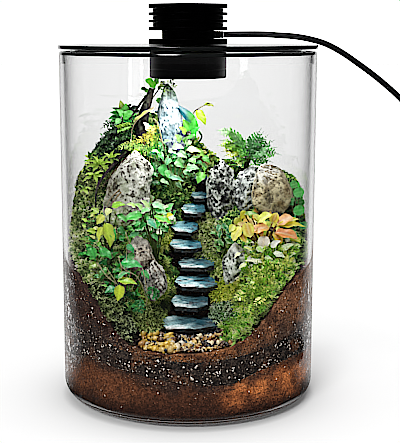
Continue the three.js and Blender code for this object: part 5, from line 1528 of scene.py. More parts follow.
class Plant:
    def __init__(self, seed):
        self.s = Soup()
        self.rng = np.random.default_rng(seed)

    def leaf(self, kind, base, tip, width, main, edge=None, vein=None, normal=None, patch=None, **shape):
        r = self.rng
        base, tip = np.asarray(base, float), np.asarray(tip, float)
        L = np.linalg.norm(tip - base)
        x = (tip - base) / max(L, 1e-6)
        n = np.asarray(normal if normal is not None else (0.25 * r.normal(), -0.62, 0.75), float)
        n = unit(n - x * (n @ x))
        R = np.stack([x, np.cross(n, x), n], 1)
        v, f, T, S = leaf_template(kind, **{"arch": 0.1 + 0.12 * r.uniform(), "fold": 0.1 + 0.2 * r.uniform(), "wave": 0.12, **shape})
        main = np.asarray(main)
        c = np.tile(main, (len(v), 1))
        c = np.clip(c * (1.25 + 0.35 * r.uniform()) + 0.012, 0, 0.9)
        side = np.abs(S)
        if patch is not None:
            c = mix(c, patch, np.clip(step(0.75, 0.1, side + 0.5 * np.abs(T - 0.45)), 0, 1))
        if edge is not None:
            c = mix(c, edge, step(0.45, 0.95, side + 0.25 * np.sin(T * 23 + 3 * S)))
        vc = vein if vein is not None else np.minimum(main * 1.9 + 0.03, 1)
        c = mix(c, vc, 0.75 * step(0.2, 0.0, side))
        rib = np.abs(((T * 6.5 + side * 1.1) % 1) - 0.5)
        c = mix(c, vc, (0.55 if vein is not None else 0.22) * step(0.16, 0.0, rib) * step(0.0, 0.3, side))
        c = c * (1 - 0.22 * T * 0 - 0.18 * step(0.12, 0.0, T))[:, None]
        v = v * (L, width, L)
        self.s.add(v @ R.T + base, f, c)

    def px(self, kind, bx, by, tx, ty, w, depth, main, edge=None, vein=None, lean=2.5, **k):
        """A leaf from one picture point to another at a depth; w in picture points. Its tip comes `lean` mm forward."""
        a, b = at(bx, by, depth), at(tx, ty, depth - lean)
        scale = (depth - CAM_Y) / FOCAL
        self.leaf(kind, a, b, w * scale, main, edge, vein, **k)
        return a

    def stem(self, points, r0=0.55, r1=0.3, colour=None, sides=6):
        P = spline(np.asarray(points, float), max(8, 5 * len(points)))
        v, f = tube(P, np.linspace(r0, r1, len(P)), sides)
        self.s.add(v, f, srgb(96, 118, 54) if colour is None else colour)
        return P

    def frond(self, points, length, main, tip=None, spacing=1.7, width=0.3, lobes=4, normal=(0, -0.72, 0.7), stem=None, forward=0.55, droop=0.12):
        """A fern frond: toothed leaflets in pairs along a stalk, shorter to both ends."""
        L0 = spline(points, 60)
        run = np.sum(np.linalg.norm(np.diff(L0, axis=0), axis=1))
        pairs = max(5, int(run / spacing))
        P = spline(points, pairs * 2 + 3)
        v, f = tube(P, np.linspace(0.34, 0.12, len(P)), 5)
        main = np.asarray(main)
        tip = main if tip is None else np.asarray(tip)
        self.s.add(v, f, main * 0.55 if stem is None else stem)
        T = unit(np.gradient(P, axis=0))
        n0 = unit(np.asarray(normal, float))
        rng = self.rng
        V, F, C = [], [], []
        for k in range(pairs):
            i = 1 + 2 * k
            d = T[i]
            n = unit(n0 - d * (n0 @ d))
            side = np.cross(n, d)
            u = k / max(pairs - 1, 1)
            ll = length * (0.3 + 0.7 * min(1, u * 2.6)) * (1 - 0.8 * u**3.2) * rng.uniform(0.85, 1.12)
            for sg in (-1, 1):
                a = unit(d * (forward + 0.3 * rng.normal()) + side * sg + n * rng.uniform(-0.35, 0.3) - n * droop)
                b = unit(np.cross(n, a) + 0.25 * rng.normal() * n)
                w = ll * width * 0.5 * rng.uniform(0.8, 1.25)
                c = np.clip(mix(main, tip, u) * rng.uniform(0.6, 1.7) + 0.01, 0, 0.9)
                m = len(V)
                V.append(P[i])
                C.append(c * 0.7)
                for q in range(lobes):
                    t0, t1 = (q + 0.45) / lobes, (q + 1.0) / lobes
                    e = P[i] + a * ll * t0
                    wq = w * math.sin(math.pi * min(0.25 + 0.7 * t0, 1)) ** 0.6
                    V += [e + b * wq, e - b * wq, P[i] + a * ll * t1 + b * wq * 0.35, P[i] + a * ll * t1 - b * wq * 0.35]
                    C += [c * 1.1, c * 0.95, c * 0.75, c * 0.65]
                    e0 = m + 1 + 4 * q
                    F.append([e0 - 2 if q else m, e0 + 1, e0])
                    if q:
                        F.append([e0 - 2, e0 - 1, e0 + 1])
                    F += [[e0, e0 + 1, e0 + 3], [e0, e0 + 3, e0 + 2]]
        self.s.add(np.array(V), np.array(F), np.array(C))

    def fill(self, cx, cy, rx, ry, count, kinds, size, colours, edge=None, lift=6.0, depth=None, shape=0.75, near=None, up=0.5, lim=92.0):
        """Small leaves over a patch of the picture, on the planted ground."""
        r = self.rng
        for _ in range(count):
            a, q = r.uniform(0, 2 * math.pi), math.sqrt(r.uniform())
            h = hit(cx + rx * q * math.cos(a), cy + ry * q * math.sin(a), lift * r.uniform(0.6, 1.3))
            if h is None or (depth is not None and not depth[0] < h[1] < depth[1]):
                continue
            L = r.uniform(*size)
            g = r.uniform(0, 2 * math.pi)
            d = unit(np.array([math.cos(g), -0.45 + 0.3 * r.normal(), math.sin(g) * 0.7])) * L
            if max(math.hypot(*h[:2]), math.hypot(*(h + d)[:2])) > lim:
                continue
            c = np.asarray(colours[r.integers(len(colours))])
            e = edge if edge is not None and r.uniform() < 0.7 else None
            self.leaf(kinds[r.integers(len(kinds))], h, h + d, L * shape * r.uniform(0.85, 1.15), c, e, normal=(0.3 * r.normal(), -0.7, up + 0.3 * r.uniform()))

    def done(self, name, replaces, slot, mat="leaf"):
        o = self.s.object(name, M[mat], slot=slot)
        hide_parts(replaces)
        return o


def base_of(x, y, sink=3.0):
    return np.array([x, y, float(ground(np.array([x]), np.array([y]))[0]) - sink])


# ------------------------------------------------------------------ moss
def path_edge(y):
    return np.interp(
        y,
        [-96, -70, -62, -56, -50, -41, -31, -21, -11, -1, 9, 19, 30, 36],
        [40, 37, 33, 27, 23, 17, 18, 17, 14.5, 13, 11.5, 9, 7.5, 6],
    )


def path_mid(y):
    return np.interp(y, [-96, -60, -51, -41, -31, -21, -11, -1, 9, 19, 30], [-5, -3, 0, 1.6, 6, 7, -1.6, -2, 4.5, 9.8, 10.6])


def clear_of_path(x, y, extra=0.0):
    wob = 1.6 * noise(np.stack([x, y, x * 0], 1), 4, 8)
    return (y > 35) | (np.abs(x - path_mid(y)) > path_edge(y) + extra + wob)


def moss_height(x, y):
    q = np.stack([x, y, x * 0], 1)
    h = 4.4 + 2.0 * fbm(q, 15, 2, 301) + 1.5 * noise(q, 5.5, 302)
    gap = np.abs(x - path_mid(y)) - path_edge(y)
    edge = np.where(y > 35, 1.0, step(-1, 6, gap))
    return np.maximum(h * (0.35 + 0.65 * edge), 0.8)


def blade_tuft(n, height, width, splay, rng, seg=2, droop=0.2):
    """A tuft of n narrow blades."""
    V, F = [], []
    for k in range(n):
        a = 2 * math.pi * (k + rng.uniform(-0.3, 0.3)) / n
        d = np.array([math.cos(a), math.sin(a), 0])
        w = np.array([-math.sin(a), math.cos(a), 0]) * width
        h = height * rng.uniform(0.75, 1.1)
        sp = splay * rng.uniform(0.5, 1.2)
        m = len(V)
        V += [-w * 0.4, w * 0.4, d * sp * 0.45 + (0, 0, h * 0.62) - w * 0.55, d * sp * 0.45 + (0, 0, h * 0.62) + w * 0.55, d * sp + (0, 0, h - droop * sp)]
        F += [[m, m + 1, m + 3], [m, m + 3, m + 2], [m + 2, m + 3, m + 4]]
    return np.array(V, float), np.array(F)


def star_tuft(leaves, rng, up=0.45, width=0.24):
    V, F = [], []
    for ring, (count, elev, ln) in enumerate(leaves):
        for k in range(count):
            a = 2 * math.pi * (k + 0.5 * (ring % 2) + rng.uniform(-0.15, 0.15)) / count
            e = elev + rng.uniform(-0.12, 0.12)
            d = np.array([math.cos(a) * math.cos(e), math.sin(a) * math.cos(e), math.sin(e)])
            w = np.array([-math.sin(a), math.cos(a), 0]) * width * ln
            b = np.array([0, 0, 0.18 * ring])
            m = len(V)
            V += [b, b + d * ln * 0.5 + w * 0.5, b + d * ln, b + d * ln * 0.5 - w * 0.5]
            F += [[m, m + 1, m + 2], [m, m + 2, m + 3]]
    return np.array(V, float), np.array(F)


def feather_tuft(pairs, rng, lean=0.6):
    """A small flat moss frond that leans over."""
    V, F = [], []
    for k in range(pairs):
        t = (k + 1) / (pairs + 0.5)
        p = np.array([lean * t * t * 1.1, 0, t * (1 - 0.35 * t)])
        ln = 0.42 * math.sin(math.pi * (0.18 + 0.8 * t)) + 0.05
        for sg in (-1, 1):
            o = np.array([0.35 * ln, sg * ln, 0.12 * ln])
            m = len(V)
            V += [p, p + o * 0.55 + (0.11, 0, 0.02), p + o, p + o * 0.55 - (0.08, 0, 0.05)]
            F += [[m, m + 1, m + 2], [m, m + 2, m + 3]]
    m = len(V)
    V += [(0, -0.03, 0), (0, 0.03, 0), (lean * 1.1, 0, 0.7)]
    F += [[m, m + 1, m + 2]]
    return np.array(V, float), np.array(F)


trng = np.random.default_rng(9)
TUFTS = {
    "star": [star_tuft([(6, 0.15, 1.0), (5, 0.65, 0.8), (3, 1.1, 0.6)], trng) for _ in range(3)],
    "blade": [blade_tuft(8, 1.0, 0.11, 0.6, trng) for _ in range(3)],
    "feather": [feather_tuft(7, trng) for _ in range(3)],
}
# Where each kind of moss grows: picture place, reach, kind, shoot size (mm), dark and bright colour, share of bright.
ZONES = [
    (86, 245, 24, 62, "feather", 2.9, srgb(104, 128, 70), srgb(226, 240, 176), 0.55),
    (92, 305, 26, 30, "star", 2.0, srgb(66, 78, 40), srgb(190, 206, 140), 0.4),
    (116, 330, 22, 18, "star", 1.9, srgb(40, 46, 30), srgb(190, 200, 150), 0.32),
    (112, 139, 22, 22, "feather", 3.2, srgb(26, 50, 26), srgb(110, 144, 92), 0.3),
    (90, 185, 16, 22, "feather", 3.0, srgb(66, 84, 44), srgb(196, 210, 140), 0.42),
    (160, 238, 14, 12, "star", 2.3, srgb(104, 130, 56), srgb(216, 236, 140), 0.55),
    (150, 285, 18, 22, "star", 2.2, srgb(84, 110, 46), srgb(206, 228, 130), 0.52),
    (150, 318, 18, 14, "star", 2.1, srgb(60, 80, 36), srgb(196, 214, 136), 0.46),
    (140, 145, 20, 14, "feather", 3.0, srgb(70, 130, 50), srgb(190, 226, 110), 0.5),
    (205, 238, 12, 26, "star", 2.4, srgb(104, 124, 70), srgb(222, 236, 176), 0.55),
    (205, 146, 18, 14, "star", 2.3, srgb(140, 150, 60), srgb(236, 230, 150), 0.6),
    (222, 268, 16, 14, "star", 2.1, srgb(100, 124, 62), srgb(210, 226, 150), 0.5),
    (275, 268, 30, 30, "feather", 3.6, srgb(120, 156, 70), srgb(220, 240, 160), 0.6),
    (224, 290, 17, 11, "blade", 3.0, srgb(140, 160, 60), srgb(230, 236, 120), 0.6),
    (225, 312, 16, 13, "star", 2.1, srgb(70, 92, 60), srgb(206, 226, 180), 0.5),
    (250, 306, 18, 14, "blade", 4.2, srgb(150, 190, 90), srgb(226, 244, 156), 0.65),
    (241, 333, 20, 14, "blade", 4.2, srgb(150, 196, 96), srgb(226, 246, 160), 0.65),
    (272, 318, 18, 22, "star", 2.1, srgb(84, 104, 60), srgb(190, 210, 140), 0.45),
    (294, 262, 14, 26, "feather", 3.0, srgb(100, 134, 70), srgb(196, 220, 140), 0.5),
]
BACK = (0, 0, 0, 0, "feather", 3.2, srgb(66, 104, 48), srgb(170, 200, 110), 0.45)


def burst(s, rng, cx, cy, reach, blades, width, main, tip, lift=5.0):
    """Narrow leaves spreading from one point of the ground."""
    h = hit(cx, cy, lift)
    if h is None:
        return
    V, F, C = [], [], []
    for k in range(blades):
        a = 2 * math.pi * (k + rng.uniform(-0.4, 0.4)) / blades
        e = rng.uniform(-0.1, 1.05)
        d = unit(np.array([math.cos(a) * math.cos(e), -math.sin(e) - 0.25, math.sin(a) * math.cos(e)]))
        ln = reach * rng.uniform(0.6, 1.15)
        side = unit(np.cross(d, (0.05, -1, 0.2))) * width * 0.5
        t = h + d * ln - (0, 0, 0.1 * ln)
        if math.hypot(t[0], t[1]) > 94.3 or t[2] < gravel_top(t[0], t[1]) + 2:
            continue
        m = h + d * ln * 0.55
        b = h + d * ln * 0.08
        i = len(V)
        V += [b - side * 0.5, b + side * 0.5, m - side, m + side, t]
        F += [[i, i + 1, i + 3], [i, i + 3, i + 2], [i + 2, i + 3, i + 4]]
        c = mix(main, tip, rng.uniform())
        c = c * (1.5 if cx > 215 else 1.45 if cx > 138 else 1.15)
        C += [c * 0.25, c * 0.25, np.clip(c * 0.85, 0, 0.9), np.clip(c * 0.85, 0, 0.9), np.clip(c * 1.3, 0, 0.94)]
    if V:
        s.add(np.array(V), np.array(F), np.array(C))


# Picture place, reach, how many, leaf length (mm), leaves in each, leaf width, dark and bright colour.
BURSTS = {
    "moss_left": [
        (86, 235, 15, 66, 150, 4.0, 10, 1.05, srgb(80, 112, 44), srgb(232, 246, 170)),
        (104, 298, 24, 24, 110, 3.9, 9, 1.0, srgb(44, 64, 32), srgb(216, 232, 170)),
        (118, 328, 20, 14, 50, 3.2, 9, 0.95, srgb(34, 46, 28), srgb(206, 220, 176)),
        (153, 284, 15, 20, 110, 4.0, 10, 1.05, srgb(96, 126, 44), srgb(226, 242, 140)),
        (150, 318, 16, 13, 80, 3.8, 9, 1.0, srgb(64, 84, 36), srgb(210, 226, 150)),
        (162, 238, 12, 13, 60, 4.2, 10, 1.1, srgb(110, 136, 50), srgb(236, 242, 140)),
        (112, 142, 17, 16, 60, 4.6, 9, 0.9, srgb(12, 30, 14), srgb(70, 104, 56)),
        (88, 186, 13, 20, 44, 3.4, 10, 0.8, srgb(50, 76, 34), srgb(206, 222, 140)),
        (128, 296, 10, 9, 22, 3.4, 11, 0.8, srgb(20, 90, 40), srgb(90, 176, 96)),
    ],
    "moss_right": [
        (205, 238, 12, 26, 110, 4.2, 10, 1.05, srgb(96, 120, 56), srgb(234, 246, 180)),
        (220, 264, 14, 15, 70, 4.2, 10, 1.05, srgb(80, 110, 50), srgb(216, 232, 150)),
        (224, 290, 15, 10, 44, 5.4, 11, 1.1, srgb(120, 150, 40), srgb(236, 242, 110)),
        (225, 312, 15, 12, 60, 3.8, 10, 1.0, srgb(40, 74, 46), srgb(206, 236, 196)),
        (252, 304, 16, 14, 34, 7.6, 11, 1.35, srgb(90, 150, 44), srgb(220, 248, 120)),
        (241, 333, 17, 11, 44, 7.0, 11, 1.3, srgb(90, 160, 56), srgb(214, 248, 140)),
        (272, 282, 26, 24, 76, 8.0, 11, 1.35, srgb(90, 156, 46), srgb(214, 246, 120)),
        (272, 318, 14, 18, 44, 3.0, 9, 0.75, srgb(56, 74, 36), srgb(180, 200, 120)),
        (294, 258, 10, 24, 50, 4.6, 10, 0.85, srgb(70, 116, 44), srgb(190, 226, 130)),
    ],
    "moss_back": [
        (205, 146, 15, 12, 60, 3.2, 11, 0.75, srgb(140, 150, 50), srgb(244, 238, 150)),
        (118, 132, 18, 12, 50, 4.6, 9, 0.9, srgb(12, 30, 14), srgb(66, 100, 54)),
        (288, 182, 12, 8, 40, 3.2, 9, 0.75, srgb(30, 56, 24), srgb(120, 150, 80)),
    ],
}


def moss_patch(name, node_name, inside, count, seed):
    rng = np.random.default_rng(seed)
    s = Soup()
    for cx, cy, rx, ry, many, reach, blades, width, main, tip in BURSTS[node_name]:
        for _ in range(many):
            a, q = rng.uniform(0, 2 * math.pi), math.sqrt(rng.uniform())
            burst(s, rng, cx + rx * q * math.cos(a), cy + ry * q * math.sin(a), reach * rng.uniform(0.8, 1.2), blades, width, main, tip)
    # Mat under the shoots.
    h = 1.5
    gx = np.arange(-96, 96.1, h)
    X, Y = np.meshgrid(gx, gx, indexing="ij")
    x, y = X.ravel(), Y.ravel()
    r = np.hypot(x, y)
    keep = (r < 94.6) & inside(x, y) & clear_of_path(x, y)
    k = np.minimum(1, 94.8 / np.maximum(r, 1e-6))
    z = ground(x, y) + moss_height(x, y) * 0.72
    n = len(gx)
    K = keep.reshape(n, n)
    solid = K[:-1, :-1] & K[1:, :-1] & K[1:, 1:] & K[:-1, 1:]
    border = np.zeros_like(K)
    inner = K.copy()
    inner[1:-1, 1:-1] = K[1:-1, 1:-1] & K[:-2, 1:-1] & K[2:, 1:-1] & K[1:-1, :-2] & K[1:-1, 2:]
    z = np.where(inner.ravel() | (r > 92), z, ground(x, y) - 0.6)
    i, j = np.nonzero(solid)
    a = i * n + j
    tri = np.concatenate([np.stack([a, a + n, a + n + 1], 1), np.stack([a, a + n + 1, a + 1], 1)])
    used, inv = np.unique(tri, return_inverse=True)
    v = np.stack([x[used], y[used], z[used]], 1)
    v[:, 2] += 0.5 * noise(v, 2.2, seed)
    c = mix(srgb(20, 30, 12), srgb(60, 82, 32), 0.5 + 0.5 * noise(v, 3, seed + 1))
    s.add(v, inv.reshape(-1, 3), c)
    # Shoots, as many on a slope as on the flat for its area.
    m = count * 6
    x, y = rng.uniform(-95, 95, m), rng.uniform(-95, 95, m)
    ok = (np.hypot(x, y) < 94.4) & inside(x, y) & clear_of_path(x, y, -0.8)
    x, y = x[ok], y[ok]
    nrm = normal_at(x, y)
    w = 1 / np.maximum(nrm[:, 2], 0.18)
    front = np.where(y < 40, 1.0, 0.62)
    pick = rng.choice(len(x), min(count, len(x)), replace=False, p=w * front / np.sum(w * front))
    x, y, nrm = x[pick], y[pick], nrm[pick]
    p = np.stack([x, y, ground(x, y) + moss_height(x, y) * 0.74], 1)
    px, py = pic(p)
    zone = np.full(len(p), -1)
    best = np.full(len(p), 1.35)
    jit = 0.25 * noise(p, 8, 77)
    for q, (cx, cy, rx, ry, *_) in enumerate(ZONES):
        d = np.hypot((px - cx) / rx, (py - cy) / ry) + jit
        hitz = (d < best) & (y < 45)
        zone = np.where(hitz, q, zone)
        best = np.where(hitz, d, best)
    # The shoots lean forward and up from the ground's slope, each a little askew.
    rr = np.hypot(x, y)
    tilt = unit(nrm + np.stack([0.0 * x, -0.35 + 0 * x, 0.55 + 0 * x], 1) + 0.35 * rng.normal(size=(len(p), 3)))
    for q in range(-1, len(ZONES)):
        sel = zone == q
        if not sel.any():
            continue
        cx, cy, rx, ry, kind, size, dark, bright, share = ZONES[q] if q >= 0 else BACK
        for var, (tv, tf) in enumerate(TUFTS[kind]):
            mine = np.nonzero(sel)[0]
            mine = mine[mine % 3 == var]
            if not len(mine):
                continue
            mm = len(mine)
            sz = size * rng.uniform(0.85, 1.5, mm)
            o = p[mine].copy()
            lim = 95.1 - sz * 0.55
            k = np.minimum(1, lim / np.maximum(np.hypot(o[:, 0], o[:, 1]), 1e-6))
            o[:, :2] *= k[:, None]
            clump = 0.5 + 0.5 * noise(o, 5, 55) + 0.25 * noise(o, 1.7, 56)
            t = np.clip((rng.uniform(size=mm) < share * (0.4 + 1.1 * clump)).astype(float) * rng.uniform(0.5, 1.0, mm), 0, 1)
            c = mix(dark, bright, t) * rng.uniform(0.7, 1.25, (mm, 1)) * (0.5 + 1.0 * step(-0.35, 0.35, fbm(o, 8, 2, 57)))[:, None]
            tip = np.clip(tv[:, 2] / tv[:, 2].max(), 0, 1)
            gain = 1.5 if cx > 215 else 1.6 if cx > 138 else 1.3
            cc = np.clip(gain * c[:, None] * (0.28 + 1.02 * tip)[None, :, None], 0, 0.92)
            s.copies(tv, tf, o, frames(tilt[mine], rng=rng), sz, cc)
    o = s.object(name, M["moss"], slot="moss_green")
    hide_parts(node_name)
    return o


moss_patch("moss_bank_left", "moss_left", lambda x, y: (x < path_mid(y)) & (y < 22), 5200, 601)
moss_patch("moss_bank_right", "moss_right", lambda x, y: (x >= path_mid(y)) & (y < 22), 5300, 602)
moss_patch("moss_bank_back", "moss_back", lambda x, y: y >= 22, 5600, 603)

# ------------------------------------------------------------------ plants
GREEN, LIME, DARK = srgb(66, 146, 40), srgb(150, 196, 62), srgb(22, 66, 26)
FRESH, PALE, TEAL = srgb(96, 184, 60), srgb(206, 228, 190), srgb(20, 122, 128)
BLUEG, WHITE, GOLD = srgb(70, 160, 110), srgb(236, 240, 226), srgb(226, 196, 70)
OLIVE, RUST, PINK = srgb(150, 166, 70), srgb(196, 92, 40), srgb(226, 176, 140)

# Fern on the right, over the boulders.
P = Plant(11)
root = base_of(45, 31)
FERN = [
    ([(246, 156), (242, 144), (235.5, 135), (228, 130.8), (216, 130.2)], 5.6, srgb(96, 180, 84), srgb(150, 210, 130), 1.9, 0.55, 2),
    ([(247, 156), (239, 147), (230, 141.5), (219, 140)], 5.0, srgb(110, 190, 70), srgb(176, 222, 100), 1.9, 0.55, 2),
    ([(248, 157), (241, 151.5), (233, 149.5), (221, 151.4)], 4.8, srgb(160, 190, 50), srgb(226, 220, 80), 1.8, 0.6, 2),
    ([(249, 156), (252, 146), (257, 136), (262, 127.6)], 6.4, srgb(70, 140, 70), srgb(84, 150, 84), 2.6, 0.5, 3),
    ([(250, 156), (255, 148), (262, 141), (269, 134)], 6.4, srgb(80, 150, 76), srgb(80, 140, 76), 2.6, 0.5, 3),
    ([(250, 157), (258, 150), (267, 144), (276, 139.5)], 6.0, srgb(84, 160, 80), srgb(74, 134, 70), 2.5, 0.5, 3),
    ([(251, 158), (261, 154), (271, 152), (282.5, 155)], 5.8, srgb(96, 180, 84), srgb(84, 146, 72), 2.5, 0.5, 3),
    ([(250, 159), (258, 158), (266, 159.5), (274, 162.5)], 5.2, srgb(110, 200, 90), srgb(130, 200, 100), 2.3, 0.5, 3),
    ([(249, 158), (254, 153), (260, 150.5), (268, 151)], 5.6, srgb(90, 190, 80), srgb(80, 160, 70), 2.5, 0.5, 3),
    ([(246, 159), (241, 156.5), (236, 157), (229, 160)], 5.2, srgb(84, 190, 60), srgb(170, 214, 90), 2.0, 0.6, 2),
    ([(248, 157), (247, 149), (247, 142), (250, 135)], 5.8, srgb(120, 190, 116), srgb(176, 226, 166), 2.2, 0.55, 2),
    ([(249, 158), (246, 153), (240, 150), (236, 146)], 5.4, srgb(90, 196, 66), srgb(140, 210, 84), 2.0, 0.6, 2),
    ([(251, 157), (256, 153), (263, 147), (271, 146)], 6.0, srgb(90, 170, 84), srgb(90, 160, 84), 2.5, 0.5, 3),
    ([(249, 160), (254, 160), (260, 162), (265, 166)], 4.8, srgb(76, 170, 60), srgb(96, 180, 76), 2.2, 0.46, 2),
    ([(247, 160), (243, 160.5), (238, 163), (235, 167)], 4.8, srgb(120, 200, 76), srgb(200, 204, 76), 1.9, 0.6, 2),
    ([(246, 157), (238, 148.5), (229, 144.5), (217, 145.5)], 5.6, srgb(120, 196, 76), srgb(180, 224, 100), 1.7, 0.6, 2),
    ([(246, 155), (240, 141), (231, 134.5), (219, 134)], 5.8, srgb(100, 186, 80), srgb(150, 214, 120), 1.7, 0.6, 2),
    ([(247, 158), (241, 152.5), (234, 152.5), (224, 156)], 5.2, srgb(150, 196, 60), srgb(210, 220, 90), 1.7, 0.6, 2),
    ([(248, 158), (252, 147), (258, 140), (264, 131)], 6.0, srgb(80, 150, 80), srgb(90, 160, 90), 2.4, 0.5, 3),
    ([(250, 158), (259, 153), (268, 149), (278, 147)], 5.8, srgb(90, 170, 84), srgb(84, 150, 76), 2.4, 0.5, 3),
    ([(250, 158), (256, 151), (260, 143), (265, 138)], 6.0, srgb(76, 146, 76), srgb(90, 156, 84), 2.6, 0.5, 3),
    ([(249, 158), (250, 150), (254, 142), (257, 136)], 5.8, srgb(96, 176, 96), srgb(120, 186, 116), 2.5, 0.5, 3),
]
for k, (pts, ln, c, tp, gap, wd, lb) in enumerate(FERN):
    d = 18 + 7 * ((k * 0.37) % 1)
    q = [at(x, y, d - 1.2 * j) for j, (x, y) in enumerate(pts)]
    P.frond(q, ln, c * 0.9, tp * 0.9, spacing=gap, width=wd, lobes=lb)
    P.stem([root, (root * 0.4 + q[0] * 0.6) + (0, 0, 2), q[0]], 0.5, 0.34)
P.fill(248, 160, 17, 7, 90, ["lance", "ovate"], (2.6, 4.4), [srgb(90, 176, 70), srgb(60, 130, 56), srgb(150, 200, 90)], lift=10, shape=0.4)
P.done("fern_fronds", "fern_right", "leaf_green")

# Thick-leaved rosette.
P = Plant(12)
c0 = at(122, 117, 27)
root = base_of(-58, 30)
P.stem([root, c0 + (0, 2, -6), c0], 1.0, 0.8)
for bx, by, tx, ty, w, col, dd in [
    (123, 115, 120.3, 100.5, 8.5, srgb(150, 170, 96), 27), (123, 113, 126, 103.5, 8.5, srgb(96, 176, 80), 26), (122, 118, 135.5, 112.5, 12.5, srgb(84, 184, 70), 22),
    (122, 117, 110, 111.5, 7.5, srgb(56, 130, 56), 24), (121, 118.5, 108, 117.5, 7, srgb(60, 140, 64), 24), (122, 116, 113, 106.5, 7, srgb(46, 110, 48), 27),
    (127, 113, 138.5, 105.2, 7, srgb(22, 50, 26), 30), (125, 112, 130.5, 103.8, 6.5, srgb(26, 62, 30), 31), (123, 119, 132, 121, 8, srgb(50, 150, 56), 20),
    (121, 119, 114, 124.5, 7, srgb(110, 190, 96), 20), (120, 119, 109, 122.5, 6, srgb(76, 160, 70), 22), (126, 117, 137, 118, 7, srgb(36, 110, 40), 25),
    (122, 116, 117, 109, 7.5, srgb(100, 190, 90), 22), (131, 113, 141, 111, 6, srgb(24, 58, 28), 29),
]:
    P.px("ovate", bx, by, tx, ty, w, dd, col * 0.85, lean=3, thick=0.05, fold=0.3)
# Pale feathered leaf below it, and the long pale leaf that crosses the wood.
for k in range(6):
    x = 119 + 2.3 * k
    P.px("lance", x, 129 - 0.9 * k, x - 4.2, 125.0 - 0.6 * k, 3.0, 18, srgb(156, 196, 74) * 0.85)
    P.px("lance", x, 129 - 0.9 * k, x - 1.4, 133.0 - 0.8 * k, 3.0, 18, srgb(120, 184, 66) * 0.85)
P.px("lance", 133, 122, 151, 107.5, 4.2, 16, srgb(190, 204, 96) * 0.85, srgb(212, 216, 150))
P.px("lance", 147, 110.5, 157, 113, 2.6, 16, srgb(212, 212, 140) * 0.85)
for pts, c, tp in [
    ([(135, 121), (129, 125), (123, 128.5), (117, 131.5)], srgb(120, 184, 84), srgb(190, 210, 110)),
    ([(136, 118), (130, 121), (124, 124), (118, 126)], srgb(140, 190, 96), srgb(170, 206, 110)),
    ([(132, 130), (126, 133), (121, 137), (116, 142)], srgb(40, 96, 44), srgb(80, 130, 60)),
    ([(124, 124), (116, 127), (108, 131), (101, 136)], srgb(24, 60, 28), srgb(60, 106, 50)),
    ([(120, 122), (112, 122), (106, 124), (100, 129)], srgb(20, 50, 24), srgb(50, 96, 44)),
    ([(116, 130), (108, 134), (102, 140), (97, 148)], srgb(20, 50, 24), srgb(46, 86, 40)),
    ([(122, 134), (114, 139), (108, 146), (103, 154)], srgb(24, 60, 28), srgb(60, 106, 50)),
]:
    q = [at(x, y, 20 - 1.0 * j) for j, (x, y) in enumerate(pts)]
    P.frond(q, 4.6, c * 0.85, tp * 0.85, spacing=1.8, width=0.42, lobes=2)
P.fill(118, 132, 18, 12, 120, ["ovate", "lance"], (2.2, 4.2), [srgb(16, 40, 18), srgb(28, 66, 28), srgb(60, 110, 50), srgb(96, 150, 76)], lift=9, shape=0.5, depth=(4, 60))
P.done("rosette", "succulent_left", "leaf_dark")

# Palmate leaves on the left shoulder.
P = Plant(13)
root = base_of(-79, 18)
for cx, cy, tips, dd in [
    (99, 164, [(84, 167), (86, 160), (94, 155), (107, 153.5), (112, 162), (110, 169), (91, 171.5)], 4),
    (94, 174, [(81, 181), (84, 174), (103, 170), (105, 178), (97, 183)], 0),
    (111, 158, [(104, 152), (113, 150), (120, 153), (119, 160), (112, 165)], 8),
    (89, 158, [(83, 155), (88, 151), (96, 150)], 10),
    (84, 188, [(78, 184), (79, 192), (88, 194), (92, 188)], -4),
]:
    c0 = at(cx, cy, dd)
    P.stem([root, (root + c0) / 2 + (0, 0, 6), c0], 0.5, 0.3, srgb(120, 140, 60))
    for tx, ty in tips:
        dark = P.rng.uniform() < 0.18
        P.px("lance", cx, cy, tx + P.rng.uniform(-0.8, 0.8), ty, 3.6 + P.rng.uniform(0, 0.9), dd, (srgb(70, 116, 40) if dark else srgb(168, 204, 84)) * 0.85, vein=srgb(216, 226, 140), lean=2 + 2 * P.rng.uniform())
P.fill(97, 165, 15, 14, 90, ["lance"], (3.5, 6.0), [srgb(160, 200, 84), srgb(110, 160, 60), srgb(190, 216, 110), srgb(60, 96, 40)], lift=7, shape=0.32, depth=(-20, 50))
P.done("palmate_leaves", "palmate_left", "leaf_lime")

# Round-leaved shrub beside the peak.
P = Plant(14)
root = base_of(-45, 42)
for bx, by, tx, ty, w, col, dd in [
    (155, 88, 146, 79, 10.5, srgb(96, 176, 44), 34), (156, 84, 158, 76, 7, srgb(60, 116, 40), 40), (148, 92, 141, 88, 6, srgb(50, 100, 36), 42),
    (152, 92, 146, 91, 6, srgb(86, 150, 56), 38), (158, 90, 163, 84, 6, srgb(120, 136, 80), 44), (150, 98, 144, 97, 6, srgb(40, 76, 30), 44),
]:
    a = P.px("round", bx, by, tx, ty, w, dd, col * 0.85, lean=3)
    P.stem([root, (root * 0.3 + a * 0.7) + (0, 3, 0), a], 0.6, 0.35, srgb(74, 62, 40))
for k in range(46):
    x, y = 166 + 9 * P.rng.uniform(-1, 1), 86 + 7 * P.rng.uniform(-1, 1)
    a = at(x, y, 36)
    ang = P.rng.uniform(0, 2 * math.pi)
    P.leaf("lance", a, a + np.array([math.cos(ang), -0.4, math.sin(ang)]) * P.rng.uniform(1.6, 3.0), 1.3, [srgb(70, 110, 50), srgb(150, 180, 100), srgb(30, 56, 26), srgb(206, 216, 180)][P.rng.integers(4)] * 0.85)
P.done("round_leaves", "round_leaf_shrub", "leaf_green")

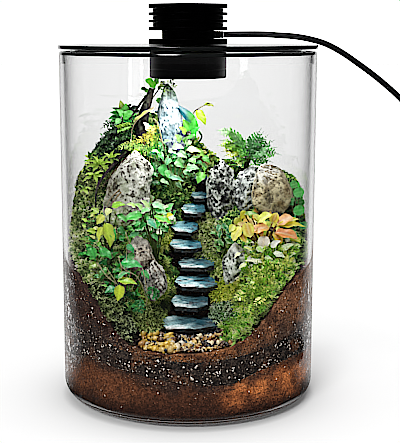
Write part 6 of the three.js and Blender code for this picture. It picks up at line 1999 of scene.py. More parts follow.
# Long leaf on the right of the peak, and the sprig above it.
P = Plant(15)
root = base_of(1, 44)
A, B = at(199, 131, 36), at(175.6, 101, 34)
v, f, T, S = leaf_template("lance", arch=0.34, fold=0.22)
L = np.linalg.norm(B - A)
x = (B - A) / L
n = unit(np.array([0.25, -0.8, 0.45]))
n = unit(n - x * (n @ x))
R = np.stack([x, np.cross(n, x), n], 1)
c = mix(srgb(70, 160, 46), srgb(12, 84, 98), step(0.28, 0.62, T + 0.12 * np.sin(S * 3)))
c = mix(c, srgb(80, 160, 168), 0.5 * step(0.3, 0.0, np.abs(S + 0.25)) * step(0.4, 0.7, T))
P.s.add((v * (L, 9.0, L * 0.5)) @ R.T + A, f, c * 0.85)
P.stem([root, A + (2, 2, -6), A], 0.9, 0.7, srgb(60, 120, 40))
for bx, by, tx, ty, w, col, dd in [
    (190, 131, 183, 119, 8, srgb(96, 190, 60), 34), (193, 132, 195, 118, 9, srgb(60, 170, 52), 30), (192, 136, 198.5, 126, 8, srgb(40, 150, 44), 28),
    (186, 134, 180, 126, 7.5, srgb(140, 196, 66), 30), (188, 138, 196, 134, 6, srgb(66, 160, 60), 26),
]:
    P.px("ovate", bx, by, tx, ty, w, dd, col * 0.85, lean=3)
q = [at(191, 118, 38), at(195, 111, 38), at(201, 107, 37), at(206, 104.6, 37)]
P.stem([root + (1, 0, 2), at(191, 126, 41)] + q, 0.55, 0.3, srgb(96, 96, 44))
P.px("ovate", 205, 104.5, 214.5, 105.3, 4.4, 36, srgb(138, 150, 84) * 0.85, srgb(110, 110, 60), lean=1)
P.px("lance", 204, 105, 209, 101.6, 2.6, 36, srgb(120, 140, 70) * 0.85)
P.px("ovate", 196.5, 109.5, 206.5, 124, 9.6, 35, srgb(136, 170, 44) * 0.85, vein=srgb(170, 190, 90), lean=3)
P.fill(190, 132, 12, 10, 60, ["ovate", "round"], (3, 5.2), [srgb(110, 196, 70), srgb(60, 160, 60), srgb(170, 210, 90)], lift=10, shape=0.7, depth=(15, 70))
P.done("long_leaf_and_sprig", "long_leaf_peak", "leaf_teal")

# Pale-edged creeper below the peak.
P = Plant(16)
root = base_of(-12, 21)
CREEP = [
    (181, 141, 175.5, 134, 9, srgb(140, 190, 100), PALE, 20), (184, 143, 188, 136, 8, srgb(110, 170, 80), PALE, 20),
    (172, 146, 184, 147, 9, srgb(206, 224, 206), WHITE, 16), (168, 150, 177, 153, 7, srgb(196, 216, 196), WHITE, 14),
    (187, 149, 201, 151, 9, srgb(222, 222, 140), srgb(240, 240, 190), 14), (196, 150, 205, 156, 8, srgb(140, 190, 70), None, 14),
    (176, 160, 184, 167, 9.5, srgb(110, 186, 100), PALE, 8), (170, 158, 166, 165, 7.5, srgb(80, 170, 110), PALE, 10),
    (186, 168, 198.5, 167, 12, srgb(96, 176, 96), WHITE, 4), (184, 170, 191, 176, 8, srgb(120, 190, 130), WHITE, 6),
    (202, 163, 207, 169, 6.5, srgb(80, 160, 60), PALE, 12), (203, 172, 197, 183, 10.5, srgb(110, 206, 70), srgb(170, 226, 120), 4),
    (160, 165, 168, 178, 10, srgb(60, 170, 70), srgb(120, 206, 120), 6), (166, 170, 171, 180, 8, srgb(90, 186, 90), PALE, 4),
    (168, 177, 184, 180, 7, srgb(110, 186, 150), WHITE, 2), (150, 150, 158, 156, 8, srgb(110, 190, 150), PALE, 8),
    (158, 152, 164, 160, 8, srgb(70, 170, 90), PALE, 8), (152, 162, 156, 170, 7.5, srgb(60, 140, 70), PALE, 6),
    (150, 172, 158, 176, 7.5, srgb(50, 130, 56), srgb(110, 180, 110), 4), (144, 146, 150, 152, 7, srgb(96, 176, 90), PALE, 10),
    (178, 152, 187, 157, 8, srgb(196, 216, 150), WHITE, 12), (190, 158, 196, 163, 8, srgb(110, 180, 80), PALE, 8),
    (160, 180, 170, 184, 6.5, srgb(160, 206, 170), WHITE, 2), (176, 182, 182, 188, 6, srgb(60, 120, 60), PALE, 2),
    (151, 180, 160, 184, 6, srgb(40, 96, 44), srgb(90, 150, 90), 2), (203, 156, 210, 162, 7, srgb(90, 170, 60), None, 12),
    (163, 142, 170, 140, 7, srgb(150, 200, 160), WHITE, 20), (190, 140, 186, 146, 7, srgb(120, 190, 90), PALE, 18),
]
for bx, by, tx, ty, w, col, edge, dd in CREEP:
    col = np.minimum(np.asarray(col), (0.34, 0.60, 0.30))
    a = P.px("heart", bx, by, tx, ty, w, dd, col * (0.55, 0.62, 0.55), None if edge is None else edge * (0.45, 0.62, 0.42), lean=3)
    if P.rng.uniform() < 0.6:
        P.stem([root + P.rng.normal(0, 1.2, 3) * (1, 1, 0), (root + a) / 2 + (0, -2, 5), a], 0.42, 0.26, srgb(150, 176, 110))
GRS = [srgb(40, 116, 56), srgb(64, 146, 76), srgb(22, 72, 34), srgb(104, 170, 110), srgb(50, 130, 60)]
P.fill(176, 160, 20, 20, 170, ["heart", "round", "ovate"], (3.6, 6.2), GRS, PALE * (0.45, 0.62, 0.45), lift=9, depth=(-6, 38), shape=0.85)
P.fill(160, 168, 13, 18, 150, ["heart", "round"], (3.4, 5.8), GRS, PALE * (0.42, 0.6, 0.42), lift=8, depth=(-10, 38), shape=0.85)
P.fill(196, 166, 11, 16, 70, ["heart", "ovate"], (3.6, 5.8), [srgb(60, 140, 50), srgb(40, 104, 42), srgb(110, 176, 70)], PALE * 0.75, lift=8, depth=(-6, 38), shape=0.8)
P.fill(205, 146, 13, 11, 120, ["lance", "ovate"], (2.2, 3.8), [srgb(206, 200, 96), srgb(150, 176, 60), srgb(96, 150, 50), srgb(226, 214, 140)], lift=8, shape=0.5, depth=(0, 60))
P.fill(180, 142, 13, 7, 34, ["heart", "ovate"], (4.0, 6.0), [srgb(120, 180, 110), srgb(150, 196, 140), srgb(70, 146, 76)], WHITE * (0.6, 0.72, 0.6), lift=10, depth=(5, 50), shape=0.8)
P.done("pale_creeper", "variegated_creeper", "leaf_variegated")

# Yellow fern between wood and tall stone.
P = Plant(17)
root = base_of(-30, 15)
for pts, ln, c, tp, dd in [
    ([(159, 127), (152, 132), (142, 138), (130.5, 144)], 5.2, srgb(206, 200, 60), srgb(226, 214, 80), 8),
    ([(160, 133), (154, 140), (147, 145), (140, 150)], 5.2, srgb(140, 190, 50), srgb(190, 210, 70), 7),
    ([(158, 125), (154, 127), (149, 130), (145, 135)], 4.4, srgb(220, 210, 96), srgb(226, 222, 130), 12),
    ([(158, 140), (152, 147), (145, 151), (139, 155)], 5.4, srgb(84, 186, 56), srgb(150, 206, 76), 5),
    ([(150, 146), (142, 146), (133, 147), (123, 150)], 5.0, srgb(120, 194, 64), srgb(180, 214, 96), 6),
    ([(140, 147), (131, 145), (122, 146), (113, 150)], 5.0, srgb(140, 200, 76), srgb(190, 216, 100), 8),
    ([(146, 141), (138, 141), (129, 143), (120, 144)], 4.6, srgb(176, 206, 76), srgb(206, 216, 100), 10),
    ([(156, 130), (151, 136), (145, 141), (138, 146)], 5.0, srgb(214, 206, 70), srgb(214, 214, 90), 9),
    ([(158, 143), (157, 150), (154, 156), (150, 161)], 5.0, srgb(60, 160, 56), srgb(110, 190, 76), 4),
]:
    q = [at(x, y, dd - 0.6 * k) for k, (x, y) in enumerate(pts)]
    P.frond(q, ln, c * 0.9, tp * 0.9, spacing=1.9, width=0.42, lobes=3)
    P.stem([root, (root + q[0]) / 2 + (0, 0, 3), q[0]], 0.5, 0.3)
P.px("ovate", 149, 131, 144.5, 121.5, 7.5, 14, srgb(206, 214, 190) * 0.85, WHITE * 0.9)
P.px("lance", 150, 150, 160, 152, 5, 4, srgb(214, 222, 150) * 0.85, WHITE * 0.9)
P.fill(147, 146, 12, 11, 90, ["ovate", "lance"], (3.0, 5.0), [srgb(150, 200, 70), srgb(90, 180, 60), srgb(206, 210, 90), srgb(50, 120, 50)], lift=8, shape=0.55, depth=(0, 45))
P.done("yellow_fern", "yellow_fern_left", "leaf_lime")

# Veined leaves in front of the tall stone.
P = Plant(18)
root = base_of(-24, -18)
for bx, by, tx, ty, w, col, edge, dd in [
    (143, 209, 136, 203, 8, srgb(140, 190, 110), PALE, -33), (150, 208, 142, 199.5, 8, srgb(170, 206, 130), PALE, -33), (152, 203, 164, 208.5, 9, srgb(110, 184, 120), PALE, -33),
    (141, 211, 150, 208.5, 9, srgb(120, 190, 120), WHITE, -36), (155, 210, 167, 212, 7, srgb(90, 176, 110), PALE, -35), (143, 214, 124, 218, 11.5, srgb(60, 166, 60), srgb(130, 206, 120), -38),
    (154, 216, 172, 222, 9.5, srgb(96, 190, 70), srgb(206, 206, 80), -38), (166, 216, 172.5, 214, 7, srgb(206, 196, 70), None, -36), (148, 219, 157, 228, 8, srgb(80, 166, 130), PALE, -37),
    (146, 222, 140, 228, 7, srgb(50, 130, 60), None, -35), (160, 226, 168, 231, 6, srgb(60, 130, 60), None, -35), (136, 206, 128, 203, 7, srgb(150, 196, 90), PALE, -32),
    (140, 232, 129, 236, 7, srgb(44, 120, 66), srgb(96, 170, 110), -34), (152, 233, 158, 240, 6.5, srgb(50, 126, 60), None, -34),
]:
    a = P.px("ovate", bx, by, tx, ty, w * 1.08, dd, np.clip(col * 1.05, 0, 0.9), None if edge is None else edge * 0.95, lean=4, serrate=0.08)
    P.stem([root + P.rng.normal(0, 0.8, 3) * (1, 1, 0), (root + a) / 2 + (0, -2, 3), a], 0.5, 0.3)
P.fill(150, 215, 24, 16, 270, ["ovate", "round"], (4.6, 7.6), [srgb(150, 226, 140), srgb(110, 206, 112), srgb(206, 238, 180), srgb(76, 170, 84)], WHITE * 0.98, lift=10, depth=(-60, 5), shape=0.85)
P.fill(144, 234, 22, 14, 90, ["ovate", "round"], (4.0, 6.6), [srgb(64, 156, 76), srgb(44, 116, 54), srgb(120, 196, 106)], PALE * 0.7, lift=6, depth=(-60, 5), shape=0.66)
P.done("veined_leaves", "mint_left", "leaf_green")

# Lime creeping leaves on the left.
P = Plant(19)
root = base_of(-62, -32)
for bx, by, tx, ty, w, col, edge, dd in [
    (112, 206, 125, 203, 9, srgb(130, 196, 50), srgb(170, 210, 90), -40), (111, 208, 107, 215, 8, srgb(196, 206, 130), None, -41), (104, 214, 98, 224, 8, srgb(196, 206, 90), None, -42),
    (106, 222, 113, 247, 13, srgb(170, 196, 60), srgb(196, 210, 90), -44), (104, 226, 98.5, 240, 9, srgb(186, 200, 70), None, -43), (110, 226, 116, 240, 8, srgb(70, 150, 60), None, -42),
    (92, 247, 96, 258, 10, srgb(40, 150, 50), srgb(96, 190, 90), -44), (100, 249, 113, 258, 11, srgb(30, 140, 50), srgb(90, 186, 90), -44), (118, 214, 128, 221, 8, srgb(60, 150, 50), None, -40),
    (100, 212, 92, 208, 7, srgb(150, 180, 80), None, -40), (97, 232, 88, 230, 7, srgb(150, 176, 60), None, -42), (90, 240, 82, 238, 6, srgb(96, 130, 40), None, -40),
    (120, 226, 124, 234, 7, srgb(40, 110, 44), None, -40),
]:
    a = P.px("ovate", bx, by, tx, ty, w, dd, col * 0.85, None if edge is None else edge * 0.9, lean=3)
    P.stem([root + P.rng.normal(0, 0.8, 3) * (1, 1, 0), (root + a) / 2 + (0, -2, 3), a], 0.5, 0.3)
P.fill(104, 222, 20, 24, 110, ["ovate"], (3.0, 5.6), [srgb(170, 206, 90), srgb(120, 176, 66), srgb(70, 136, 60), srgb(206, 222, 130)], lift=6, depth=(-90, -5), shape=0.62)
P.fill(98, 254, 16, 12, 26, ["ovate", "heart"], (5, 8.0), [srgb(50, 160, 60), srgb(34, 120, 50), srgb(90, 180, 80)], lift=6, depth=(-92, -5), shape=0.7)
P.done("lime_creeper", "ground_fig_left", "leaf_lime")

# Low creeper on thin pale stems.
P = Plant(20)
root = base_of(-46, -54)
for bx, by, tx, ty, w, col, edge, dd in [
    (121, 262, 143, 265, 12, srgb(40, 156, 66), srgb(110, 200, 130), -52), (118, 280, 138, 282, 9, srgb(140, 190, 60), srgb(206, 210, 80), -60), (119, 278, 128, 271, 7, srgb(96, 176, 110), PALE, -58),
    (121, 284, 119, 301, 11, srgb(186, 206, 40), srgb(206, 220, 80), -62), (116, 286, 106, 292, 9, srgb(30, 120, 60), None, -60), (127, 244, 135, 252, 8, srgb(40, 130, 70), srgb(90, 170, 110), -48),
    (134, 252, 128, 262, 7, srgb(60, 130, 50), None, -48), (108, 268, 100, 276, 8, srgb(60, 120, 40), None, -54), (98, 262, 90, 268, 7, srgb(110, 140, 50), None, -50),
    (142, 270, 150, 278, 7, srgb(60, 140, 70), None, -56), (110, 300, 104, 308, 7, srgb(50, 100, 40), None, -60),
]:
    a = P.px("ovate", bx, by, tx, ty, w, dd, col * 0.85, None if edge is None else edge * 0.9, lean=3)
    P.stem([root + P.rng.normal(0, 0.8, 3) * (1, 1, 0), (root + a) / 2 + (0, -2, 3), a], 0.45, 0.28, srgb(176, 166, 126))
for pts, dd in [([(119, 256), (124, 268), (136, 275), (142, 284), (147, 298)], -60), ([(143, 268), (146, 282), (148, 296), (146, 306)], -62), ([(98, 262), (108, 276), (118, 284)], -58), ([(126, 232), (132, 246), (140, 252)], -46)]:
    P.stem([at(x, y, dd) for x, y in pts], 0.36, 0.3, srgb(186, 176, 140))
for cx, cy, rad, dd in [(153, 293, 7.0, -64), (140, 306, 7.0, -68)]:
    c0 = at(cx, cy, dd)
    for k in range(46):
        d = unit(P.rng.normal(size=3) * (1, 0.8, 1) + (0, -0.5, 0.35))
        a = c0 + d * rad * 0.5
        P.leaf("round", a, a + unit(d + P.rng.normal(0, 0.5, 3)) * 2.6, 2.4, srgb(40, 120, 60) * P.rng.uniform(0.6, 1.3), srgb(110, 176, 120), normal=d)
P.fill(122, 274, 26, 24, 90, ["ovate", "heart"], (3.6, 6.5), [srgb(40, 120, 56), srgb(70, 150, 70), srgb(24, 76, 40), srgb(120, 180, 90)], lift=6, depth=(-92, -20), shape=0.66)
P.done("low_creeper", "low_creeper_left", "leaf_green")

# Small puckered leaves right of the slates.
P = Plant(21)
root = base_of(28, -12)
for bx, by, tx, ty, w, col, dd in [
    (220, 224, 216.5, 231, 6.5, srgb(96, 180, 120), -22), (222, 223, 227, 230, 6.5, srgb(60, 150, 80), -23), (226, 228, 231, 234, 6.5, srgb(50, 140, 70), -24),
    (221, 230, 219, 238, 6, srgb(60, 136, 66), -25), (225, 234, 233, 240, 7, srgb(70, 150, 90), -26), (224, 238, 236, 245, 7.5, srgb(150, 200, 130), -27),
    (218, 240, 224, 246, 6, srgb(80, 150, 70), -26), (230, 226, 236, 226, 5.5, srgb(110, 176, 90), -22),
]:
    a = P.px("ovate", bx, by, tx, ty, w, dd, col * 0.8, PALE * 0.7, vein=srgb(20, 60, 30), lean=2.5, serrate=0.1, wave=0.3)
    P.stem([root, (root + a) / 2 + (0, -1, 2), a], 0.5, 0.32)
P.fill(222, 234, 12, 14, 70, ["ovate"], (2.6, 4.6), [srgb(90, 160, 90), srgb(50, 120, 60), srgb(150, 196, 130)], PALE * 0.8, lift=6, shape=0.6)
P.done("puckered_leaves", "friendship_plant", "leaf_green")

# Yellow and orange veined leaves.
P = Plant(22)
root = base_of(58, -24)
YEL, ORG, ROSE = srgb(220, 210, 96), srgb(206, 110, 60), srgb(232, 190, 176)
for bx, by, tx, ty, w, col, patch, dd in [
    (241, 226, 232, 240, 11, YEL, None, -36), (234, 224, 229, 232, 7, srgb(196, 206, 90), None, -34), (249, 231, 268, 226, 12, srgb(216, 160, 76), ORG, -38),
    (246, 222, 250, 237, 12, YEL, srgb(226, 150, 50), -38), (256, 222, 270, 213, 11, srgb(206, 214, 90), None, -34), (262, 224, 254, 214, 9, srgb(214, 214, 110), None, -32),
    (276, 224, 291, 216, 13, srgb(222, 150, 96), ROSE, -32), (272, 222, 276, 213, 9, srgb(214, 196, 80), ORG, -32), (276, 226, 303, 224, 8, srgb(222, 206, 66), None, -34),
    (274, 232, 296, 236, 12, srgb(214, 136, 80), ORG, -38), (272, 233, 282, 242, 9, srgb(206, 190, 70), srgb(190, 70, 40), -38), (262, 234, 258, 247, 0.1, YEL, None, -30),
    (264, 235, 262, 248, 12.5, srgb(236, 214, 196), srgb(240, 226, 220), -40), (244, 214, 258, 213, 6, srgb(110, 150, 70), None, -28), (252, 218, 246, 213, 6, srgb(150, 170, 90), None, -28),
    (286, 222, 297, 218, 7, srgb(196, 196, 70), None, -30), (268, 228, 276, 231, 7, srgb(70, 50, 30), None, -30), (240, 233, 246, 242, 8, srgb(196, 190, 60), ORG, -37),
    (288, 236, 299, 241, 8, srgb(180, 186, 60), None, -32), (257, 228, 262, 236, 8, srgb(206, 150, 60), ORG, -39),
]:
    if w < 1:
        continue
    a = P.px("round" if w > 8.5 else "ovate", bx, by, tx, ty, w, dd, col * 0.9, vein=mix(col, srgb(250, 240, 190), 0.5), patch=None if patch is None else patch * 0.95, lean=3)
    P.stem([root + P.rng.normal(0, 1.0, 3) * (1, 1, 0), (root + a) / 2 + (0, -2, 2), a], 0.6, 0.4, srgb(160, 130, 60))
# Pale leaves just below them.
for bx, by, tx, ty, w, col, dd in [
    (262, 262, 245, 259, 7, srgb(216, 226, 180), -46), (270, 247, 279, 240, 8, srgb(214, 230, 204), -44), (280, 250, 292, 243, 8, srgb(196, 220, 170), -42), (272, 252, 284, 256, 8, srgb(206, 226, 190), -46),
    (288, 244, 299, 246, 7, srgb(180, 210, 130), -38), (284, 256, 294, 252, 7, srgb(206, 226, 180), -42), (252, 250, 244, 246, 6.5, srgb(196, 206, 120), -44), (256, 246, 263, 252, 7, srgb(150, 190, 90), -44),
    (240, 252, 234, 257, 6, srgb(206, 214, 150), -42), (264, 256, 272, 262, 6.5, srgb(170, 206, 120), -46), (246, 263, 238, 268, 6, srgb(190, 200, 130), -48),
]:
    a = P.px("ovate", bx, by, tx, ty, w, dd, col * 0.85, WHITE * 0.9, lean=3, serrate=0.12)
    P.stem([root + P.rng.normal(0, 1.0, 3) * (1, 1, 0), (root + a) / 2 + (0, -2, 2), a], 0.5, 0.32, srgb(150, 170, 90))
P.fill(262, 226, 26, 12, 70, ["round", "ovate"], (6.0, 9.5), [srgb(214, 208, 96), srgb(196, 200, 80), srgb(216, 160, 84), srgb(226, 186, 130), srgb(160, 180, 70)], srgb(222, 214, 110), lift=6, shape=0.9)
P.fill(268, 252, 30, 15, 230, ["ovate", "lance"], (3.6, 6.6), [srgb(230, 242, 210), srgb(196, 226, 156), srgb(160, 214, 120), srgb(124, 190, 90)], WHITE, lift=7, shape=0.55)
P.done("gold_veined_leaves", "fittonia_right", "leaf_gold")

# Round leaves against the right glass.
P = Plant(23)
root = base_of(87, -8)
for cx, cy, rad, dd, col in [(298.5, 192, 5.8, -12, srgb(76, 190, 84)), (298, 210, 5.8, -20, srgb(50, 176, 60)), (301, 202, 4.2, -8, srgb(60, 150, 60)), (303, 225, 4.5, -18, srgb(70, 150, 60)), (294, 184, 4.4, -6, srgb(80, 160, 70)), (290, 201, 4.4, -8, srgb(40, 110, 44))]:
    c0 = at(cx, cy, dd)
    for s2 in (0,):
        P.leaf("round", c0 + (-rad * 0.72, 0, -rad * 0.25), c0 + (rad * 0.72, -1.5, rad * 0.25), rad * 1.35, col * 0.55, srgb(90, 180, 96), vein=srgb(110, 190, 110), normal=(0.1, -0.95, 0.3), fold=0.05, arch=0.1)
    P.stem([root, (root + c0) / 2 + (0, 0, 2), c0], 0.45, 0.3)
P.fill(296, 205, 9, 22, 46, ["round", "ovate"], (3.6, 6.0), [srgb(76, 180, 80), srgb(50, 150, 60), srgb(30, 96, 40)], lift=7, shape=0.85, lim=93.5)
P.fill(291, 186, 9, 10, 50, ["lance", "ovate"], (2.4, 4.2), [srgb(90, 130, 60), srgb(40, 76, 34), srgb(150, 180, 100)], lift=6, shape=0.4, lim=93.5)
P.done("coin_leaves", "dollar_creeper_right", "leaf_green")

# Bright feathery fronds on the right bank.
P = Plant(24)
root = base_of(60, -48)
rng = P.rng
for k in range(210):
    u, w = rng.uniform(-1, 1), rng.uniform(-1, 1)
    cx, cy = 274 + 26 * u, 274 + 26 * w - 6 * u
    a = hit(cx, cy, 6.5)
    if a is None or np.hypot(a[0], a[1]) > 91:
        continue
    ang = math.radians(rng.uniform(20, 110)) if rng.uniform() < 0.75 else math.radians(rng.uniform(150, 320))
    ln = rng.uniform(9, 16)
    d = np.array([math.cos(ang), -0.55 + 0.2 * rng.normal(), math.sin(ang) * 0.8]) * ln
    e = a + d
    rr = math.hypot(e[0], e[1])
    if rr > 93.5:
        e[:2] *= 93.5 / rr
    c = mix(srgb(100, 180, 50), srgb(220, 248, 120), rng.uniform() ** 0.7)
    P.frond([a, (a + e) / 2 + (0, -1, 1.6), e], ln * 0.3, c, c * 1.3, spacing=1.9, width=0.46, lobes=1, normal=(0.2 * rng.normal(), -0.75, 0.6))
P.done("bright_spikemoss", "selaginella_right", "leaf_lime")

# Feather moss at the foot of the right bank.
P = Plant(25)
rng = P.rng
for k in range(150):
    cx, cy = 241 + 17 * rng.uniform(-1, 1), 330 + 14 * rng.uniform(-1, 1)
    a = hit(cx, cy, 3.5)
    if a is None or np.hypot(a[0], a[1]) > 91:
        continue
    ang = rng.uniform(0, math.pi)
    ln = rng.uniform(5, 8.5)
    d = np.array([math.cos(ang), -0.5, math.sin(ang) * 0.7 + 0.15]) * ln
    e = a + d
    rr = math.hypot(e[0], e[1])
    if rr > 93.5:
        e[:2] *= 93.5 / rr
    c = mix(srgb(80, 160, 36), srgb(170, 220, 80), rng.uniform()) * 0.85
    P.frond([a, (a + e) / 2 + (0, -0.8, 1.0), e], ln * 0.3, c, c * 1.2, spacing=1.0, width=0.36, lobes=2, normal=(0.2 * rng.normal(), -0.75, 0.6))
P.done("feather_moss", "feather_moss_front", "leaf_lime")

# Ivy and fern behind the peak.
P = Plant(26)
rng = P.rng
root = base_of(-22, 72)
for k in range(44):
    x, y = -22 + 20 * rng.uniform(-1, 1), 73 + 13 * rng.uniform(-1, 1)
    if math.hypot(x, y) > 88:
        continue
    a = np.array([x, y, float(ground(np.array([x]), np.array([y]))[0]) + rng.uniform(5, 22)])
    d = unit(np.array([rng.normal(), 0.9 + 0.3 * rng.normal(), 0.3 * rng.normal()])) * rng.uniform(7, 11)
    if math.hypot(a[0] + d[0], a[1] + d[1]) > 93:
        continue
    P.leaf("heart", a, a + d, rng.uniform(7, 10), mix(srgb(40, 100, 40), srgb(96, 160, 70), rng.uniform()) * 0.8, srgb(150, 190, 120), normal=(0, 0.6, 0.8))
    if k % 2:
        P.stem([root + rng.normal(0, 1.2, 3) * (1, 1, 0), (root + a) / 2 + (0, 0, 4), a], 0.6, 0.35)
P.done("back_ivy_leaves", "back_ivy", "leaf_green")
P = Plant(27)
rng = P.rng
root = base_of(38, 62)
for k in range(13):
    ang = 2 * math.pi * k / 13 + 0.2 * rng.normal()
    ln = rng.uniform(20, 25)
    d = np.array([math.cos(ang) * ln * 0.9, math.sin(ang) * ln * 0.7 + 5, 0])
    e = root + d + (0, 0, 4 + 2 * rng.normal())
    rr = math.hypot(e[0], e[1])
    if rr > 90:
        e[:2] *= 90 / rr
    P.frond([root + (0, 0, 3), root + d * 0.35 + (0, 0, 10), root + d * 0.7 + (0, 0, 11), e], 6.0, srgb(60, 130, 50) * 0.85, srgb(130, 180, 80) * 0.85, spacing=2.2, width=0.4, lobes=4, normal=(0, 0.3, 1))
P.done("back_fern_fronds", "back_fern", "leaf_green")

# ------------------------------------------------------------------ floor, light
def lit(nt, fac, a, b):
    """a + (b - a) * fac, as one node."""
    n = node(nt, "MapRange")
    nt.links.new(fac, n.inputs["Value"])
    n.inputs["To Min"].default_value = a
    n.inputs["To Max"].default_value = b
    return n.outputs[0]


def calc(nt, kind, a, b=None, clamp=False):
    n = node(nt, "Math")
    n.operation = kind
    n.use_clamp = clamp
    for k, v in enumerate((a, b)):
        if isinstance(v, bpy.types.NodeSocket):
            nt.links.new(v, n.inputs[k])
        elif v is not None:
            n.inputs[k].default_value = v
    return n.outputs[0]


def through(nt, path):
    """1 for what is seen through both walls of the jar."""
    far = calc(nt, "GREATER_THAN", path.outputs["Transmission Depth"], 3.5)
    return calc(nt, "MULTIPLY", far, calc(nt, "LESS_THAN", path.outputs["Diffuse Depth"], 0.5))


ra = [0, 0.14, 0.2, 0.3, 0.5, 1, 2, 4, 9]
ang = np.arange(96) / 96 * 2 * np.pi
v = [np.array([[0, 0, 0]])]
for r in ra[1:]:
    v.append(np.stack([r * 1000 * np.cos(ang), r * 1000 * np.sin(ang), ang * 0], 1))
t = [np.stack([np.zeros(96, int), 1 + np.arange(96), 1 + (np.arange(96) + 1) % 96], 1)]
for k in range(len(ra) - 2):
    a, b = 1 + k * 96, 1 + (k + 1) * 96
    i = np.arange(96)
    j = (i + 1) % 96
    t += [np.stack([a + i, b + i, b + j], 1), np.stack([a + i, b + j, a + j], 1)]
me = bpy.data.meshes.new("floor")
me.from_pydata([tuple(p) for p in np.concatenate(v) * MM], [], [tuple(int(q) for q in x) for x in np.concatenate(t)])
floor = bpy.data.objects.new("floor", me)
floor.location.z = -0.0002
bpy.context.scene.collection.objects.link(floor)
# White table that glows a little, so that shadows on it stay light. What glass shows of it is only the part
# behind and under the jar: the room in front and beside is dark.
m, nt, out = new_mat("floor_white")
dif = node(nt, "BsdfDiffuse")
nf = texture(nt, "Noise", 6, 2.0).outputs["Fac"]
nt.links.new(ramp(nt, nf, [(0.3, (0.31, 0.31, 0.31)), (0.7, (0.325, 0.325, 0.325))]), dif.inputs["Color"])
em = node(nt, "Emission")
lp = node(nt, "LightPath")
sep = node(nt, "SeparateXYZ")
nt.links.new(place(nt), sep.inputs[0])
X, Y = sep.outputs[0], sep.outputs[1]
behind = node(nt, "MapRange", interpolation_type="SMOOTHSTEP")
nt.links.new(Y, behind.inputs["Value"])
behind.inputs["From Min"].default_value = -0.03
behind.inputs["From Max"].default_value = 0.06
slope = calc(nt, "DIVIDE", calc(nt, "ABSOLUTE", X), calc(nt, "ADD", calc(nt, "MAXIMUM", Y, 0.0), 0.35))
wide = node(nt, "MapRange", interpolation_type="SMOOTHSTEP")
nt.links.new(slope, wide.inputs["Value"])
wide.inputs["From Min"].default_value = 0.9
wide.inputs["From Max"].default_value = 0.42
back = calc(nt, "MULTIPLY", behind.outputs[0], wide.outputs[0])
rad = calc(nt, "SQRT", calc(nt, "ADD", calc(nt, "MULTIPLY", X, X), calc(nt, "MULTIPLY", Y, Y)))
under = node(nt, "MapRange", interpolation_type="SMOOTHSTEP")
nt.links.new(rad, under.inputs["Value"])
under.inputs["From Min"].default_value = 0.102
under.inputs["From Max"].default_value = 0.092
seen = calc(nt, "MAXIMUM", back, under.outputs[0])
# Straight through both walls the table is seen on every side.
away = node(nt, "MapRange", interpolation_type="SMOOTHSTEP")
nt.links.new(rad, away.inputs["Value"])
away.inputs["From Min"].default_value = 0.125
away.inputs["From Max"].default_value = 0.17
seen = calc(nt, "MAXIMUM", seen, calc(nt, "MULTIPLY", through(nt, lp), away.outputs[0]))
dark = calc(nt, "MULTIPLY", lp.outputs["Is Glossy Ray"], calc(nt, "SUBTRACT", 1.0, seen))
keep = calc(nt, "SUBTRACT", 1.0, calc(nt, "MULTIPLY", dark, 0.94))
# Painted shadow: the table's glow is turned down towards the foot of the jar, a soft shadow painted into its light.
past = calc(nt, "MAXIMUM", calc(nt, "SUBTRACT", rad, 0.099), 0.0)
painted_foot_shadow = calc(nt, "EXPONENT", calc(nt, "MULTIPLY", past, -42.0))
painted_foot_shadow = calc(nt, "MULTIPLY", painted_foot_shadow, calc(nt, "SUBTRACT", 1.0, calc(nt, "MULTIPLY", lp.outputs["Is Glossy Ray"], 1.0)))
# Painted shadow under the jar: inside its foot the table's glow is cut by up to 0.72.
inner = node(nt, "MapRange", interpolation_type="SMOOTHSTEP")
nt.links.new(rad, inner.inputs["Value"])
inner.inputs["From Min"].default_value = 0.104
inner.inputs["From Max"].default_value = 0.094
painted_under_jar_shadow = calc(nt, "SUBTRACT", 1.0, calc(nt, "MULTIPLY", inner.outputs[0], 0.72))
keep = calc(nt, "MULTIPLY", keep, calc(nt, "MULTIPLY", painted_under_jar_shadow, calc(nt, "SUBTRACT", 1.0, calc(nt, "MULTIPLY", painted_foot_shadow, 0.55))))
nt.links.new(calc(nt, "MULTIPLY", keep, lit(nt, lp.outputs["Is Glossy Ray"], 0.66, 0.655)), em.inputs["Strength"])
dull = node(nt, "MixShader")
off = node(nt, "BsdfTransparent")
off.inputs["Color"].default_value = (0.0, 0.0, 0.0, 1)
nt.links.new(dark, dull.inputs[0])
nt.links.new(dif.outputs[0], dull.inputs[1])
nt.links.new(off.outputs[0], dull.inputs[2])
both = node(nt, "AddShader")
nt.links.new(dull.outputs[0], both.inputs[0])
nt.links.new(em.outputs[0], both.inputs[1])
nt.links.new(both.outputs[0], out.inputs["Surface"])
me.materials.append(m)

world = bpy.data.worlds.new("studio")
bpy.context.scene.world = world
world.use_nodes = True
nt = world.node_tree
nt.nodes.clear()
wo = nt.nodes.new("ShaderNodeOutputWorld")
bg = node(nt, "Background")
WORLD = 0.36  # how bright the room is for the light it casts; mirrored it is dark, and seen directly it is white
lp = node(nt, "LightPath")
way = node(nt, "SeparateXYZ")
nt.links.new(node(nt, "TexCoord").outputs["Generated"], way.inputs[0])
ahead = node(nt, "MapRange", interpolation_type="SMOOTHSTEP")
nt.links.new(way.outputs[1], ahead.inputs["Value"])
ahead.inputs["From Min"].default_value = 0.80
ahead.inputs["From Max"].default_value = 0.93
level = lit(nt, lp.outputs["Is Glossy Ray"], WORLD, 0.10)
far = calc(nt, "MULTIPLY", calc(nt, "MULTIPLY", ahead.outputs[0], lp.outputs["Is Glossy Ray"]), 1.0)
level = calc(nt, "MAXIMUM", level, far)
level = calc(nt, "MAXIMUM", level, calc(nt, "MULTIPLY", through(nt, lp), 0.94))
level = calc(nt, "MAXIMUM", level, calc(nt, "MULTIPLY", lp.outputs["Is Camera Ray"], 1.05))
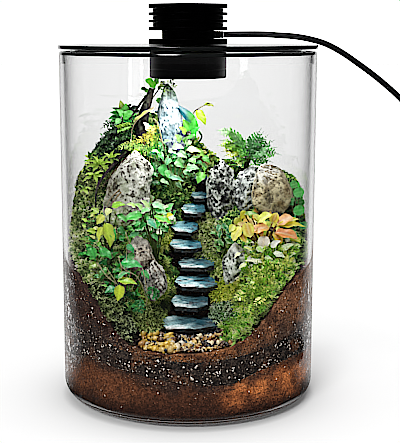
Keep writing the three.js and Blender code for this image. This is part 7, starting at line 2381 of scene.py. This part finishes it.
nt.links.new(level, bg.inputs["Strength"])
bg.inputs["Color"].default_value = (1, 1, 1, 1)
nt.links.new(bg.outputs[0], wo.inputs["Surface"])


def lamp(name, kind, loc, target, energy, **props):
    d = bpy.data.lights.new(name, kind)
    d.energy = energy
    for k, v in props.items():
        setattr(d, k, v)
    o = bpy.data.objects.new(name, d)
    o.location = loc
    o.rotation_euler = (Vector(target) - Vector(loc)).to_track_quat("-Z", "Y").to_euler()
    bpy.context.scene.collection.objects.link(o)
    return o


lamp("key", "SUN", (-0.45, -0.95, 1.9), (0, 0, 0.1), 2.9, angle=math.radians(14))
# The jar's own lamp is on: a disc of light under its lens.
lamp("jar_lamp", "AREA", (0, 0, 0.2445), (0, 0, 0), 0.13, shape="DISK", size=0.05)


def strip(name, azimuth, dist, width, height, radiance, z=0.25, only=None, deep=False):
    a = math.radians(azimuth)
    # azimuth 0 is the camera's side
    x, y = dist * math.sin(a), -dist * math.cos(a)
    o = lamp(name, "AREA", (x, y, z), (0, 0, z), radiance * math.pi * width * height, shape="RECTANGLE", size=width, size_y=height)
    o.visible_camera = False
    if only is not None:
        o.light_linking.receiver_collection = only
    if deep:
        # Seen only by way of the far wall of the jar.
        o.data.use_nodes = True
        n = o.data.node_tree
        e = next(q for q in n.nodes if q.type == "EMISSION")
        path = n.nodes.new("ShaderNodeLightPath")
        n.links.new(calc(n, "GREATER_THAN", path.outputs["Transmission Depth"], 2.5), e.inputs["Strength"])
    return o


lit_lamp = bpy.data.collections.new("lamp_pieces")
for name in ("lamp_sink", "lamp_body", "gasket_top", "gasket_under", "lead", "strain_sleeve"):
    lit_lamp.objects.link(bpy.data.objects[name])
strip("strip_left", -38, 1.25, 0.07, 1.5, 1.6, only=lit_lamp)
strip("strip_right", 40, 1.25, 0.06, 1.5, 1.2, only=lit_lamp)
strip("far_left_wide", 57.7, 0.5, 0.15, 1.1, 1.6, deep=True)
strip("far_left_a", 64.5, 0.49, 0.025, 1.1, 5.0, deep=True)
strip("far_left_b", 51.0, 0.49, 0.025, 1.1, 5.0, deep=True)
strip("far_right", -62, 0.5, 0.075, 1.1, 3.2, deep=True)

sc = bpy.context.scene
sc.view_settings.view_transform = "Standard"
sc.cycles.max_bounces = 14
sc.cycles.transmission_bounces = 12
sc.cycles.transparent_max_bounces = 12
sc.cycles.diffuse_bounces = 3

# The photograph's crisp, contrasty finish.
sc.use_nodes = True
nt = sc.node_tree
nt.nodes.clear()
rl = nt.nodes.new("CompositorNodeRLayers")
curve = nt.nodes.new("CompositorNodeCurveRGB")
c = curve.mapping.curves[3]
c.points.new(0.03, 0.022)
c.points.new(0.18, 0.19)
c.points.new(0.55, 0.60)
curve.mapping.update()
hs = nt.nodes.new("CompositorNodeHueSat")
hs.inputs["Saturation"].default_value = 1.0
sh = nt.nodes.new("CompositorNodeFilter")
sh.filter_type = "SHARPEN"
sh.inputs["Fac"].default_value = 0.18
comp = nt.nodes.new("CompositorNodeComposite")
nt.links.new(rl.outputs["Image"], sh.inputs["Image"])
nt.links.new(sh.outputs["Image"], curve.inputs["Image"])
nt.links.new(curve.outputs["Image"], hs.inputs["Image"])
nt.links.new(hs.outputs["Image"], comp.inputs["Image"])
